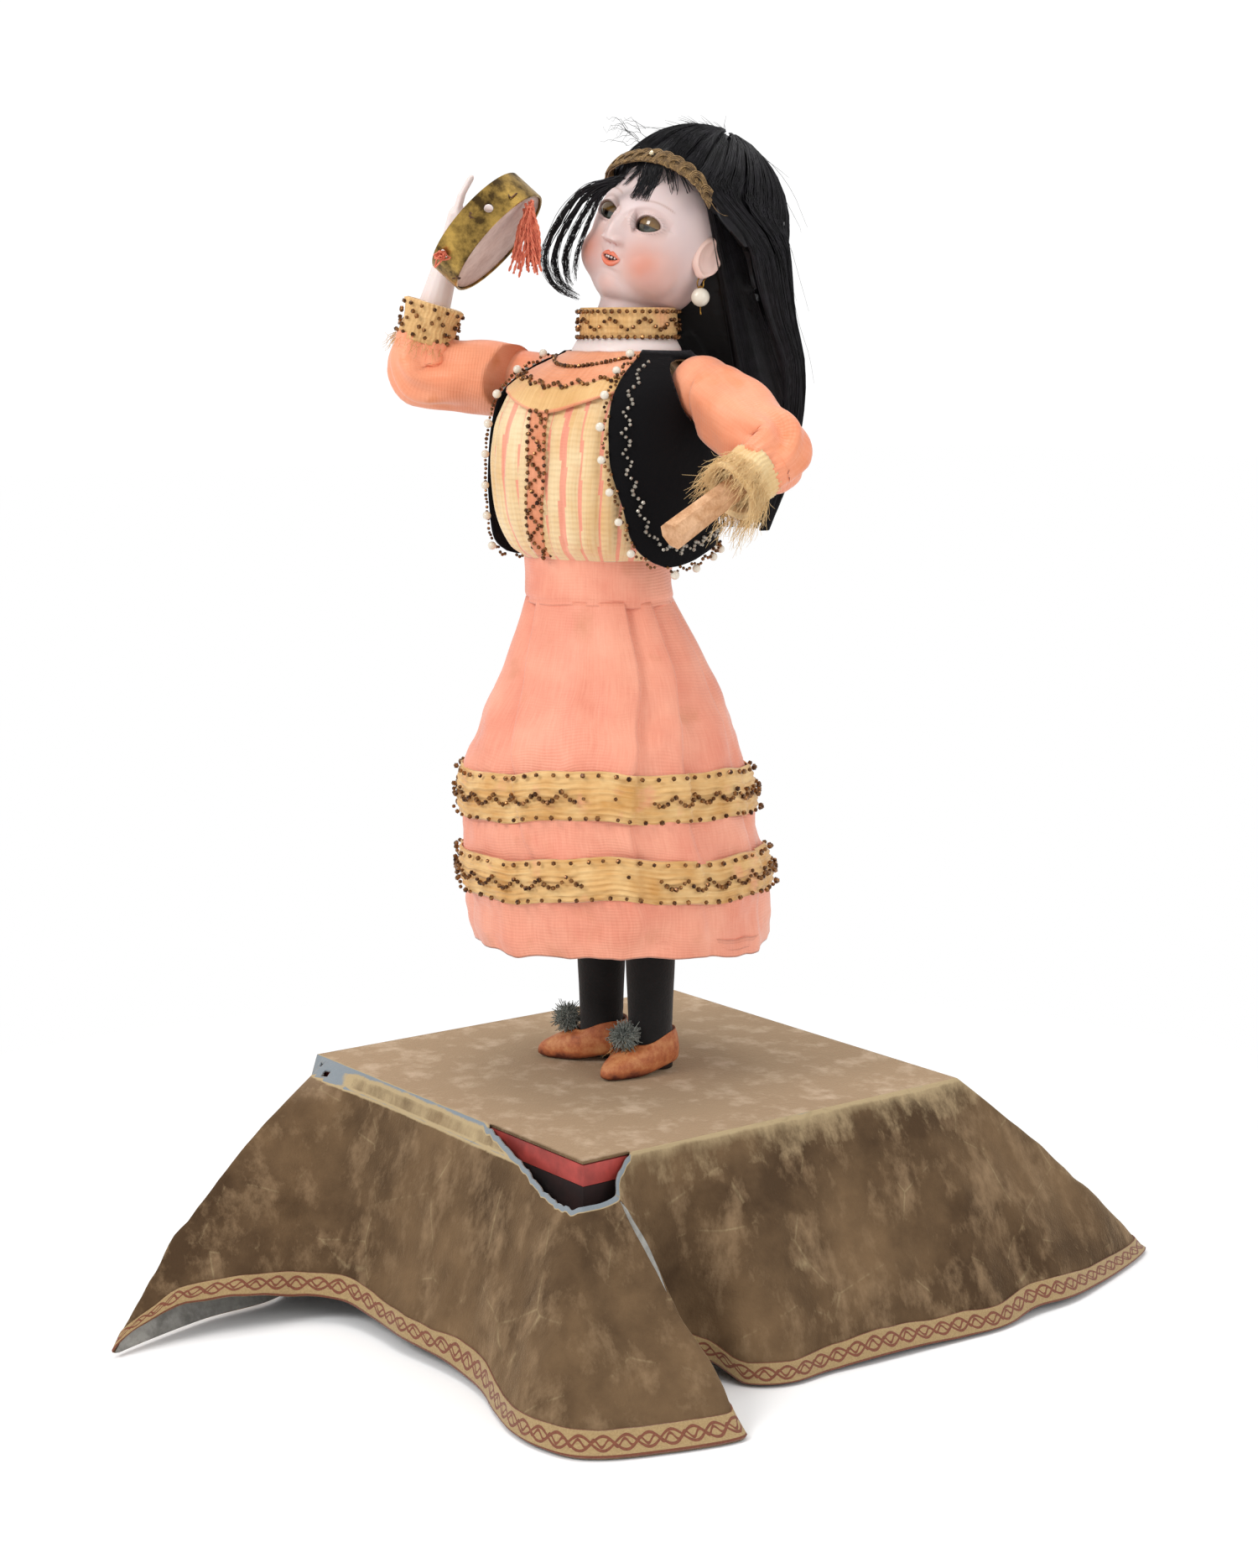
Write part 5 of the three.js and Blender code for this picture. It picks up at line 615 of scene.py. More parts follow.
dyed = add(strands, "GeometryNodeSetMaterial", {0: whole.outputs[0], "Material": source.outputs["Finish"]})
strands.links.new(dyed.outputs[0], result.inputs[0])

beads_tree = bpy.data.node_groups.new("beads", "GeometryNodeTree")
source, result = group_inputs(beads_tree, ("Geometry", "NodeSocketGeometry", None),
                              ("Radius", "NodeSocketFloat", 0.001), ("Detail", "NodeSocketInt", 1),
                              ("Uneven", "NodeSocketFloat", 0.15), ("Seed", "NodeSocketInt", 1),
                              ("Smooth", "NodeSocketBool", False), ("Finish", "NodeSocketMaterial", None))
bead = add(beads_tree, "GeometryNodeMeshIcoSphere",
           {"Radius": source.outputs["Radius"], "Subdivisions": source.outputs["Detail"]})
turned = add(beads_tree, "FunctionNodeRandomValue",
             {0: (0, 0, 0), 1: (6.28, 6.28, 6.28), "Seed": source.outputs["Seed"]}, data_type="FLOAT_VECTOR")
small = add(beads_tree, "ShaderNodeMath", {0: 1.0, 1: source.outputs["Uneven"]}, operation="SUBTRACT")
large = add(beads_tree, "ShaderNodeMath", {0: 1.0, 1: source.outputs["Uneven"]}, operation="ADD")
sized = add(beads_tree, "FunctionNodeRandomValue", {2: small.outputs[0], 3: large.outputs[0],
                                                    "Seed": source.outputs["Seed"]}, data_type="FLOAT")
strung = add(beads_tree, "GeometryNodeInstanceOnPoints",
             {"Points": source.outputs["Geometry"], "Instance": bead.outputs["Mesh"],
              "Rotation": turned.outputs[0], "Scale": sized.outputs[1]})
whole = add(beads_tree, "GeometryNodeRealizeInstances", {0: strung.outputs[0]})
shaded = add(beads_tree, "GeometryNodeSetShadeSmooth",
             {0: whole.outputs[0], "Shade Smooth": source.outputs["Smooth"]})
dyed = add(beads_tree, "GeometryNodeSetMaterial",
           {0: shaded.outputs[0], "Material": source.outputs["Finish"]})
beads_tree.links.new(dyed.outputs[0], result.inputs[0])


def grown(name, tree, points, edges=(), body="base", slot=None, taper=None, **inputs):
    """Runs a node group on points and edges in millimetres and keeps the result as a plain mesh."""
    data = bpy.data.meshes.new(name + "_places")
    data.from_pydata((np.asarray(points, float).reshape(-1, 3) * mm).tolist(), [tuple(e) for e in edges], [])
    if taper is not None:
        thinning = data.attributes.new("taper", "FLOAT", "POINT")
        thinning.data.foreach_set("value", np.asarray(taper, np.float32))
    holder = bpy.data.objects.new(name + "_places", data)
    bpy.context.scene.collection.objects.link(holder)
    modifier = holder.modifiers.new("grown", "NODES")
    modifier.node_group = tree
    for item in tree.interface.items_tree:
        if item.name in inputs and item.in_out == "INPUT":
            modifier[item.identifier] = inputs[item.name]
    mesh = bpy.data.meshes.new_from_object(holder.evaluated_get(bpy.context.evaluated_depsgraph_get()))
    bpy.data.objects.remove(holder)
    mesh.name = name
    made = bpy.data.objects.new(name, mesh)
    bpy.context.scene.collection.objects.link(made)
    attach(made, body)
    return made


def beaded(name, points, radius, seed, finish, slot, body="base", **inputs):
    """Cut beads of a radius in millimetres, one on each point, each turned and sized a little differently."""
    inputs = {"Detail": 1, "Uneven": 0.15, **inputs}
    return grown(name, beads_tree, points, body=body, slot=slot, Radius=radius * mm, Seed=seed, Finish=finish,
                 **inputs)


def threads(name, paths, radius, finish, body="base", slot=None, sides=3, thin_root=1.0, thin_tip=0.35):
    """Threads or hairs along paths of points in millimetres, thinner at the tip."""
    points, edges, taper = [], [], []
    for path in paths:
        start = len(points)
        points += [tuple(p) for p in path]
        edges += [(start + k, start + k + 1) for k in range(len(path) - 1)]
        taper += list(np.linspace(thin_root, thin_tip, len(path)))
    return grown(name, strands, points, edges, body, slot, taper, Radius=radius * mm, Sides=sides,
                 Finish=finish)


# Dusty grey-green wool.
grey_wool = mottled("grey_green_wool", "a4aaa2", "6c736c", 4, 0.95, 0.2, Sheen_Weight=0.3)
# Straw-coloured silk thread with a little shine.
straw_thread = mottled("straw_silk_thread", "e6bd7e", "b98748", 5, 0.7, 0.1)
# Brown-black sewing thread.
dark_thread = mottled("dark_brown_thread", "3a2a20", "18110d", 5, 0.8, 0.1)
pompom_radius = 5.6
for side, ((foot_x, foot_y), turn) in feet.items():
    angle = math.radians(turn)
    middle = Vector((0, -ankle_radius - pompom_radius - 0.6, 0))
    middle.rotate(Matrix.Rotation(angle, 3, "Z"))
    centre = np.array([middle.x + foot_x, middle.y + foot_y, cloth_top + 3.5 + 15])
    rng = np.random.default_rng(5 if side == "left" else 6)
    fibres = []
    for k in range(900):
        way = rng.normal(size=3)
        way /= np.linalg.norm(way)
        bent = rng.normal(size=3) * 0.35
        reach = pompom_radius * rng.uniform(0.85, 1.25)
        fibres.append([centre + way * 1.5, centre + way * reach * 0.6, centre + (way + bent * 0.5) * reach])
    pompom = threads(f"{side}_wool_pompom", fibres, 0.22, grey_wool, slot="wool", thin_tip=0.8)
    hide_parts(f"{side}_pompom")
    loose = []
    for k in range(46):
        a = rng.uniform(0, 2 * math.pi)
        start = centre + np.array([0, 0, -3]) + rng.normal(size=3) * 2
        drop = np.array([rng.normal() * 3, rng.normal() * 3, -rng.uniform(2, 8)])
        loose.append([start, start + drop * 0.5 + rng.normal(size=3), start + drop])
    threads(f"{side}_shoe_threads", loose[:20], 0.16, straw_thread, slot="wool")
    threads(f"{side}_frayed_throat", loose[20:], 0.2, dark_thread, slot="wool")


# SKIRT
# Faded peach silk taffeta set into the waistband in soft pleats, widening to a plain turned hem.
# Taffeta shows fine ribs across and slubs along the thread, with a soft directional sheen.
skirt_share = [
    (0, 0.23, 1, 0.97), (0.19, 0.45, 1.06, 0.97), (0.37, 0.7, 0.97, 0.97), (0.48, 0.78, 0.92, 0.96),
    (0.55, 0.8, 0.85, 0.95), (0.68, 0.78, 0.63, 0.93), (0.8, 0.78, 0.41, 0.9), (0.91, 0.88, 0.18, 0.86),
    (1, 1, 0.01, 0.82),
]
sway = (-5.6, -14.0)
# The hem is hitched up a little where the skirt faces left of the front.
hitch_rise, hitch_turn, hitch_wide = 5.0, -49, 48
skirt_hem, skirt_top, skirt_hem_half, skirt_top_half = 161.5, 318.5, 67.0, 34.0
skirt_folds = [
    # angle at the waist and low down, width, depth at the waist and low down, and how sharp one side is
    (-32, -40, 14, 3.4, 4.0, 9.0), (-8, -15, 13, 3.0, 4.2, 6.0), (-112, -72, 13, 3.4, 3.0, -7.0),
    (-58, -58, 10, 0.6, 3.0, 1.0), (-140, -126, 14, 2.6, 3.6, -5.0), (-170, -162, 14, 2.4, 3.2, 3.0),
    (22, 20, 13, 2.6, 3.8, 5.0), (58, 58, 13, 2.4, 3.4, 2.0), (96, 98, 14, 2.6, 3.2, -4.0),
    (132, 134, 12, 2.4, 3.2, 2.0), (160, 166, 10, 2.2, 3.0, -3.0),
]


def woven(name, light, dark, thread, slub, roughness, stain=None, sheen=0.3, relief=0.12, patch_size=26.0):
    """Cloth seen by its own UV: ribs at the thread spacing, slubs along the thread and broad fading."""
    made, tree, shader = material(name, Roughness=roughness, Sheen_Weight=sheen, Sheen_Roughness=0.4,
                                  Specular_IOR_Level=0.35)
    uv = add(tree, "ShaderNodeUVMap", uv_map="cloth").outputs[0]
    where = add(tree, "ShaderNodeTexCoord").outputs["Object"]
    rib = add(tree, "ShaderNodeTexWave", {"Vector": uv, "Scale": 0.5 / (thread * mm) / math.pi,
                                          "Distortion": 1.2, "Detail": 1.0, "Detail Scale": 2.0},
              bands_direction="Y")
    long_way = add(tree, "ShaderNodeMapping",
                   {"Vector": uv, "Scale": (1 / (slub[0] * mm), 1 / (slub[1] * mm), 1.0)})
    slubs = add(tree, "ShaderNodeTexNoise", {"Vector": long_way.outputs[0], "Scale": 1.0, "Detail": 4.0,
                                             "Roughness": 0.6})
    fading = add(tree, "ShaderNodeTexNoise", {"Vector": where, "Scale": 1 / (patch_size * mm), "Detail": 4.0})
    tone = add(tree, "ShaderNodeMath", {0: slubs.outputs["Fac"], 1: 0.6, 2: fading.outputs["Fac"]},
               operation="MULTIPLY_ADD")
    ramp = add(tree, "ShaderNodeMapRange", {"Value": tone.outputs[0], "From Min": 0.55, "From Max": 1.05})
    mix = add(tree, "ShaderNodeMix", {"Factor": ramp.outputs[0], 6: linear(dark), 7: linear(light)},
              data_type="RGBA")
    colour = mix.outputs[2]
    if stain:
        spots = add(tree, "ShaderNodeTexNoise", {"Vector": where, "Scale": 1 / (17 * mm), "Detail": 6.0,
                                                 "W": 3.0}, noise_dimensions="4D")
        much = add(tree, "ShaderNodeMapRange", {"Value": spots.outputs["Fac"], "From Min": 0.58,
                                                "From Max": 0.75, "To Max": stain[1]})
        colour = add(tree, "ShaderNodeMix", {"Factor": much.outputs[0], 6: colour, 7: linear(stain[0])},
                     data_type="RGBA").outputs[2]
    tree.links.new(colour, shader.inputs["Base Color"])
    ridge = add(tree, "ShaderNodeMath", {0: slubs.outputs["Fac"], 1: 1.4, 2: rib.outputs["Fac"]},
                operation="MULTIPLY_ADD")
    bump = add(tree, "ShaderNodeBump", {"Height": ridge.outputs[0], "Strength": 0.6, "Distance": relief * mm})
    tree.links.new(bump.outputs[0], shader.inputs["Normal"])
    return made


# Faded peach silk with fine ribs and brownish stains.
peach_taffeta = woven("peach_silk_taffeta", "f4a98d", "e58c72", 0.7, (0.8, 14.0), 0.5, stain=("c9825a", 0.45))
# Straw ribbon, open and slubbed, with peach showing through it.
straw_gauze = woven("gathered_straw_ribbon", "ecc287", "cf9a58", 1.3, (1.1, 30.0), 0.6,
                    stain=("ef9f7c", 0.7), relief=0.35)


def skirt_point(turns, height, lift=0.0):
    """Points of the skirt's outside at the given angles and heights, lifted outwards by so much."""
    share = (height - skirt_hem) / (skirt_top - skirt_hem)
    k, wide, deep = table_at(skirt_share, np.atleast_1d(share))[0]
    half = skirt_top_half + (skirt_hem_half - skirt_top_half) * wide
    fold = np.zeros_like(turns)
    for high_angle, low_angle, width, high_deep, low_deep, sharp in skirt_folds:
        off = (np.degrees(turns) - high_angle - (low_angle - high_angle) * (1 - share) + 180) % 360 - 180
        off = off + 1.5 * math.sin(share * 7 + high_angle)
        off = off if sharp > 0 else -off
        width_here = width * (0.75 + 0.5 * (1 - share))
        left = np.exp(-(np.minimum(off, 0) / (width_here / abs(sharp))) ** 2)
        right = np.exp(-(np.maximum(off, 0) / width_here) ** 2)
        fold -= ((low_deep + (high_deep - low_deep) * share) * np.where(off < 0, left, right)
                 * (0.35 + 0.65 * smooth(share, 0.02, 0.5)))
    x, y = oval(half + 1.2, (half + 1.2) * deep, (half + 1.2) * deep, 2.1, turns)
    far = np.hypot(x, y)
    x, y = x * (1 + (fold + lift) / far), y * (1 + (fold + lift) / far)
    from_front = (np.degrees(turns) - hitch_turn + 180) % 360 - 180
    hitched = hitch_rise * np.exp(-(from_front / hitch_wide) ** 2) * (1 - smooth(share, 0.55, 0.95))
    return np.stack([x + k * sway[0], y + k * sway[1], height + hitched], -1)


turns = full_turn(440)
heights = np.linspace(skirt_hem, skirt_top, 90)
rows = np.array([skirt_point(turns, z) for z in heights])
low_share = smooth(heights, skirt_top - 4, skirt_top - 70)
rows = rumpled(rows, np.repeat(low_share[:, None] * 2.6, len(turns), 1), 19.0, 1.0)
rows = rumpled(rows, np.repeat(low_share[:, None] * 0.5, len(turns), 1), 7.0, 2.0)
turned_in = rows[0] * np.array([0.985, 0.985, 1]) + np.array([0, 0, 7.0])
low_edge = rows[0] * np.array([0.994, 0.994, 1]) - np.array([0, 0, 1.0])
rows = np.concatenate([[turned_in, low_edge], rows])
skirt = thickened(grid("skirt_silk", placed(rows, doll_place), True, [peach_taffeta]), 0.7)
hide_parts("skirt")
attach(skirt, "base")


# SKIRT BANDS
# Two bands of gathered straw ribbon round the skirt, each edged with rows of bronze cut beads and carrying
# a scalloped string of them along its middle. Some beads of the strings are lost at the front.

# Cut glass with a bronze skin, dark with warm glints.
bronze_bead, tree, shader = material("bronze_cut_bead", Roughness=0.22, Metallic=0.75,
                                     Base_Color=linear("6b452c"))
colour_drift = add(tree, "ShaderNodeTexNoise", {"Vector": add(tree, "ShaderNodeTexCoord").outputs["Object"],
                                                "Scale": 1 / (2.4 * mm)})
patina = add(tree, "ShaderNodeMapRange", {"Value": colour_drift.outputs["Fac"], "From Min": 0.35,
                                          "From Max": 0.65})
bronze = add(tree, "ShaderNodeMix", {"Factor": patina.outputs[0], 6: linear("3c2419"), 7: linear("96683c")},
             data_type="RGBA")
tree.links.new(bronze.outputs[2], shader.inputs["Base Color"])
# Straw ribbon crimped across, its ribs running round the skirt, with peach stains.
crimped_straw = woven("crimped_straw_ribbon", "efc88c", "cf9752", 1.3, (45.0, 1.3), 0.6,
                      stain=("ef9a80", 0.9), relief=0.4, patch_size=12.0)
bead_radius = 1.15
band_lift = 2.6
ribbon_heights = ((186.0, 205.5), (221.5, 243.0))
for band, (low, high) in enumerate(ribbon_heights):
    heights = np.linspace(low, high, 33)
    rows = []
    for r, z in enumerate(heights):
        across = (r / 32 - 0.5) * 2
        ruffle = (0.4 * np.sin(across * 22 + 1.6 * np.sin(turns * 9 + across) + 0.8 * np.sin(turns * 31))
                  - 1.2 * across ** 4)
        wave = 1.1 * np.sin(turns * 5 + band) + 0.5 * np.sin(turns * 13)
        rows.append(skirt_point(turns, z, band_lift + ruffle) + np.stack([0 * turns, 0 * turns, wave], -1))
    ribbon = thickened(grid(f"skirt_ribbon_{band + 1}", placed(np.array(rows), doll_place), True,
                            [crimped_straw]), 0.5)
    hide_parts("skirt")
    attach(ribbon, "base")
    places = []
    rng = np.random.default_rng(20 + band)
    for z, spacing in ((low + 1.5, 6.6), (high - 1.5, 6.6)):
        count = int(2 * math.pi * 66 / spacing)
        for a in full_turn(count):
            a = a + rng.normal() * 0.01
            places.append(skirt_point(np.array([a]), z, band_lift + 1.4)[0]
                          + (0, 0, 1.1 * math.sin(5 * a + band) + 0.5 * math.sin(13 * a)))
    count = int(2 * math.pi * 66 / 1.9)
    scallops = 34
    for a in full_turn(count):
        bare = -1.05 < (a + math.pi) % (2 * math.pi) - math.pi < -0.55
        if bare and rng.random() < 0.93:
            continue
        z = (low + high) / 2 + 2.2 - 4.6 * abs(math.sin(scallops * a / 2 + 0.7))
        places.append(skirt_point(np.array([a]), z, band_lift + 1.6)[0]
                      + (0, 0, 1.1 * math.sin(5 * a + band)))
    beaded(f"skirt_beads_{band + 1}", placed(np.array(places), doll_place), bead_radius, 3 + band,
           bronze_bead, "straw_ribbon", Uneven=0.18)


# WAISTBAND
# A straight strip of the same silk, folded double and sewn round the waist over the skirt's raw edge.
waist_half, waist_deep, waist_low, waist_tall = 36.2, 29.8, 316.5, 21.5
turns = full_turn(200)
rows = []
for share in np.linspace(0, 1, 24):
    x, y = oval(waist_half, waist_deep, waist_deep, 2, turns)
    soft = (0.35 * np.sin(turns * 3 + share * 5) - 0.7 * np.exp(-((share - 0.08) / 0.05) ** 2)
            - 0.8 * (1 - math.cos(2 * math.pi * share)) / 2)
    x, y = x * (1 + soft / 34), y * (1 + soft / 34)
    rows.append(np.stack([x + sway[0], y + sway[1], np.full_like(x, waist_low + waist_tall * share)
                          + 0.5 * np.sin(turns * 4)], -1))
rows = rumpled(np.array(rows), 0.35, 9.0, 4.0)
waistband = thickened(grid("waistband_silk", placed(rows, doll_place), True, [peach_taffeta]), 1.0)
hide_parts("waistband")
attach(waistband, "base")


# TORSO AND SHOULDER PLATE
# Moulded paper shell of the body; at the neck opening its bisque shoulder plate shows as a pale strip.

# Buff pasted paper, matt.
moulded_paper = mottled("moulded_paper", "d9c6a8", "b79e7c", 20, 0.85, 0.2)
dress(["torso"], moulded_paper)
# Unpainted pink-white bisque, smooth and a little translucent.
bare_bisque, tree, shader = material("pale_bisque", Roughness=0.42, Base_Color=linear("ead9d4"),
                                     Subsurface_Weight=0.12, Subsurface_Radius=(0.004, 0.0015, 0.001),
                                     Subsurface_Scale=0.4)
turns = full_turn(120)
rows = []
for z, half, front, back in ((423.5, 25.5, 25.0, 21.5), (425.5, 25.5, 24.5, 21.3),
                             (428.5, 25.5, 22.5, 21.0), (433.0, 22.0, 21.2, 20.5)):
    x, y = oval(half, front, back, 2.1, turns)
    rows.append(np.stack([x, y - 0.8, np.full_like(x, z)], -1))
plate = thickened(grid("shoulder_plate", placed(np.array(rows), doll_place), True, [bare_bisque]), 1.0)
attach(plate, "base")


# BLOUSE
# Ribbon gauze in upright pleats below a peach yoke; a narrow peach placket with beads covers the front seam.
blouse_share = [
    (0, 0.95, 0.76, 0.6, 0.92, 2.2), (0.07, 0.88, 0.82, 0.75, 0.95, 2.6), (0.2, 0.78, 0.9, 0.87, 0.97, 3),
    (0.42, 0.6, 0.98, 0.98, 1, 3), (0.64, 0.42, 1, 1, 1, 3), (0.81, 0.27, 0.98, 0.92, 0.94, 2.8),
    (0.92, 0.13, 0.87, 0.71, 0.82, 2.4), (1, 0, 0.59, 0.5, 0.7, 2),
]
blouse_low, blouse_high, blouse_half, blouse_front, blouse_back = 336.0, 427.0, 46.0, 48.0, 31.0


def blouse_point(turns, height, lift=0.0):
    """Points of the blouse's outside at the given angles and height, lifted outwards by so much."""
    share = (height - blouse_low) / (blouse_high - blouse_low)
    k, half, front, back, power = table_at(blouse_share, np.atleast_1d(share))[0]
    x, y = oval(half * blouse_half, front * blouse_front, back * blouse_back, power, turns)
    far = np.hypot(x, y)
    grow = 1 + lift / far
    return np.stack([x * grow + k * sway[0], y * grow + k * sway[1], np.full_like(x, height)], -1)


turns = full_turn(320)
heights = np.linspace(blouse_low, blouse_high, 70)
rows, valleys = [], []
for z in heights:
    share = (z - blouse_low) / (blouse_high - blouse_low)
    pleat = np.abs(np.sin(turns * 17 + 0.35 * np.sin(share * 6 + turns * 3))) ** 0.6
    rows.append(blouse_point(turns, z,
                             0.2 + 1.7 * pleat * smooth(share, 0, 0.06) * (1 - smooth(share, 0.62, 0.78))))
    valleys.append(pleat < np.where(np.abs(np.sin(turns * 4.5 + 1.1)) > 0.93, 0.75, 0.42))
rows = rumpled(np.array(rows), 0.5, 12.0, 5.0)
# Pale straw ribbon with marked slubs that run up the pleats.
pale_ribbon = woven("pleated_straw_ribbon", "f3dbaf", "dfb379", 1.3, (1.2, 40.0), 0.55,
                    stain=("e9ab80", 0.5), relief=0.45)
blouse = grid("blouse_ribbon", placed(rows, doll_place), True, [pale_ribbon, peach_taffeta])
blouse.data.polygons.foreach_set("material_index", np.array(valleys[:-1]).astype(np.int32).ravel())
thickened(blouse, 0.7)
armhole_radius = 17.4
arm_pivots = {"right": np.array([-46.0, -4.0, 412.0]), "left": np.array([46.0, -4.0, 412.0])}


def pierced(piece, centres, radius):
    """Cuts round openings into a piece and keeps the result as its mesh."""
    for centre in centres:
        bpy.ops.mesh.primitive_uv_sphere_add(segments=48, ring_count=24, radius=radius * mm,
                                             location=placed(centre, doll_place) * mm)
        cutter = bpy.context.object
        cut = piece.modifiers.new("opening", "BOOLEAN")
        cut.object = cutter
        cut.operation = "DIFFERENCE"
        cut.solver = "EXACT"
        mesh = bpy.data.meshes.new_from_object(piece.evaluated_get(bpy.context.evaluated_depsgraph_get()))
        piece.modifiers.clear()
        piece.data = mesh
        bpy.data.objects.remove(cutter)
    return piece


pierced(blouse, arm_pivots.values(), armhole_radius)
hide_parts("blouse")
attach(blouse, "base")

# Deeper orange-peach silk with rusty stains.
yoke_silk = woven("yoke_peach_silk", "f3ab84", "d98558", 0.8, (0.9, 12.0), 0.5, stain=("c9742e", 0.6))
yoke_turns = np.radians(np.linspace(-205, 25, 180))
rows = []
for share in np.linspace(0, 1, 20):
    off = np.abs((np.degrees(yoke_turns) + 90)) / 115
    low_edge = 401.0 + 10.0 * smooth(off, 0, 0.42)
    z = low_edge + (427.5 - low_edge) * share
    lifts = np.where(np.abs(np.degrees(yoke_turns) + 92) < 47, 2.3 - 0.6 * share
                     + 0.5 * math.exp(-((share - 0.04) / 0.05) ** 2), 0.9)
    rows.append(np.array([blouse_point(np.array([a]), h, lift)[0]
                          for a, h, lift in zip(yoke_turns, z, lifts)]))
yoke = grid("blouse_yoke", placed(rumpled(np.array(rows), 0.35, 8.0, 6.0), doll_place), False,
            [yoke_silk, straw_gauze])
yoke_bands = [0, 1, 1, 1, 1, 1, 1, 1, 0, 0, 0, 0, 0, 0, 0, 0, 0, 0, 0]
yoke.data.polygons.foreach_set("material_index", np.repeat(yoke_bands, len(yoke_turns) - 1).astype(np.int32))
thickened(yoke, 0.6)
pierced(yoke, arm_pivots.values(), armhole_radius)
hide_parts("blouse")
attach(yoke, "base")

placket_half = 4.9
placket_rows = []
for z in np.linspace(337.5, 402.0, 40):
    middle = math.radians(-90 + np.interp(z, (340, 375, 402), (-6.0, 0.5, -3.0)))
    turns_here = middle + np.linspace(-placket_half, placket_half, 9) / blouse_front
    placket_rows.append(blouse_point(turns_here, z, 2.2))
# The same silk, darker from wear.
placket_silk = woven("placket_silk", "f0a37c", "d07a50", 0.7, (0.8, 10.0), 0.55, stain=("b5622c", 0.5))
placket = thickened(grid("blouse_placket", placed(np.array(placket_rows), doll_place), False,
                         [placket_silk]), 0.6)
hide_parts("blouse")
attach(placket, "base")

places = []
for index, row in enumerate(placket_rows):
    line = np.array(row)
    if index % 2 == 0:
        places += [line[0] * 1.004, line[-1] * 1.004]
    places.append(line[4 + int(round(2.6 * math.sin(index * 0.9)))]
                  + (line[4] - np.array([0, 0, line[4][2]])) * 0.012)
for height, spacing, wave in ((425.5, 0.05, 0.0), (417.5, 0.042, 2.8)):
    for a in np.arange(math.radians(-139), math.radians(-53), spacing):
        off = abs(math.degrees(a) + 90) / 115
        z = height - (1 - float(smooth(off, 0, 0.42))) * 4.5 + wave * (abs((a * 9) % 2 - 1) - 0.5)
        places.append(blouse_point(np.array([a]), z, 3.0)[0])
places = [p for p in places if min(np.linalg.norm(p - c) for c in arm_pivots.values()) > 17]
beaded("blouse_beads", placed(np.array(places), doll_place), 1.05, 8, bronze_bead, "straw_ribbon")


# COLLAR
# A standing band of straw ribbon round the neck, with two straight rows of bronze beads and a waved one
# between them.
collar_low, collar_tall, collar_radius = 431.8, 14.6, 21.2
rows = []
turns = full_turn(240)
for share in np.linspace(0, 1, 16):
    ruffle = 0.3 * np.sin(turns * 60) * (0.4 + abs(share - 0.5))
    x, y = oval(collar_radius, collar_radius, collar_radius, 2, turns)
    grow = 1 + (ruffle + 0.6 * math.sin(math.pi * share)) / 21
    rows.append(np.stack([x * grow, y * grow, np.full_like(x, collar_low + collar_tall * share)], -1))
collar = thickened(grid("collar_ribbon", placed(np.array(rows), doll_place), True, [straw_gauze]), 1.2)
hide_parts("collar")
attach(collar, "base")
places = []
for share, wave, spacing in ((0.12, 0.0, 0.15), (0.5, 2.3, 0.115), (0.88, 0.0, 0.15)):
    for a in np.arange(0, 2 * math.pi, spacing):
        z = collar_low + collar_tall * share + wave * math.sin(a * 9)
        places.append((22.9 * math.cos(a), 22.9 * math.sin(a), z))
beaded("collar_beads", placed(np.array(places), doll_place), 1.1, 9, bronze_bead, "straw_ribbon")


# VEST
# A sleeveless bolero of black silk velvet, open in front, its edge set with a zigzag of grey steel beads
# and a looped edging of small beads with a pearl at every second loop.
vest_share = [
    # height share, right and left edge angles in degrees from the front, lift over the blouse
    (0.0, -80, 70, 4.6), (0.04, -69, 60, 4.6), (0.12, -60, 53, 4.6), (0.32, -55, 47, 4.6),
    (0.48, -54, 42, 4.4), (0.65, -53, 39, 4.2), (0.8, -51, 37.5, 3.8), (0.92, -50, 38.5, 3.4),
    (1.0, -60, 50, 2.8),
]
vest_low, vest_high = 335.0, 428.0
vest_round, vest_tall = 240.0, vest_high - vest_low


def vest_point(share, across, lift=0.0):
    """A point of the vest's outside; across runs from its right front edge round the back to its left."""
    right, left, off = table_at(vest_share, np.atleast_1d(share))[0]
    z = vest_low + vest_tall * share
    begin, end = math.radians(-90 + left), math.radians(270 + right)
    turn = begin + (end - begin) * (1 - across)
    p = blouse_point(np.atleast_1d(turn), max(z, 374.0), off + lift)[0]
    behind = abs((math.degrees(turn) + 270) % 360 - 180)
    return np.array([p[0], p[1], z + 9.0 * float(smooth(behind, 70, 130)) * (1 - share) ** 2])


# Dense black pile that only shines grey at its turning edges.
black_silk_velvet, tree, shader = material("black_silk_velvet", Base_Color=linear("0d0c0e"), Roughness=0.95,
                                           Sheen_Weight=0.5, Sheen_Roughness=0.3,
                                           Sheen_Tint=linear("77747a"), Specular_IOR_Level=0.15)
nap = add(tree, "ShaderNodeTexNoise", {"Vector": add(tree, "ShaderNodeTexCoord").outputs["Object"],
                                       "Scale": 1 / (3 * mm), "Detail": 6.0})
bump = add(tree, "ShaderNodeBump", {"Height": nap.outputs["Fac"], "Strength": 0.8, "Distance": 0.5 * mm})
tree.links.new(bump.outputs[0], shader.inputs["Normal"])
rows = np.array([[vest_point(share, across) for across in np.linspace(1, 0, 170)]
                 for share in np.linspace(0, 1, 46)])
rows = rumpled(rows, 0.6, 14.0, 7.0)
vest = thickened(grid("vest_velvet", placed(rows, doll_place), False, [black_silk_velvet]), 1.6)
pierced(vest, arm_pivots.values(), armhole_radius)
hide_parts("vest")
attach(vest, "base")

# Small dull grey metal beads.
steel_bead, tree, shader = material("grey_steel_bead", Base_Color=linear("a39c91"), Roughness=0.35,
                                    Metallic=0.7)
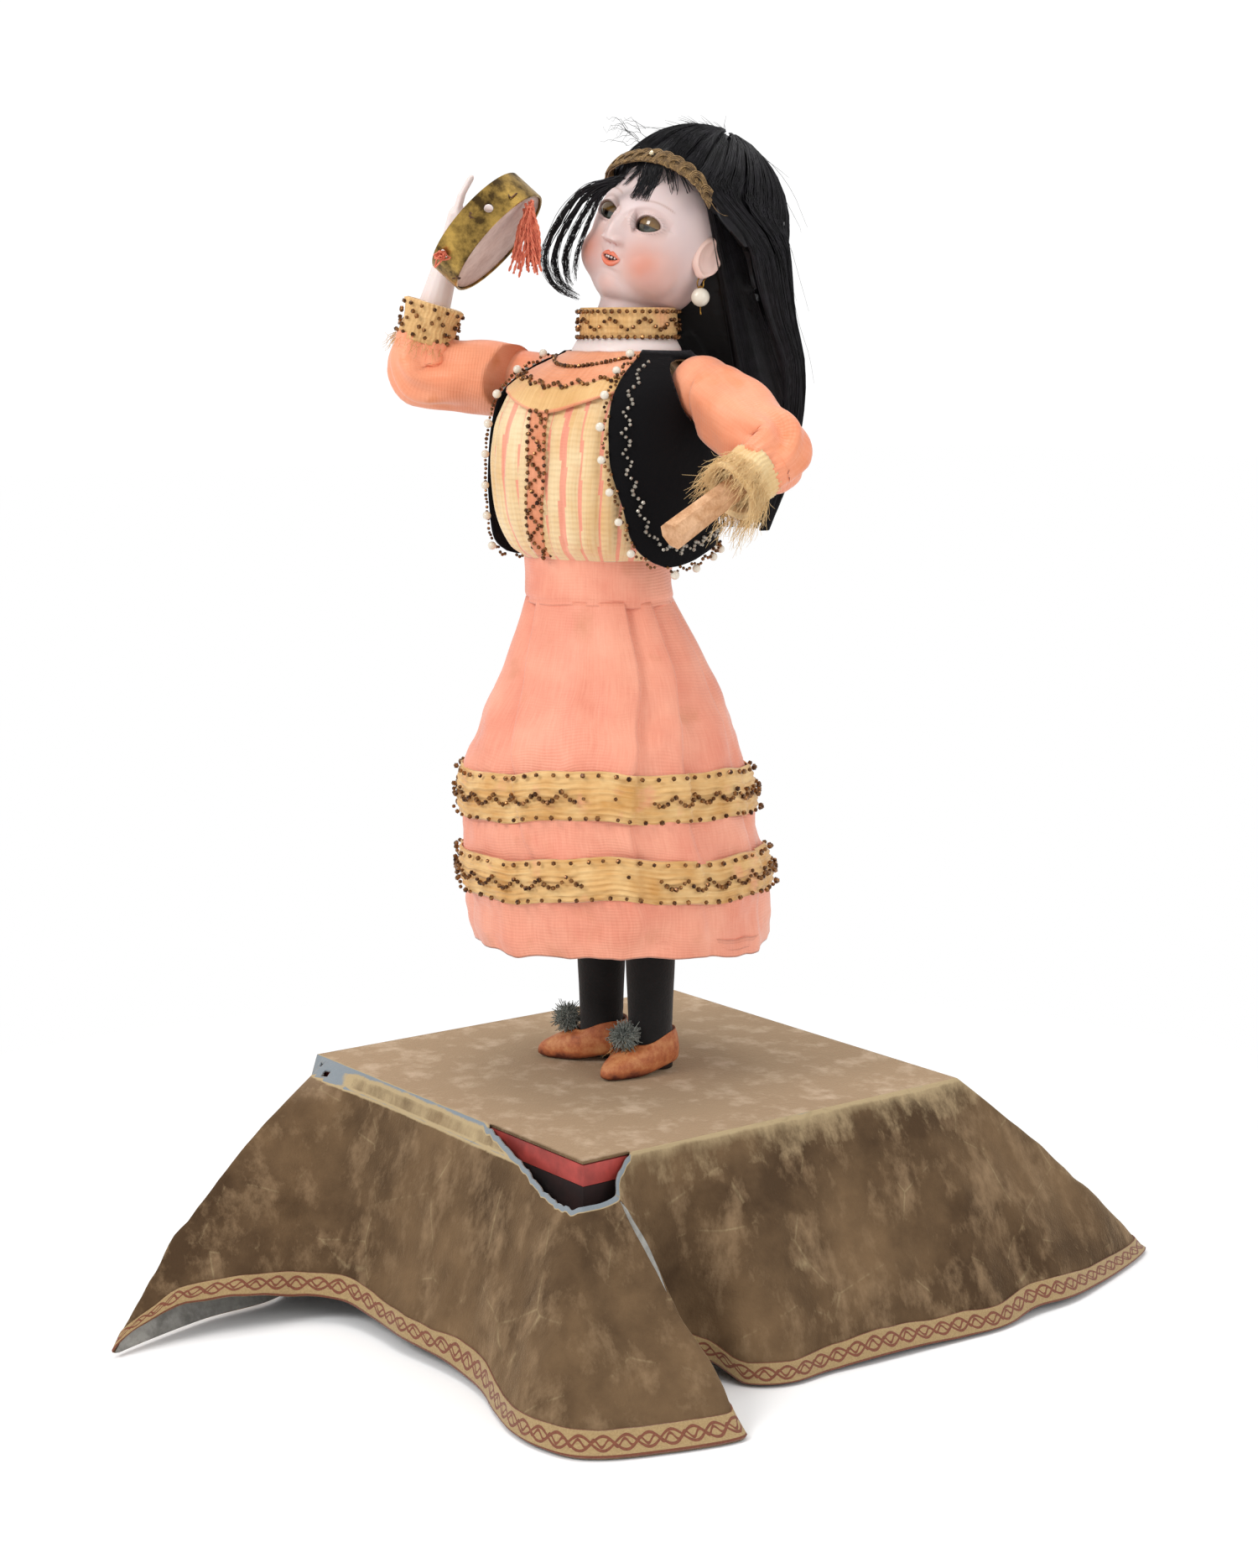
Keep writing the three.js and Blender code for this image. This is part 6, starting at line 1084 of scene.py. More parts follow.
# Cream glass with a soft deep gloss.
pearl_glass, tree, shader = material("wax_filled_pearl", Base_Color=linear("e3d9c8"), Roughness=0.22,
                                     Coat_Weight=0.5, Coat_Roughness=0.1)
edge_path = [vest_point(share, 0.0, 0.9) for share in np.linspace(0.97, 0.02, 60)]
left_edge = [vest_point(share, 1.0, 0.9) for share in np.linspace(0.97, 0.02, 60)]
left_low = [vest_point(0.0, 1.0 - across, 0.9) for across in np.linspace(0, 1, 130)]
zigzag, loops, pearls = [], [], []
loop_drop, loop_width = 2.6, 8.0
inset_line = rounded([(7, 88), (7, 60), (7, 34), (7.5, 20), (11, 11), (20, 7.5), (40, 7), (80, 7),
                      (120, 7)], 40, False)
run = run_along(inset_line)
for place in np.arange(0, run[-1], 1.75):
    here = at_run(inset_line, run, place)
    ahead = at_run(inset_line, run, place + 1) - here
    aside = np.array([-ahead[1], ahead[0]]) / (np.linalg.norm(ahead) + 1e-6)
    x, y = here + aside * 1.9 * (2 * abs((place / 4.25) % 2 - 1) - 1)
    zigzag += [vest_point(y / vest_tall, across, 0.8) for across in (x / vest_round, 1 - x / vest_round)]


def edging(path, out_share):
    """Loops of beads that hang from an edge, and a pearl at the bottom of every second one."""
    path = np.array(path)
    steps = run_along(path)

    def hung(place, reach):
        """A point that hangs off the edge by so much."""
        p, q = at_run(path, steps, place), at_run(path, steps, min(place + 2, steps[-1]))
        way = (q - p) / (np.linalg.norm(q - p) + 1e-6)
        away = np.cross(way, np.array([p[0], p[1] + 6, 0]) / np.hypot(p[0], p[1] + 6))
        away /= np.linalg.norm(away) + 1e-9
        return p + away * reach * out_share

    for place in np.arange(0, steps[-1], 1.9):
        loops.append(hung(place, loop_drop * abs(math.sin(place * math.pi / loop_width))))
    for place in np.arange(4.0, steps[-1], 13.5):
        pearls.append(hung(place, 3.6))


edging(left_edge, 1.0)
edging(edge_path, -1.0)
edging(left_low, 1.0)
beaded("vest_steel_beads", placed(np.array(zigzag), doll_place), 0.95, 11, steel_bead, "black_velvet")
beaded("vest_edge_beads", placed(np.array(loops), doll_place), 0.85, 12, bronze_bead, "black_velvet")
beaded("vest_pearls", placed(np.array(pearls), doll_place), 1.9, 13, pearl_glass, "pearl", Detail=3,
       Uneven=0.06, Smooth=True)


# ARMS AND SLEEVES
# Turned beech cores swing in the shoulders; each carries a wide silk sleeve gathered into a ribbon cuff.

# Bare pinkish beech.
turned_beech = mottled("turned_beech", "dcae86", "b98558", 6, 0.7, 0.15)
dress(["right_arm_core", "left_arm_core"], turned_beech)
arms = {
    # pivot, way of the upper arm, way of the forearm
    "right": (arm_pivots["right"], (-0.757, -0.655, 0.1), (0.217, 0.186, 0.958)),
    "left": (arm_pivots["left"], (0.865, -0.204, -0.45), (-0.17, -0.86, -0.48)),
}
upper_arm, cuff_start, cuff_length = 60.0, 14.0, 17.0
# Radii of the sleeve at its stations, from inside the armhole to the cuff.
sleeve_radii = [10.6, 13.2, 14.0, 14.3, 16.2, 16.4, 15.2, 14.4, 14.0, 13.6, 12.7]
# A sleeve keeps this far from the middle of the body outside its armhole.
beside_body = {"right": 56.5, "left": 53.5}
# Salmon-orange silk, brighter than the skirt's, stained rusty.
salmon_silk = woven("salmon_silk", "f7a680", "ea8c64", 0.7, (0.8, 14.0), 0.45, stain=("d9762f", 0.6))
# Straw ribbon bleached nearly cream.
faded_straw = woven("faded_straw_ribbon", "f1d6a4", "d8ae70", 1.3, (1.1, 30.0), 0.6, stain=("e8b48c", 0.4),
                    relief=0.35)
# Loose bleached ribbon threads.
pale_straw_thread = material("pale_straw_thread", Base_Color=linear("ebcb95"), Roughness=0.7)[0]


def tube_frames(path):
    """Side and up directions along a path that turn with it and don't twist."""
    ways = np.gradient(path, axis=0)
    ways /= np.linalg.norm(ways, axis=1, keepdims=True)
    side = np.cross(ways[0], (0.1, 0.2, 1.0))
    side /= np.linalg.norm(side)
    sides, ups = [], []
    for way in ways:
        side = side - way * np.dot(side, way)
        side /= np.linalg.norm(side)
        sides.append(side)
        ups.append(np.cross(way, side))
    return np.array(sides), np.array(ups), ways


def ring_round(middle, side, up, radius, turns):
    """A ring of points round a path's point."""
    return middle + np.outer(radius * np.cos(turns), side) + np.outer(radius * np.sin(turns), up)


for side, (pivot, upper, fore) in arms.items():
    upper, fore = (np.array(w) / np.linalg.norm(w) for w in (upper, fore))
    elbow = pivot + upper * upper_arm
    stations = [pivot - upper * 9.0, pivot - upper * 4.0, pivot + upper * 0.5, pivot + upper * 5.0,
                pivot + upper * upper_arm * 0.25, pivot + upper * upper_arm * 0.5,
                pivot + upper * upper_arm * 0.75, pivot + upper * upper_arm * 0.94, elbow + fore * 4.0,
                elbow + fore * 9.0, elbow + fore * (cuff_start + 1)]
    line = rounded(np.concatenate([np.array(stations), np.array(sleeve_radii)[:, None]], 1), 10, False)
    path, radius = line[:, :3], line[:, 3]
    sides, ups, ways = tube_frames(path)
    turns = full_turn(96)
    rows = []
    for k in range(len(path)):
        t = k / (len(path) - 1)
        bend = np.exp(-((t - 0.72) / 0.13) ** 2)
        fold = (1.1 * np.sin(turns * 4 + 5 * t) * (0.3 + t) * smooth(t, 0.25, 0.5)
                + 1.3 * bend * np.sin(turns * 7 + 9 * t) + 0.7 * np.sin(t * 26 + turns * 2) * bend)
        gather = 0.5 * np.sin(turns * 22) * smooth(t, 0.86, 1.0)
        r = radius[k] + fold + gather
        rows.append(ring_round(path[k], sides[k], ups[k], r, turns))
    rows = np.array(rows)
    rows = rumpled(rows, 1.3 * smooth(np.linalg.norm(rows - pivot, axis=-1), 13, 24), 13.0,
                   8.0 if side == "left" else 9.0)
    from_body = np.sign(pivot[0]) * rows[..., 0]
    outside = smooth(np.linalg.norm(rows - pivot, axis=-1), 14.8, 16.6)
    rows[..., 0] += np.sign(pivot[0]) * outside * np.maximum(0, beside_body[side] - from_body)
    end = rows[-1] + (path[-1] - rows[-1]) * 0.2 + ways[-1] * 1.5
    rows = np.concatenate([rows, [end]])
    sleeve = thickened(grid(f"{side}_silk_sleeve", placed(rows, doll_place), True, [salmon_silk]), 0.8)
    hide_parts(f"{side}_sleeve")
    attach(sleeve, f"{side}_arm_body")

    start = elbow + fore * cuff_start
    path = np.array([start + fore * d for d in np.linspace(-0.5, cuff_length, 22)])
    sides, ups, ways = tube_frames(path)
    rows = []
    turns = full_turn(160)
    for k in range(len(path)):
        t = k / (len(path) - 1)
        r = (12.9 - 0.6 * math.sin(math.pi * t) + 0.8 * smooth(t, 0.8, 1)
             + 0.3 * np.sin(turns * 40 + math.sin(k)) + 0.5 * np.sin(turns * 5 + t * 4))
        rows.append(ring_round(path[k], sides[k], ups[k], r, turns))
    top_ring = rows[-1]
    rows.append(top_ring + (path[-1] - top_ring) * 0.12 + fore * 0.8)
    rows.append(top_ring + (path[-1] - top_ring) * 0.28 - fore * 3.5)
    cuff = thickened(grid(f"{side}_ribbon_cuff", placed(np.array(rows), doll_place), True,
                          [straw_gauze if side == "right" else faded_straw]), 0.5)
    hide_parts(f"{side}_cuff")
    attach(cuff, f"{side}_arm_body")
    places = []
    if side == "right":
        for t, wave, count in ((0.12, 0.0, 15), (0.5, 3.6, 34), (0.9, 0.0, 14)):
            for k in range(count):
                a = 2 * math.pi * k / count
                p = start + fore * (t * cuff_length + wave * math.sin(a * 7))
                places.append(p + 14.0 * (math.cos(a) * sides[0] + math.sin(a) * ups[0]))
        beaded("right_cuff_beads", placed(np.array(places), doll_place), 1.1, 15, bronze_bead,
               "straw_ribbon", body="right_arm_body")
    rng = np.random.default_rng(31 if side == "left" else 32)
    frayed = []
    for k in range(720 if side == "left" else 90):
        a = rng.uniform(0, 2 * math.pi)
        outward = math.cos(a) * sides[0] + math.sin(a) * ups[0]
        if side == "left":
            first = start + fore * rng.uniform(6, cuff_length) + outward * 13.2
            way = (fore * rng.uniform(2, 9) + outward * rng.uniform(0, 2.5)
                   + np.array([0, 0, -rng.uniform(0, 6)]) + rng.normal(size=3) * 1.4)
        else:
            first = start + fore * rng.uniform(-2, 1) + outward * 13.6
            way = -fore * rng.uniform(3, 6) + outward * rng.uniform(1, 3) + rng.normal(size=3) * 0.8
        frayed.append([first, first + way * 0.5 + rng.normal(size=3) * 0.9, first + way,
                       first + way * 1.25 + rng.normal(size=3) * 0.9])
    threads(f"{side}_cuff_fraying", placed(np.array(frayed), doll_place), 0.14,
            pale_straw_thread if side == "left" else straw_thread, body=f"{side}_arm_body",
            slot="straw_ribbon")


# RIGHT HAND
# Poured bisque forearm and hand, pale pink, with softly moulded fingers round the tambourine's rim.
def softened(name, node, size, times, finish):
    """A finer, rounder copy of a CAD node's shape."""
    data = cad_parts[node].data.copy()
    made = bpy.data.objects.new(name, data)
    bpy.context.scene.collection.objects.link(made)
    weld = made.modifiers.new("weld", "WELD")
    weld.merge_threshold = 0.00002
    fine = made.modifiers.new("fine", "REMESH")
    fine.mode = "VOXEL"
    fine.voxel_size = size * mm
    ease = made.modifiers.new("ease", "SMOOTH")
    ease.factor = 0.6
    ease.iterations = times
    mesh = bpy.data.meshes.new_from_object(made.evaluated_get(bpy.context.evaluated_depsgraph_get()))
    made.modifiers.clear()
    made.data = mesh
    mesh.materials.clear()
    mesh.materials.append(finish)
    mesh.polygons.foreach_set("use_smooth", [True] * len(mesh.polygons))
    return made


hand = softened("right_bisque_hand", "right_hand", 0.5, 9, bare_bisque)
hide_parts("right_hand")
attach(hand, "right_arm_body")


# TAMBOURINE
# A bent brass hoop with drilled holes, its gilding worn to dark tarnish, and a vellum skin.
# Coral silk cord is knotted through the rim and hangs as a tassel.

# Gilding left in bright patches between dark tarnish, which is rougher.
worn_brass, tree, shader = material("worn_gilt_brass", Roughness=0.36, Metallic=1.0)
where = add(tree, "ShaderNodeTexCoord").outputs["Object"]
worn = add(tree, "ShaderNodeTexNoise", {"Vector": where, "Scale": 1 / (9 * mm), "Detail": 6.0,
                                        "Roughness": 0.65})
ramp = add(tree, "ShaderNodeValToRGB", {"Fac": worn.outputs["Fac"]})
ramp.color_ramp.elements[0].position = 0.36
ramp.color_ramp.elements[0].color = linear("4a3a22")
ramp.color_ramp.elements[1].position = 0.64
ramp.color_ramp.elements[1].color = linear("c9a457")
tree.links.new(ramp.outputs["Color"], shader.inputs["Base Color"])
rough = add(tree, "ShaderNodeMapRange", {"Value": worn.outputs["Fac"], "From Min": 0.35, "From Max": 0.65,
                                         "To Min": 0.55, "To Max": 0.25})
tree.links.new(rough.outputs[0], shader.inputs["Roughness"])
# Greyish pink skin, matt.
old_vellum = mottled("old_vellum", "d8c6be", "bda69d", 14, 0.7, 0.05)
hoop_at = np.array([-45.2, -43.2, 479.4])
hoop_axis = Vector((0.679, 0.324, -0.66)).normalized()
hoop_turn = hoop_axis.to_track_quat("Z", "Y").to_matrix()
hoop_along = np.array(hoop_axis)
hoop_radius, hoop_depth, hoop_thick = 27.3, 15.0, 0.9


def in_hoop(points):
    """Points of the hoop's own frame, its axis upwards, in the doll's frame."""
    return np.asarray(points) @ np.array(hoop_turn).T + hoop_at


def off_axis(way):
    """The part of a way that lies in the hoop's plane, of length one."""
    flat = way - hoop_along * np.dot(way, hoop_along)
    return flat / np.linalg.norm(flat)


turns = full_turn(128)
half_depth, rounding = hoop_depth / 2, 0.2
inner_radius, eased_radius = hoop_radius - hoop_thick, hoop_radius - rounding
section = [(inner_radius, -half_depth), (eased_radius, -half_depth), (hoop_radius, rounding - half_depth),
           (hoop_radius, half_depth - rounding), (eased_radius, half_depth), (inner_radius, half_depth),
           (inner_radius, -half_depth)]
rows = np.array([[(r * math.cos(a), r * math.sin(a), z) for a in turns] for r, z in section])
hoop = grid("tambourine_brass_hoop", placed(in_hoop(rows.reshape(-1, 3)).reshape(rows.shape), doll_place),
            True, [worn_brass])
weld = hoop.modifiers.new("weld", "WELD")
weld.merge_threshold = 0.00001
hole_radius = 2.2
jingle_hole, cord_hole = np.array([-26.9, -61.2, 488.7]), np.array([-47.3, -68.7, 469.3])
pierced(hoop, [jingle_hole, cord_hole], hole_radius)
sharp = hoop.modifiers.new("sharp", "EDGE_SPLIT")
sharp.split_angle = math.radians(40)
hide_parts("tambourine_hoop")
skin_rows = np.array([[(r * math.cos(a), r * math.sin(a), z) for a in turns] for r, z in
                      ((26.2, 5.2), (26.2, 6.3), (26.0, 6.6), (18.0, 6.75), (9.0, 6.8), (1.0, 6.8))])
skin = grid("tambourine_vellum", placed(in_hoop(skin_rows.reshape(-1, 3)).reshape(skin_rows.shape),
                                        doll_place), True, [old_vellum], cap_low=True, cap_high=True)
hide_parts("tambourine_skin")
for made, slot_name in ((hoop, "brass"), (skin, "vellum")):
    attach(made, "right_arm_body")

# Coral twisted silk.
coral_silk = mottled("coral_silk_cord", "ee8a6b", "c85f48", 3, 0.8, 0.15)
right_of = np.array([0.756, 0.655, 0.0])
up_in_hoop = off_axis(np.array([1, 0, 0.6]))
knot = hoop_at + up_in_hoop * (hoop_radius - 2.6) + hoop_along * (hoop_depth / 2 + 2.9)
rng = np.random.default_rng(41)
cords = []
for k in range(46):
    spread = rng.uniform(-1, 1)
    start = knot + rng.normal(size=3) * 1.0
    lowest = (start + np.array([0, 0, -rng.uniform(19, 29)]) + right_of * (spread * 6.5 - 2)
              + rng.normal(size=3) * 0.8)
    middle = start * 0.45 + lowest * 0.55 + right_of * rng.normal() * 1.0 + (0, 0, 2.5)
    base = rounded([start, middle, lowest], 12, False)
    turn_rate = rng.uniform(0.9, 1.3)
    for phase in (0.0, math.pi):
        twist = [phase + j * turn_rate for j in range(len(base))]
        cords.append([p + 0.32 * np.array([math.cos(t), math.sin(t), 0]) for p, t in zip(base, twist)])
tassel = threads("tambourine_cord_tassel", placed(np.array(cords), doll_place), 0.36, coral_silk,
                 body="right_arm_body", slot="coral_cord", sides=5, thin_tip=0.9)
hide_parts("tambourine_tassel")
outwards = off_axis(cord_hole - hoop_at)
tied = [rounded([cord_hole + outwards * rng.uniform(-0.5, 2.2) + rng.normal(size=3) * 1.5
                 for _ in range(6)], 5, False) for _ in range(6)]
tied += [rounded([cord_hole + outwards, cord_hole + outwards * 2 + rng.normal(size=3),
                  cord_hole + outwards * 2 + (-2.5, -1, -5)], 6, False) for _ in range(3)]
threads("hoop_cord_knot", [placed(line, doll_place) for line in tied], 0.45, coral_silk,
        body="right_arm_body", slot="coral_cord", sides=5, thin_tip=0.9)
pins = []
for at in (np.array([-23.1, -49.6, 494.4]), np.array([-32.7, -67.2, 483.6]), np.array([-44.7, -63.2, 459.5])):
    pins.append(rounded([at + rng.normal(size=3) * 1.3 for _ in range(5)], 5, True))
# Thin brown rusted iron.
rusty_wire = mottled("rusty_iron_wire", "7a5236", "3d281d", 2, 0.8, 0.1)
threads("hoop_wire_ties", [placed(line, doll_place) for line in pins], 0.32, rusty_wire,
        body="right_arm_body", slot="brass", sides=5, thin_tip=1.0)


# HEAD
# Socket head of poured bisque, tinted flesh pink and fired matt, with rosy cheeks, orange lips, thin brown
# brows and lashes painted on. The eye openings and parted lips are cut before firing; small teeth sit behind.
def turned_head(turn, lean, nod):
    """The turn of a head, in degrees: to its left, to its shoulder and downwards."""
    return (Matrix.Rotation(math.radians(turn), 4, "Z") @ Matrix.Rotation(math.radians(lean), 4, "Y")
            @ Matrix.Rotation(math.radians(nod), 4, "X"))


head_turn = turned_head(-3, 10, -20)
neck_top, skull_height = 443, 34
head_place = doll_place @ Matrix.Translation((0, 0, neck_top)) @ head_turn
head_middle = np.array([0.0, 0.0, skull_height])
face_turn = turned_head(2, 17.5, -12)
face_place = (head_place @ Matrix.Translation((0, 0, skull_height)) @ head_turn.inverted() @ face_turn
              @ Matrix.Translation((0, 0, -skull_height)))
eye_side, eye_front, eye_height, eye_radius = 11.4, -19.4, 40.0, 7.5
head_forms = [
    # middle, then half width, depth and height
    ((0, 0, 36), (28.5, 30, 36)), ((0, 3, 41.4), (28.5, 30, 28.8)), ((0, -10, 13.5), (16.5, 13.2, 10.5)),
    ((11.5, -12.6, 22.5), (13.4, 13.2, 12.5)), ((-11.5, -12.6, 22.5), (13.4, 13.2, 12.5)),
    ((0, -17.4, 12.0), (7.4, 6.6, 5.8)), ((0, -17.5, 20), (9.0, 9.2, 8.0)),
]


def packed(count, low, high, middle, width, gain):
    """Values from low to high that lie closer together near the middle."""
    fine = np.linspace(low, high, 2400)
    weight = 1 + gain * np.exp(-((fine - middle) / width) ** 2)
    steps = np.concatenate([[0], np.cumsum(weight)[:-1]])
    return np.interp(np.linspace(0, steps[-1], count), steps, fine)


def reach(ways, middle, half):
    """How far each way runs from the head's middle to the far side of an oval form; 0 where it misses it."""
    start = (head_middle - np.array(middle)) / half
    scaled = ways / np.array(half)
    a, b, c = (scaled ** 2).sum(-1), (scaled * start).sum(-1), (start ** 2).sum() - 1
    root = b * b - a * c
    return np.where(root > 0, (-b + np.sqrt(np.maximum(root, 0))) / a, 0)


def bump_at(x, z, at_x, at_z, wide, tall):
    """A soft round share of one at a place on the face, falling off over its width and height."""
    return np.exp(-((x - at_x) / wide) ** 2 - ((z - at_z) / tall) ** 2)


around = np.radians(packed(355, -180, 180, 0, 42, 2.6)[:-1])
upward = np.radians(packed(262, -90, 90, -14, 30, 2.0))[1:-1]
turn_grid, rise_grid = np.meshgrid(around, upward)
ways = np.stack([np.sin(turn_grid) * np.cos(rise_grid), -np.cos(turn_grid) * np.cos(rise_grid),
                 np.sin(rise_grid)], -1)
far = sum(reach(ways, *form) ** 30 for form in head_forms)
upright = ways @ np.array((head_turn.inverted() @ face_turn).to_3x3()).T
neck_far = np.minimum(14.0 / np.hypot(upright[..., 0], upright[..., 1]),
                      40.0 / np.maximum(-upright[..., 2], 1e-6))
far = (far + np.where(upright[..., 2] < -0.5, neck_far, 0) ** 30) ** (1 / 30)
skin_at = head_middle + ways * far[..., None]
x, y, z = skin_at[..., 0], skin_at[..., 1], skin_at[..., 2]
face_side = smooth(-y, 4, 14)
open_share = np.full(x.shape, 9.0)
for side in (-1, 1):
    out = (x - side * eye_side) * side
    rise = z - eye_height - 0.06 * out
    here = (((np.abs(out) / 5.9) ** 1.75
             + (np.abs(rise) / np.where(rise > 0, 4.0, 3.5)) ** 1.75) ** (1 / 1.75)
            + np.where(face_side > 0.2, 0, 9))
    lid = reach(ways, (side * eye_side, eye_front, eye_height), (eye_radius + 0.75,) * 3)
    near = np.exp(-(here / 1.42) ** 6) * (lid > 0)
    far = far * (1 - near) + lid * near
    far = (far - 0.5 * bump_at(here, rise * 0, 1.62, 0, 0.17, 1) * (rise > 0)
           + 0.35 * bump_at(here, rise * 0, 1.12, 0, 0.12, 1))
    open_share = np.minimum(open_share, here)
nose_share = smooth(z, 45, 31.5) ** 1.25 * smooth(z, 26.6, 29.6)
far = far + face_side * 5.4 * nose_share * np.exp(-(x / (2.3 + 1.4 * smooth(z, 43, 31))) ** 2)
for side in (-1, 1):
    far = far + 2.3 * bump_at(x, z, side * 3.5, 29.3, 1.6, 1.5) * face_side
    far = far - 1.4 * bump_at(x, z, side * 1.7, 27.5, 0.85, 0.6) * face_side
    far = far - 0.5 * bump_at(x, z, side * 6.0, 22.6, 1.2, 1.6) * face_side
far = far - 0.45 * bump_at(x, z, 0, 25.8, 0.9, 1.2) * face_side
mouth_half, mouth_mid = 5.5, 21.2
mouth_x = x / mouth_half
corner = np.maximum(1 - np.abs(mouth_x) ** 1.8, 0)
lip_top = mouth_mid + 0.5 + corner * (2.7 - 0.7 * np.exp(-(x / 0.8) ** 2))
lip_low = mouth_mid + 0.3 - np.maximum(1 - mouth_x ** 2, 0) ** 0.8 * 4.0
gap_top = mouth_mid + 0.4 + np.maximum(1 - (x / 4.1) ** 2, 0) * 0.55
gap_low = mouth_mid + 0.35 - np.maximum(1 - (x / 4.1) ** 2, 0) ** 0.8 * 1.5
upper = np.clip((z - gap_top) / np.maximum(lip_top - gap_top, 0.01), 0, 1)
lower = np.clip((gap_low - z) / np.maximum(gap_low - lip_low, 0.01), 0, 1)
in_face = (face_side > 0.5) & (np.abs(x) < mouth_half)
in_lip = in_face & (z < lip_top) & (z > lip_low)
in_gap = in_face & (z < gap_top) & (z > gap_low)
full = np.sqrt(np.clip(1 - mouth_x ** 2, 0, 1))
far = far + in_lip * full * np.where(z > mouth_mid + 0.3, 0.9 * np.sin(math.pi * upper) ** 0.7,
                                     1.15 * np.sin(math.pi * lower) ** 0.7)
far = far - 0.9 * bump_at(x, z, 0, 15.8, 4.4, 1.2) * face_side
depth_in = (smooth(1 - open_share, 0.0, 0.09) * 5.5
            + in_gap * smooth(np.minimum(gap_top - z, z - gap_low), 0, 0.5) * 3.6)
far = far - depth_in
skin_at = head_middle + ways * far[..., None]

blush = 0.9 * (np.exp(-(((np.abs(x) - 16.0) / 8.4) ** 2) - ((z - 22.5) / 8.8) ** 2)) * face_side
blush = np.maximum(blush, 0.25 * bump_at(x, z, 0, 10, 6, 4) * face_side)
warm = 0.5 * smooth(z, 32, 8) * smooth(np.abs(x), 8, 20)
tint = np.array(linear("dcc6c2")) * np.ones(x.shape + (1,))
for colour, much in (("dca28e", np.maximum(warm, 0.85 * np.sqrt(blush))), ("d17a5c", blush ** 1.5 * 0.75)):
    tint = tint * (1 - much[..., None]) + np.array(linear(colour)) * much[..., None]


def painted(colour, much):
    """Lays a colour over the tint, by a share at each point."""
    global tint
    much = np.clip(much, 0, 1)[..., None]
    tint = tint * (1 - much) + np.array(linear(colour)) * much


painted("e0693c", in_lip * (0.35 + 0.6 * full))
# The opening between the parted lips is painted near-black, as painted shade inside the hollow head.
painted("2a1512", in_gap * 1.0)
painted("c2705f", 0.8 * sum(bump_at(x, z, side * 1.7, 27.5, 0.75, 0.55) for side in (-1, 1)) * face_side)
for side in (-1, 1):
    out = (x - side * eye_side) * side
    brow_line = 50.2 - 0.032 * (out - 1.0) ** 2
    stroke = (np.exp(-((z - brow_line) / 0.42) ** 2) * smooth(out, -6.6, -5.0) * smooth(out, 8.6, 6.4)
              * (0.6 + 0.4 * np.sin(x * 9 + z * 4)))
    painted("9c6b48", 0.75 * stroke * face_side)
    painted("c9a193", 0.3 * np.exp(-((open_share - 1.5) / 0.4) ** 2) * (out > -9) * (out < 9))
# Each eye opening gets a dark brown rim; inside it, in the gap round the eyeball, the skin is painted
# near-black as painted shade.
painted("6b4630", 0.85 * (open_share < 1.1) * smooth(open_share, 1.1, 0.99))
painted("2a1a12", (open_share < 0.97) * 1.0)
lash = (np.exp(-((open_share - 1.24) / 0.14) ** 2)
        * (np.sin(np.arctan2(z - eye_height, np.abs(x) - eye_side) * 34) > 0.55))
painted("4c3122", 0.22 * lash * face_side)

# Matt fired bisque that carries the painted face, with faint grime and a fine grain.
painted_bisque, tree, shader = material("painted_bisque", Roughness=0.44, Subsurface_Weight=0.1,
                                        Subsurface_Radius=(0.004, 0.0015, 0.001), Subsurface_Scale=0.4)
paint = add(tree, "ShaderNodeAttribute", attribute_name="tint")
cloud = add(tree, "ShaderNodeTexNoise", {"Vector": add(tree, "ShaderNodeTexCoord").outputs["Object"],
                                         "Scale": 1 / (12 * mm), "Detail": 5.0})
grime = add(tree, "ShaderNodeMapRange", {"Value": cloud.outputs["Fac"], "From Min": 0.35, "From Max": 0.75,
                                         "To Min": 0.0, "To Max": 0.16})
aged = add(tree, "ShaderNodeMix", {"Factor": grime.outputs[0], 6: paint.outputs["Color"],
                                   7: linear("b9a6b4")}, data_type="RGBA")
tree.links.new(aged.outputs[2], shader.inputs["Base Color"])
grain = add(tree, "ShaderNodeTexNoise", {"Vector": add(tree, "ShaderNodeTexCoord").outputs["Object"],
                                         "Scale": 1 / (0.9 * mm), "Detail": 3.0})
bump = add(tree, "ShaderNodeBump", {"Height": grain.outputs["Fac"], "Strength": 0.25, "Distance": 0.05 * mm})
tree.links.new(bump.outputs[0], shader.inputs["Normal"])


def tinted(piece, colours):
    """Keeps a colour for each point of a piece, for a painted finish to read."""
    layer = piece.data.attributes.new("tint", "FLOAT_COLOR", "POINT")
    layer.data.foreach_set("color", np.asarray(colours, np.float32).ravel())
    return piece


head = tinted(grid("bisque_head", placed(skin_at, face_place), True, [painted_bisque], cap_low=True,
                   cap_high=True), tint)
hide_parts("head")
ears = []
for side in (-1, 1):
    turn_grid, rise_grid = np.meshgrid(full_turn(64), np.radians(np.linspace(-89, 89, 48)))
    a, b = np.cos(turn_grid) * np.cos(rise_grid), np.sin(rise_grid)
    outer = np.sin(turn_grid) * np.cos(rise_grid)
    ring = np.hypot(a, b)
    lobe = smooth(-b, 0.45, 0.9)
    dish = (1.5 * np.exp(-((ring - 0.86) / 0.16) ** 2)
            - 1.6 * np.exp(-((a + 0.1) / 0.42) ** 2 - ((b - 0.1) / 0.5) ** 2) * (1 - lobe))
    dish = dish + 0.9 * np.exp(-((a - 0.05) / 0.14) ** 2 - ((b - 0.35) / 0.3) ** 2)
    e_y = a * (6.4 - 1.6 * lobe)
    e_x = outer * 2.0 + dish * (outer > 0) + 0.32 * (e_y + 4)
    ears.append(np.stack([side * (28.3 + e_x), 2.2 + e_y, 33.0 + b * 9.4], -1)[:, ::side])
for side, rows in zip(("right", "left"), ears):
    colours = np.array(linear("ecc8ba")) * np.ones(rows.shape[:2] + (1,))
    ear = tinted(grid(f"{side}_bisque_ear", placed(rows, head_place), True, [painted_bisque], cap_low=True,
                      cap_high=True), colours)
    ears.append(ear)
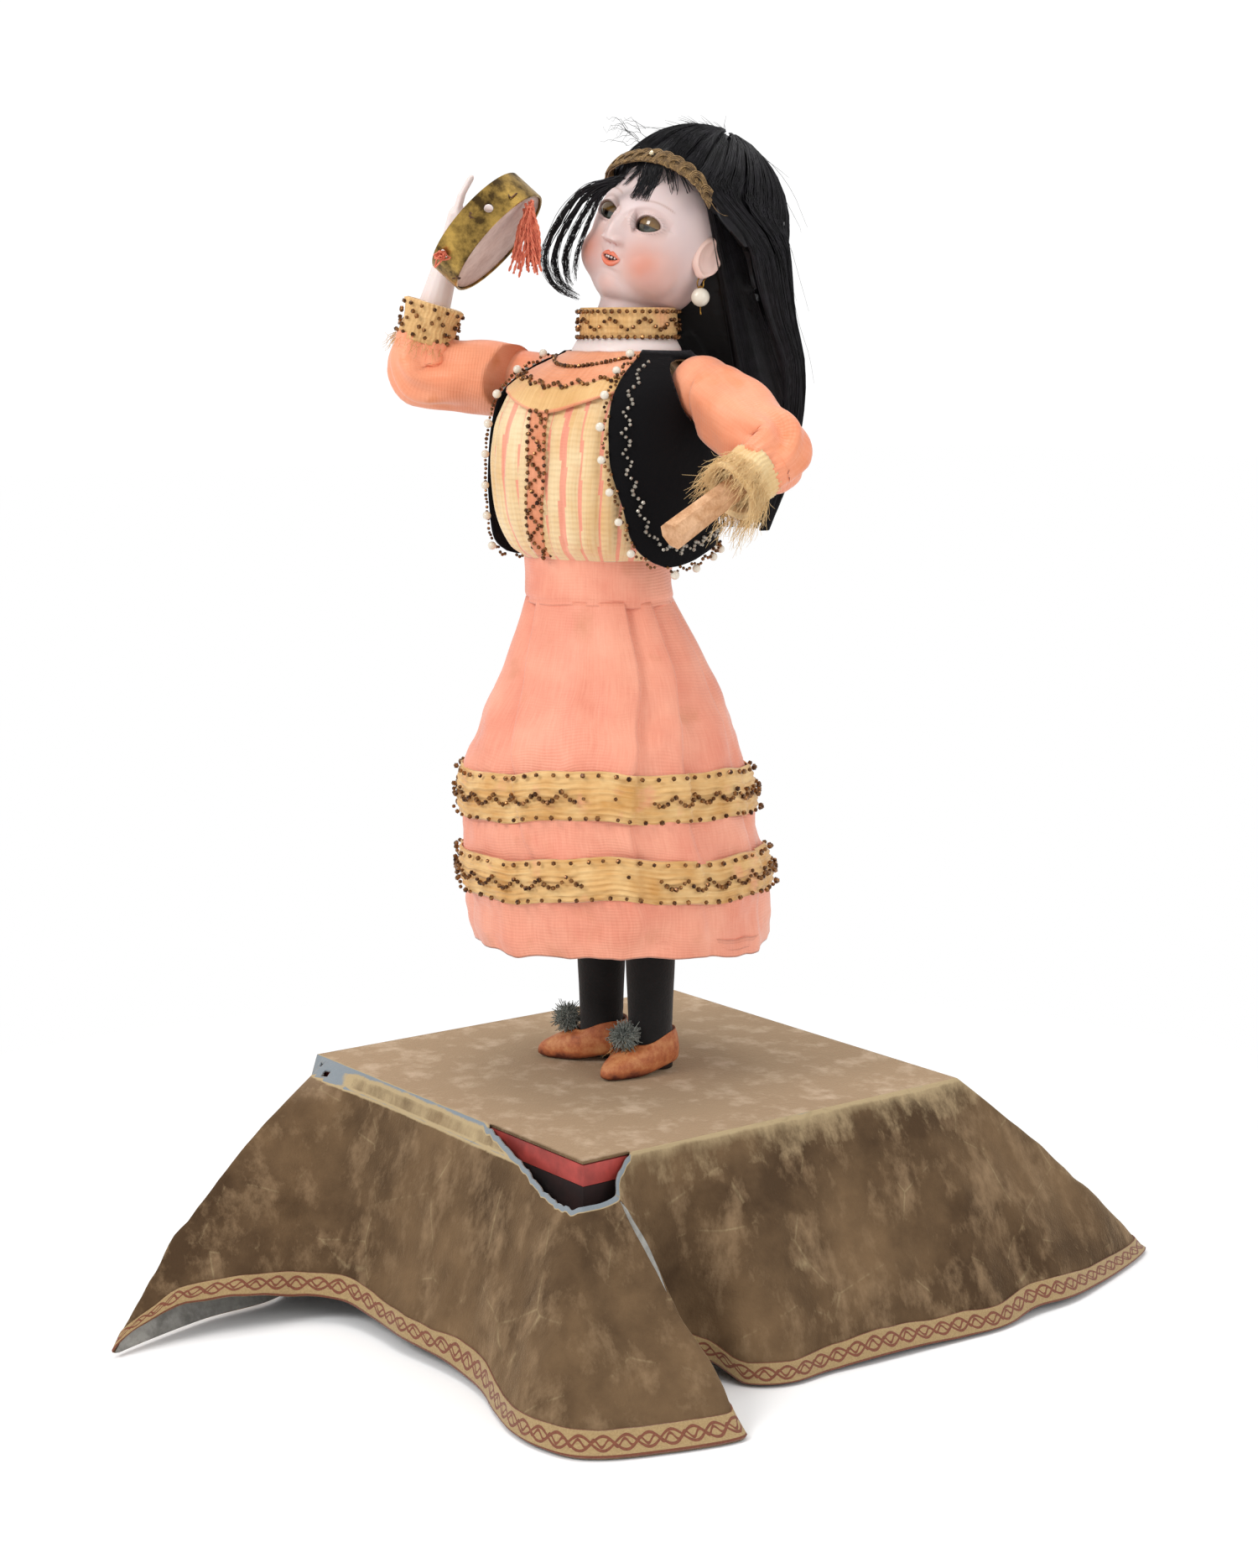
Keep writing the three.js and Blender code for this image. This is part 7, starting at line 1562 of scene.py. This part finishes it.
grown("painted_teeth", beads_tree,
      placed(np.array([(k, -27.4 + 0.12 * k * k, 21.5) for k in (-2.4, -0.85, 0.75, 2.3)]), face_place),
      body="head_body", slot="bisque", Radius=0.62 * mm, Detail=2, Uneven=0.08, Seed=17, Smooth=True,
      Finish=bare_bisque)
for made in [head] + ears[2:]:
    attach(made, "head_body")


# SLEEP EYES
# Two blown glass eyes on a wire with a lead weight. Their upper halves are waxed and painted as brown
# eyelids, half lowered over dark grey-green irises.
turn_grid, rise_grid = np.meshgrid(full_turn(72), np.radians(np.linspace(-89.5, 89.5, 60)))
ball_way = np.stack([np.sin(turn_grid) * np.cos(rise_grid), -np.cos(turn_grid) * np.cos(rise_grid),
                     np.sin(rise_grid)], -1)
# Glossy glass with the painted iris and waxed lid.
glass_eye, tree, shader = material("blown_glass_eye", Roughness=0.12, Coat_Weight=0.8, Coat_Roughness=0.05)
paint = add(tree, "ShaderNodeAttribute", attribute_name="tint")
tree.links.new(paint.outputs["Color"], shader.inputs["Base Color"])
for side, name in ((-1, "right"), (1, "left")):
    iris_way = Vector((0.06 * side, -1, -0.12)).normalized()
    off_iris = np.degrees(np.arccos(np.clip(ball_way @ np.array(iris_way), -1, 1)))
    level = np.degrees(np.arctan2(ball_way[..., 2], -ball_way[..., 1]))
    lid_line = -3.0 - 0.02 * np.degrees(turn_grid - 2 * math.pi * (turn_grid > math.pi)) ** 2 / 10
    closed = smooth(level, lid_line - 1.5, lid_line + 1.5) * (ball_way[..., 1] < 0.3)
    streak = np.array([0.5 + 0.5 * noise.noise(Vector(w) * 9)
                       for w in ball_way.reshape(-1, 3)]).reshape(level.shape)
    tint = np.array(linear("6c675a")) * np.ones(level.shape + (1,))
    painted("2c3229", smooth(off_iris, 44, 40))
    painted("626a5a", smooth(off_iris, 44, 40) * streak ** 2 * 0.7 * (off_iris > 13))
    painted("0b0b0a", smooth(off_iris, 14, 12))
    painted("5f4421", closed)
    painted("8f6d36", closed * (0.15 + 0.6 * streak) * smooth(level, lid_line + 26, lid_line + 6))
    painted("2b1a0e", np.exp(-((level - lid_line) / 2.2) ** 2) * (ball_way[..., 1] < 0.3))
    eye = (ball_way * (eye_radius - 0.35 + 0.2 * closed[..., None])
           + np.array([side * eye_side, eye_front, eye_height]))
    eye = tinted(grid(f"{name}_glass_eye", placed(eye, face_place), True, [glass_eye], cap_low=True,
                      cap_high=True), tint)
    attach(eye, "eyes")
    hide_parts("sleep_eyes")
plumb = np.array(head_turn.to_3x3().inverted() @ Vector((0, 0, -1)))
plumb = np.array([0, plumb[1], plumb[2]]) / math.hypot(plumb[1], plumb[2])
rocker_middle = np.array([0, eye_front, eye_height])
rocker_wires = np.array([[rocker_middle - (eye_side, 0, 0), rocker_middle + (eye_side, 0, 0)],
                         [rocker_middle, rocker_middle + plumb * 12.0]])
threads("eye_rocker", placed(rocker_wires, head_place), 1.2, oiled_steel, body="eyes", slot="eye_glass",
        sides=16, thin_tip=1.0)
grown("eye_lead_weight", beads_tree, placed((rocker_middle + plumb * 12.0)[None], head_place), body="eyes",
      slot="eye_glass", Radius=4 * mm, Detail=3, Uneven=0.0, Seed=1, Smooth=True, Finish=oiled_steel)


# WIG
# Long strands of black mohair sewn on a cloth cap: combed back from the forehead, falling loose behind the
# left shoulder, with a thin fringe and loose locks at the right temple. It is fine, dense and lustrous.
wig_middle, wig_half = np.array([5.0, 13.0, 42.0]), np.array([42.0, 46.0, 50.0])
fall_rows = [
    # height, then middle x and y, half width and half depth of the falling hair, in the figure's own frame
    (474, 9.6, 31, 47.0, 36.0), (456, 11.0, 36, 46.5, 30.0), (440, 12.0, 41, 45.5, 24.6),
    (423, 15, 47, 43.7, 19.3), (402, 15.2, 51.0, 40.7, 16.6), (373, 19.4, 50.4, 30.4, 12.9),
    (347, 23.5, 46, 19.5, 8.4),
]
# Between these angles round the crown the hair stops at the forehead.
face_from, face_to = -57.0, 39.0
# The combed mass is mapped by this many points down each line, one line for so many degrees.
hair_points, hair_step = 90, 1.5


def fall_line(behind, grow):
    """A line down the falling hair at an angle round it, from the neck to the ends."""
    turn = math.radians(behind)
    return [np.array([x + (half + grow) * math.sin(turn), y - (deep + grow) * math.cos(turn), z])
            for z, x, y, half, deep in fall_rows]


def hair_line(angle, grow=0.0):
    """The path of the hair at one angle round the crown, from the crown to its end, in the figure's frame."""
    a = math.radians(angle)
    over_face = face_from < angle < face_to
    polar = np.radians([1.2, 12, 24, 36, 46, 56, 63] if over_face else [1.2, 12, 26, 40, 52, 62, 70])
    over = np.stack([np.sin(polar) * math.sin(a), -np.sin(polar) * math.cos(a), np.cos(polar)], -1)
    line = list(placed(over * (wig_half + grow) + wig_middle,
                       Matrix.Translation((0, 0, neck_top)) @ head_turn))
    if not over_face:
        first = face_to if angle > 0 else -face_from
        line += fall_line(math.copysign(np.interp(abs(angle), (first, 75, 180), (68, 92, 180)), angle), grow)
    fine = rounded(line, 10, False)
    steps = run_along(fine)
    return at_run(fine, steps, np.linspace(0, steps[-1], hair_points))


hair_angles = np.arange(-180, 180, hair_step)
hair_map = np.array([hair_line(a) for a in hair_angles])
hair_away = np.array([hair_line(a, 1.0) for a in hair_angles]) - hair_map


def hair_at(angle, share, lift=0.0):
    """Points on the hair's outside at angles and shares of the way from crown to ends, lifted by so much."""
    place = ((np.asarray(angle, float) + 180) % 360) / hair_step
    col = np.floor(place).astype(int)
    row = np.clip(np.asarray(share, float), 0, 1) * (hair_points - 1.001)
    low = np.floor(row).astype(int)
    s, t = (place - col)[..., None], (row - low)[..., None]
    col, after = col % len(hair_map), (col + 1) % len(hair_map)
    front, back = ((hair_angles[c] > face_from) & (hair_angles[c] < face_to) for c in (col, after))
    s = np.where((front != back)[..., None], np.round(s), s)
    made = 0
    for part, c in ((1 - s, col), (s, after)):
        for share_of, r in ((1 - t, low), (t, low + 1)):
            made = made + part * share_of * (hair_map[c, r] + hair_away[c, r] * np.asarray(lift)[..., None])
    return made


# Black hair with a low silky sheen and browner strands.
black_mohair, tree, shader = material("black_mohair", Roughness=0.5, Specular_IOR_Level=0.35)
where = add(tree, "ShaderNodeTexCoord").outputs["Object"]
strand_tone = add(tree, "ShaderNodeTexNoise", {"Vector": where, "Scale": 1 / (5 * mm), "Detail": 5.0})
tone = add(tree, "ShaderNodeMapRange",
           {"Value": strand_tone.outputs["Fac"], "From Min": 0.35, "From Max": 0.7})
dyed = add(tree, "ShaderNodeMix", {"Factor": tone.outputs[0], 6: linear("080709"), 7: linear("1d1a20")},
           data_type="RGBA")
tree.links.new(dyed.outputs[2], shader.inputs["Base Color"])
rows = []
hair_round = [(math.sin(math.radians(a)), math.cos(math.radians(a))) for a in hair_angles]
for share in np.linspace(0, 1, 110):
    ridge = np.array([1.5 * noise.noise(Vector((s * 9, c * 9, share * 2.2)))
                      + 0.9 * noise.noise(Vector((s * 26, c * 26, share * 3.5))) for s, c in hair_round])
    ends = np.array([0.05 * noise.noise(Vector((a / 7, 4, 1))) + 0.03 * noise.noise(Vector((a / 2.3, 9, 1)))
                     for a in hair_angles])
    cut = np.where((hair_angles > face_from) & (hair_angles < face_to), 0.93, 0.96)
    rows.append(hair_at(hair_angles, share * (cut + ends * smooth(share, 0.6, 1)),
                        ridge * smooth(share, 0.02, 0.12) - 1.2))
hair_mass = thickened(grid("wig_hair_mass", placed(np.array(rows)[::-1], doll_place), True, [black_mohair],
                           cap_high=True), 4.0)
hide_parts("wig")
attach(hair_mass, "head_body")


def combed(name, seed, locks, angles, first, last, lift, thick, points=15):
    """Locks of a dozen hairs each that follow the combed mass and wander a little together."""
    rng = np.random.default_rng(seed)
    paths = []
    for _ in range(locks):
        angle = rng.uniform(*angles)
        begin = rng.uniform(*first)
        length = rng.uniform(*last)
        sway_size, sway_rate, sway_start = rng.normal() * 7, rng.uniform(5, 12), rng.uniform(0, 6)
        rise = rng.uniform(0.2, 1.0) * lift
        for k in range(12):
            along = np.linspace(begin + rng.uniform(0, 0.08),
                                min(1.0, begin + length * rng.uniform(0.8, 1.1)), points)
            run = along - begin
            drift = (sway_size * run + 1.4 * run * np.sin(along * sway_rate + sway_start)
                     + 0.25 * np.sin(along * rng.uniform(20, 40)))
            apart = rng.normal() * 1.5 * (1 - 0.5 * run)
            paths.append(hair_at(angle + apart + drift, along,
                                 rise * np.sin(math.pi * np.linspace(0.05, 1, points))
                                 + rng.uniform(-0.2, 0.5)))
    return threads(name, placed(np.array(paths), doll_place), thick, black_mohair, body="head_body",
                   slot="mohair", thin_tip=0.25)


combed("wig_strands_left", 51, 165, (face_to + 1, 185), (0.0, 0.5), (0.35, 0.8), 1.4, 0.25)
combed("wig_strands_right", 52, 150, (-185, face_from - 1), (0.0, 0.5), (0.35, 0.8), 1.4, 0.25)
combed("wig_strands_front", 53, 95, (face_from + 3, face_to - 3), (0.0, 0.4), (0.5, 0.9), 0.9, 0.22)
combed("wig_edge_strands", 56, 60, (face_to + 0.5, face_to + 8), (0.1, 0.45), (0.4, 0.9), 0.6, 0.24)
combed("wig_long_strands", 54, 34, (70, 280), (0.5, 0.75), (0.4, 0.6), 2.6, 0.22)

rows = []
for share in np.linspace(0.02, 0.86, 60):
    inwards = -7.5 - 14.0 * (1 - float(smooth(share, 0.0, 0.2))) - 5.0 * float(smooth(share, 0.5, 0.86))
    ring = [rounded(fall_line(b, inwards), 10, False)[int(share * 59)]
            + 0.9 * noise.noise(Vector((b / 9, share * 3, 2))) for b in range(0, 360, 3)]
    rows.append(ring)
# The dull, shaded hair below the combed strands.
under_hair = material("mohair_underlayer", Base_Color=linear("09080a"), Roughness=0.85)[0]
under = grid("wig_under_mass", placed(np.array(rows)[::-1], doll_place), True, [under_hair], cap_low=True,
             cap_high=True)
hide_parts("wig")
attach(under, "head_body")

# The temple locks hang in an upright plane: their points are given along it, out of it and up.
lock_along, lock_out = np.array([0.603, 0.798, 0.0]), np.array([0.798, -0.603, 0.0])
outer_lock = [(-4.0, 16, 502.0), (-15.0, 12, 499.5), (-24.0, 6, 495.0), (-33.5, 1, 482.5),
              (-39.2, -2, 469.0), (-36.0, -3, 457.5), (-27.5, -3, 451.5), (-21.0, -3, 449.0)]
inner_lock = [(-8.0, 14, 499.0), (-13.5, 10, 494.0), (-17.0, 5, 487.0), (-21.0, 1, 478.0),
              (-24.0, -2, 469.0), (-25.0, -3, 462.0), (-25.0, -3, 457.0), (-23.0, -3, 453.0)]
rng = np.random.default_rng(55)
loose = []
for mix in (0.0, 0.07, 0.3, 0.36, 0.62, 0.7, 0.98):
    middle = np.array(outer_lock) * (1 - mix) + np.array(inner_lock) * mix
    short = rng.uniform(0.78, 1.0)
    for k in range(26):
        own = (middle + np.cumsum(rng.normal(size=middle.shape) * (0.16, 0.4, 0.16), 0)
               + rng.normal(size=3) * 0.42)
        line = rounded(own, 5, False)[: int(36 * short * rng.uniform(0.8, 1.0))]
        line = line + 0.35 * np.sin(np.arange(len(line))[:, None] * 0.9 + rng.uniform(0, 6, 3))
        loose.append(np.outer(line[:, 0], lock_along) + np.outer(line[:, 1], lock_out)
                     + np.outer(line[:, 2], (0, 0, 1)))
threads("wig_temple_locks", loose, 0.2, black_mohair, body="head_body", slot="mohair", thin_tip=0.4)

fringe_locks = [
    # x at the root, x and height at the tip, number of hairs, width
    (-19, -22, 50, 26, 1.6), (-13, -16, 50, 18, 1.2), (-6, -9, 48.5, 24, 1.5), (0, -2, 49, 26, 1.6),
    (6, 6.5, 43.5, 60, 2.4), (9.5, 10.5, 44.5, 44, 2.0), (14, 16.5, 50, 12, 1.4), (17, 21, 44, 7, 1.6),
    (20, 24, 47, 6, 2.0),
]
fringe_top = 65.5
(_, _, skull_z), (skull_half, skull_deep, skull_tall) = head_forms[0]
fringe = []
for root_x, tip_x, tip_z, count, wide in fringe_locks:
    for k in range(count):
        a, b = root_x + rng.normal() * wide * 1.3, tip_x + rng.normal() * wide * 0.6
        low = tip_z + abs(rng.normal()) * 2.5
        line = []
        for t in np.linspace(0, 1, 9):
            x, z = a + (b - a) * t ** 1.3, fringe_top + (low - fringe_top) * t
            across, over = x / skull_half, (z - skull_z) / skull_tall
            skin_y = -skull_deep * math.sqrt(max(1 - across ** 2 - over ** 2, 0.01))
            across, over = (x - wig_middle[0]) / wig_half[0], (z - wig_middle[2]) / wig_half[2]
            hair_y = wig_middle[1] - wig_half[1] * math.sqrt(max(1 - across ** 2 - over ** 2, 0.01))
            near = smooth(t, 0.05, 0.75)
            line.append((x, (hair_y + 1.0) * (1 - near) + (skin_y - 1.4 - 0.5 * rng.random()) * near, z))
        fringe.append(line)
threads("wig_fringe", placed(np.array(fringe), head_place), 0.24, black_mohair, body="head_body",
        slot="mohair", thin_tip=0.3)

flying = []
for k in range(70):
    angle = rng.uniform(-180, 180)
    begin = rng.uniform(0.02, 0.6)
    along = np.linspace(begin, min(1, begin + rng.uniform(0.08, 0.3)), 8)
    flying.append(hair_at(angle + rng.normal() * 8 * np.linspace(0, 1, 8), along,
                          np.linspace(0.5, rng.uniform(2, 6), 8) ** 1.2))
for k in range(16):
    start = np.array([rng.uniform(-3, 8), 10 + rng.normal() * 3, rng.uniform(514, 524)])
    reach_out = np.array([-rng.uniform(6, 13), 0, rng.uniform(-3, 7)])
    line = [start + reach_out * t + np.array([0, 0, 3.0]) * math.sin(t * rng.uniform(2, 4))
            for t in np.linspace(0, 1, 8)]
    world = [p[0] * lock_along + p[1] * lock_out + np.array([0, 0, p[2]]) for p in line]
    flying.append(placed(np.array(world), doll_place.inverted()))
threads("wig_flyaway_hairs", placed(np.array(flying), doll_place), 0.12, black_mohair, body="head_body",
        slot="mohair", thin_tip=0.4)


# HEADBAND
# Antique gilt gimp: a flat braided foot with overlapping loops of stiffened cord, and one cut bead on it.

# Gilt thread gone brown, shining only here and there.
antique_gimp = mottled("antique_gilt_gimp", "a9885a", "55402a", 2.2, 0.5, 0.3, metallic=0.35)
band_half_width = 2.2
band_line = rounded([(-75, 54.5), (-45, 57.5), (-17, 61.3), (0, 63.4), (14, 63.7), (26, 62.4), (36, 60.2),
                     (44, 56.5), (54, 50.0)], 12, False)


def band_point(angle, up, lift):
    """A point of the band; angle goes round the hair, up is across the band, lift is off the hair."""
    z = np.interp(angle, band_line[:, 0], band_line[:, 1]) + up
    ring = math.sqrt(1 - ((z - wig_middle[2]) / wig_half[2]) ** 2)
    a = math.radians(angle)
    x = wig_middle[0] + (wig_half[0] * ring + lift) * math.sin(a)
    y = wig_middle[1] - (wig_half[1] * ring + lift) * math.cos(a)
    return np.array([x, y, z])


band_from, band_to = -71.0, 51.0
band_angles = np.linspace(band_from, band_to, 110)
rows = np.array([[band_point(a, up, 1.3 + 0.15 * math.sin(a * 6) - 0.1 * abs(up)) for a in band_angles]
                 for up in np.linspace(-band_half_width, band_half_width, 7)])
foot = thickened(grid("gimp_foot", placed(rows, head_place), False, [antique_gimp]), 0.5)
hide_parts("headband")
degrees_per_mm = 1.365
loops = []
for loop_radius, lift in ((3.4, 1.9), (2.7, 2.0), (2.0, 2.1), (1.3, 2.1)):
    turns = np.linspace(0, 2 * math.pi * 13.5, 13 * 20)
    along = band_from + 1 + (6.5 * turns / (2 * math.pi) - loop_radius * np.sin(turns)) * degrees_per_mm
    loops.append([band_point(a, 1.0 - loop_radius * math.cos(t) * 1.05, lift + 0.35 * math.sin(t))
                  for a, t in zip(along, turns)])
for up in (-1.9, -1.2, -0.5):
    turns = np.linspace(0, 2 * math.pi * 60, 300)
    loops.append([band_point(band_from + (band_to - band_from) * k / 299, up + 0.25 * math.sin(t),
                             1.75 + 0.2 * math.cos(t)) for k, t in enumerate(turns)])
gimp_loops = threads("gimp_loops", [placed(np.array(line), head_place) for line in loops], 0.3,
                     antique_gimp, body="head_body", slot="gimp", sides=5, thin_tip=1.0)
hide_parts("headband")
# One clear bead with a golden glint.
bead_crystal, tree, shader = material("cut_crystal_bead", Base_Color=linear("f3e6c4"), Roughness=0.06,
                                      Metallic=0.6)
grown("gimp_cut_bead", beads_tree, placed(band_point(4, 1.6, 3.0)[None], head_place), body="head_body",
      slot="gimp", Radius=1.2 * mm, Detail=1, Uneven=0.0, Seed=2, Finish=bead_crystal)
threads("gimp_loose_end",
        [placed(np.array([band_point(band_to - 2 + 2.0 * k, 0.6 * math.sin(k), 1.5 + 0.5 * k)
                          for k in range(7)]), head_place)], 0.22, antique_gimp, body="head_body",
        slot="gimp", sides=5)
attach(foot, "head_body")


# EARRINGS
# Gold-plated wire hooks through the ear lobes, each with a wax-filled glass pearl on a looped pin.

# Thin gold plate, warm and bright.
gold_wire = mottled("gold_plated_wire", "c99b4c", "7d5a2a", 3, 0.3, 0.02, metallic=1.0)
for side, at in (("right", (-29.93, 3.0, 24.12)), ("left", (29.93, 3.0, 24.12))):
    hook = placed(placed(np.array([at]), head_place), doll_place.inverted())[0]
    turns = np.linspace(-0.15, 1.62, 26) * math.pi
    ring = [hook + (0, -2.4 * math.sin(t) * 0.9, -2.4 + 2.4 * math.cos(t)) for t in turns]
    ring_end = [ring[-1] + np.array([0, 0.6 * k, 0.5 * k]) for k in (1, 2, 3)]
    bottom = hook[2] - 4.8
    eye = [np.array([hook[0] + 0.75 * math.sin(t), hook[1], bottom + 0.1 - 0.75 * math.cos(t) + 0.4])
           for t in np.linspace(0, 2 * math.pi, 16)]
    pin = [np.array([hook[0], hook[1], bottom - 0.2]), np.array([hook[0], hook[1], bottom - 4]),
           np.array([hook[0], hook[1], bottom - 9.6]), np.array([hook[0] + 0.3, hook[1], bottom - 11.0])]
    threads(f"{side}_earring_wire", [placed(np.array(line), doll_place)
                                     for line in (ring + ring_end, eye, pin)], 0.32, gold_wire,
            body=f"{side}_pearl", slot="brass", sides=8, thin_tip=1.0)
    pearl = grown(f"{side}_pearl_drop", beads_tree, placed(np.array([[hook[0], hook[1], bottom - 3.5]]),
                                                           doll_place), body=f"{side}_pearl", slot="pearl",
                  Radius=4.1 * mm, Detail=5, Uneven=0.0, Seed=1, Smooth=True, Finish=pearl_glass)
    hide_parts(f"{side}_earring")
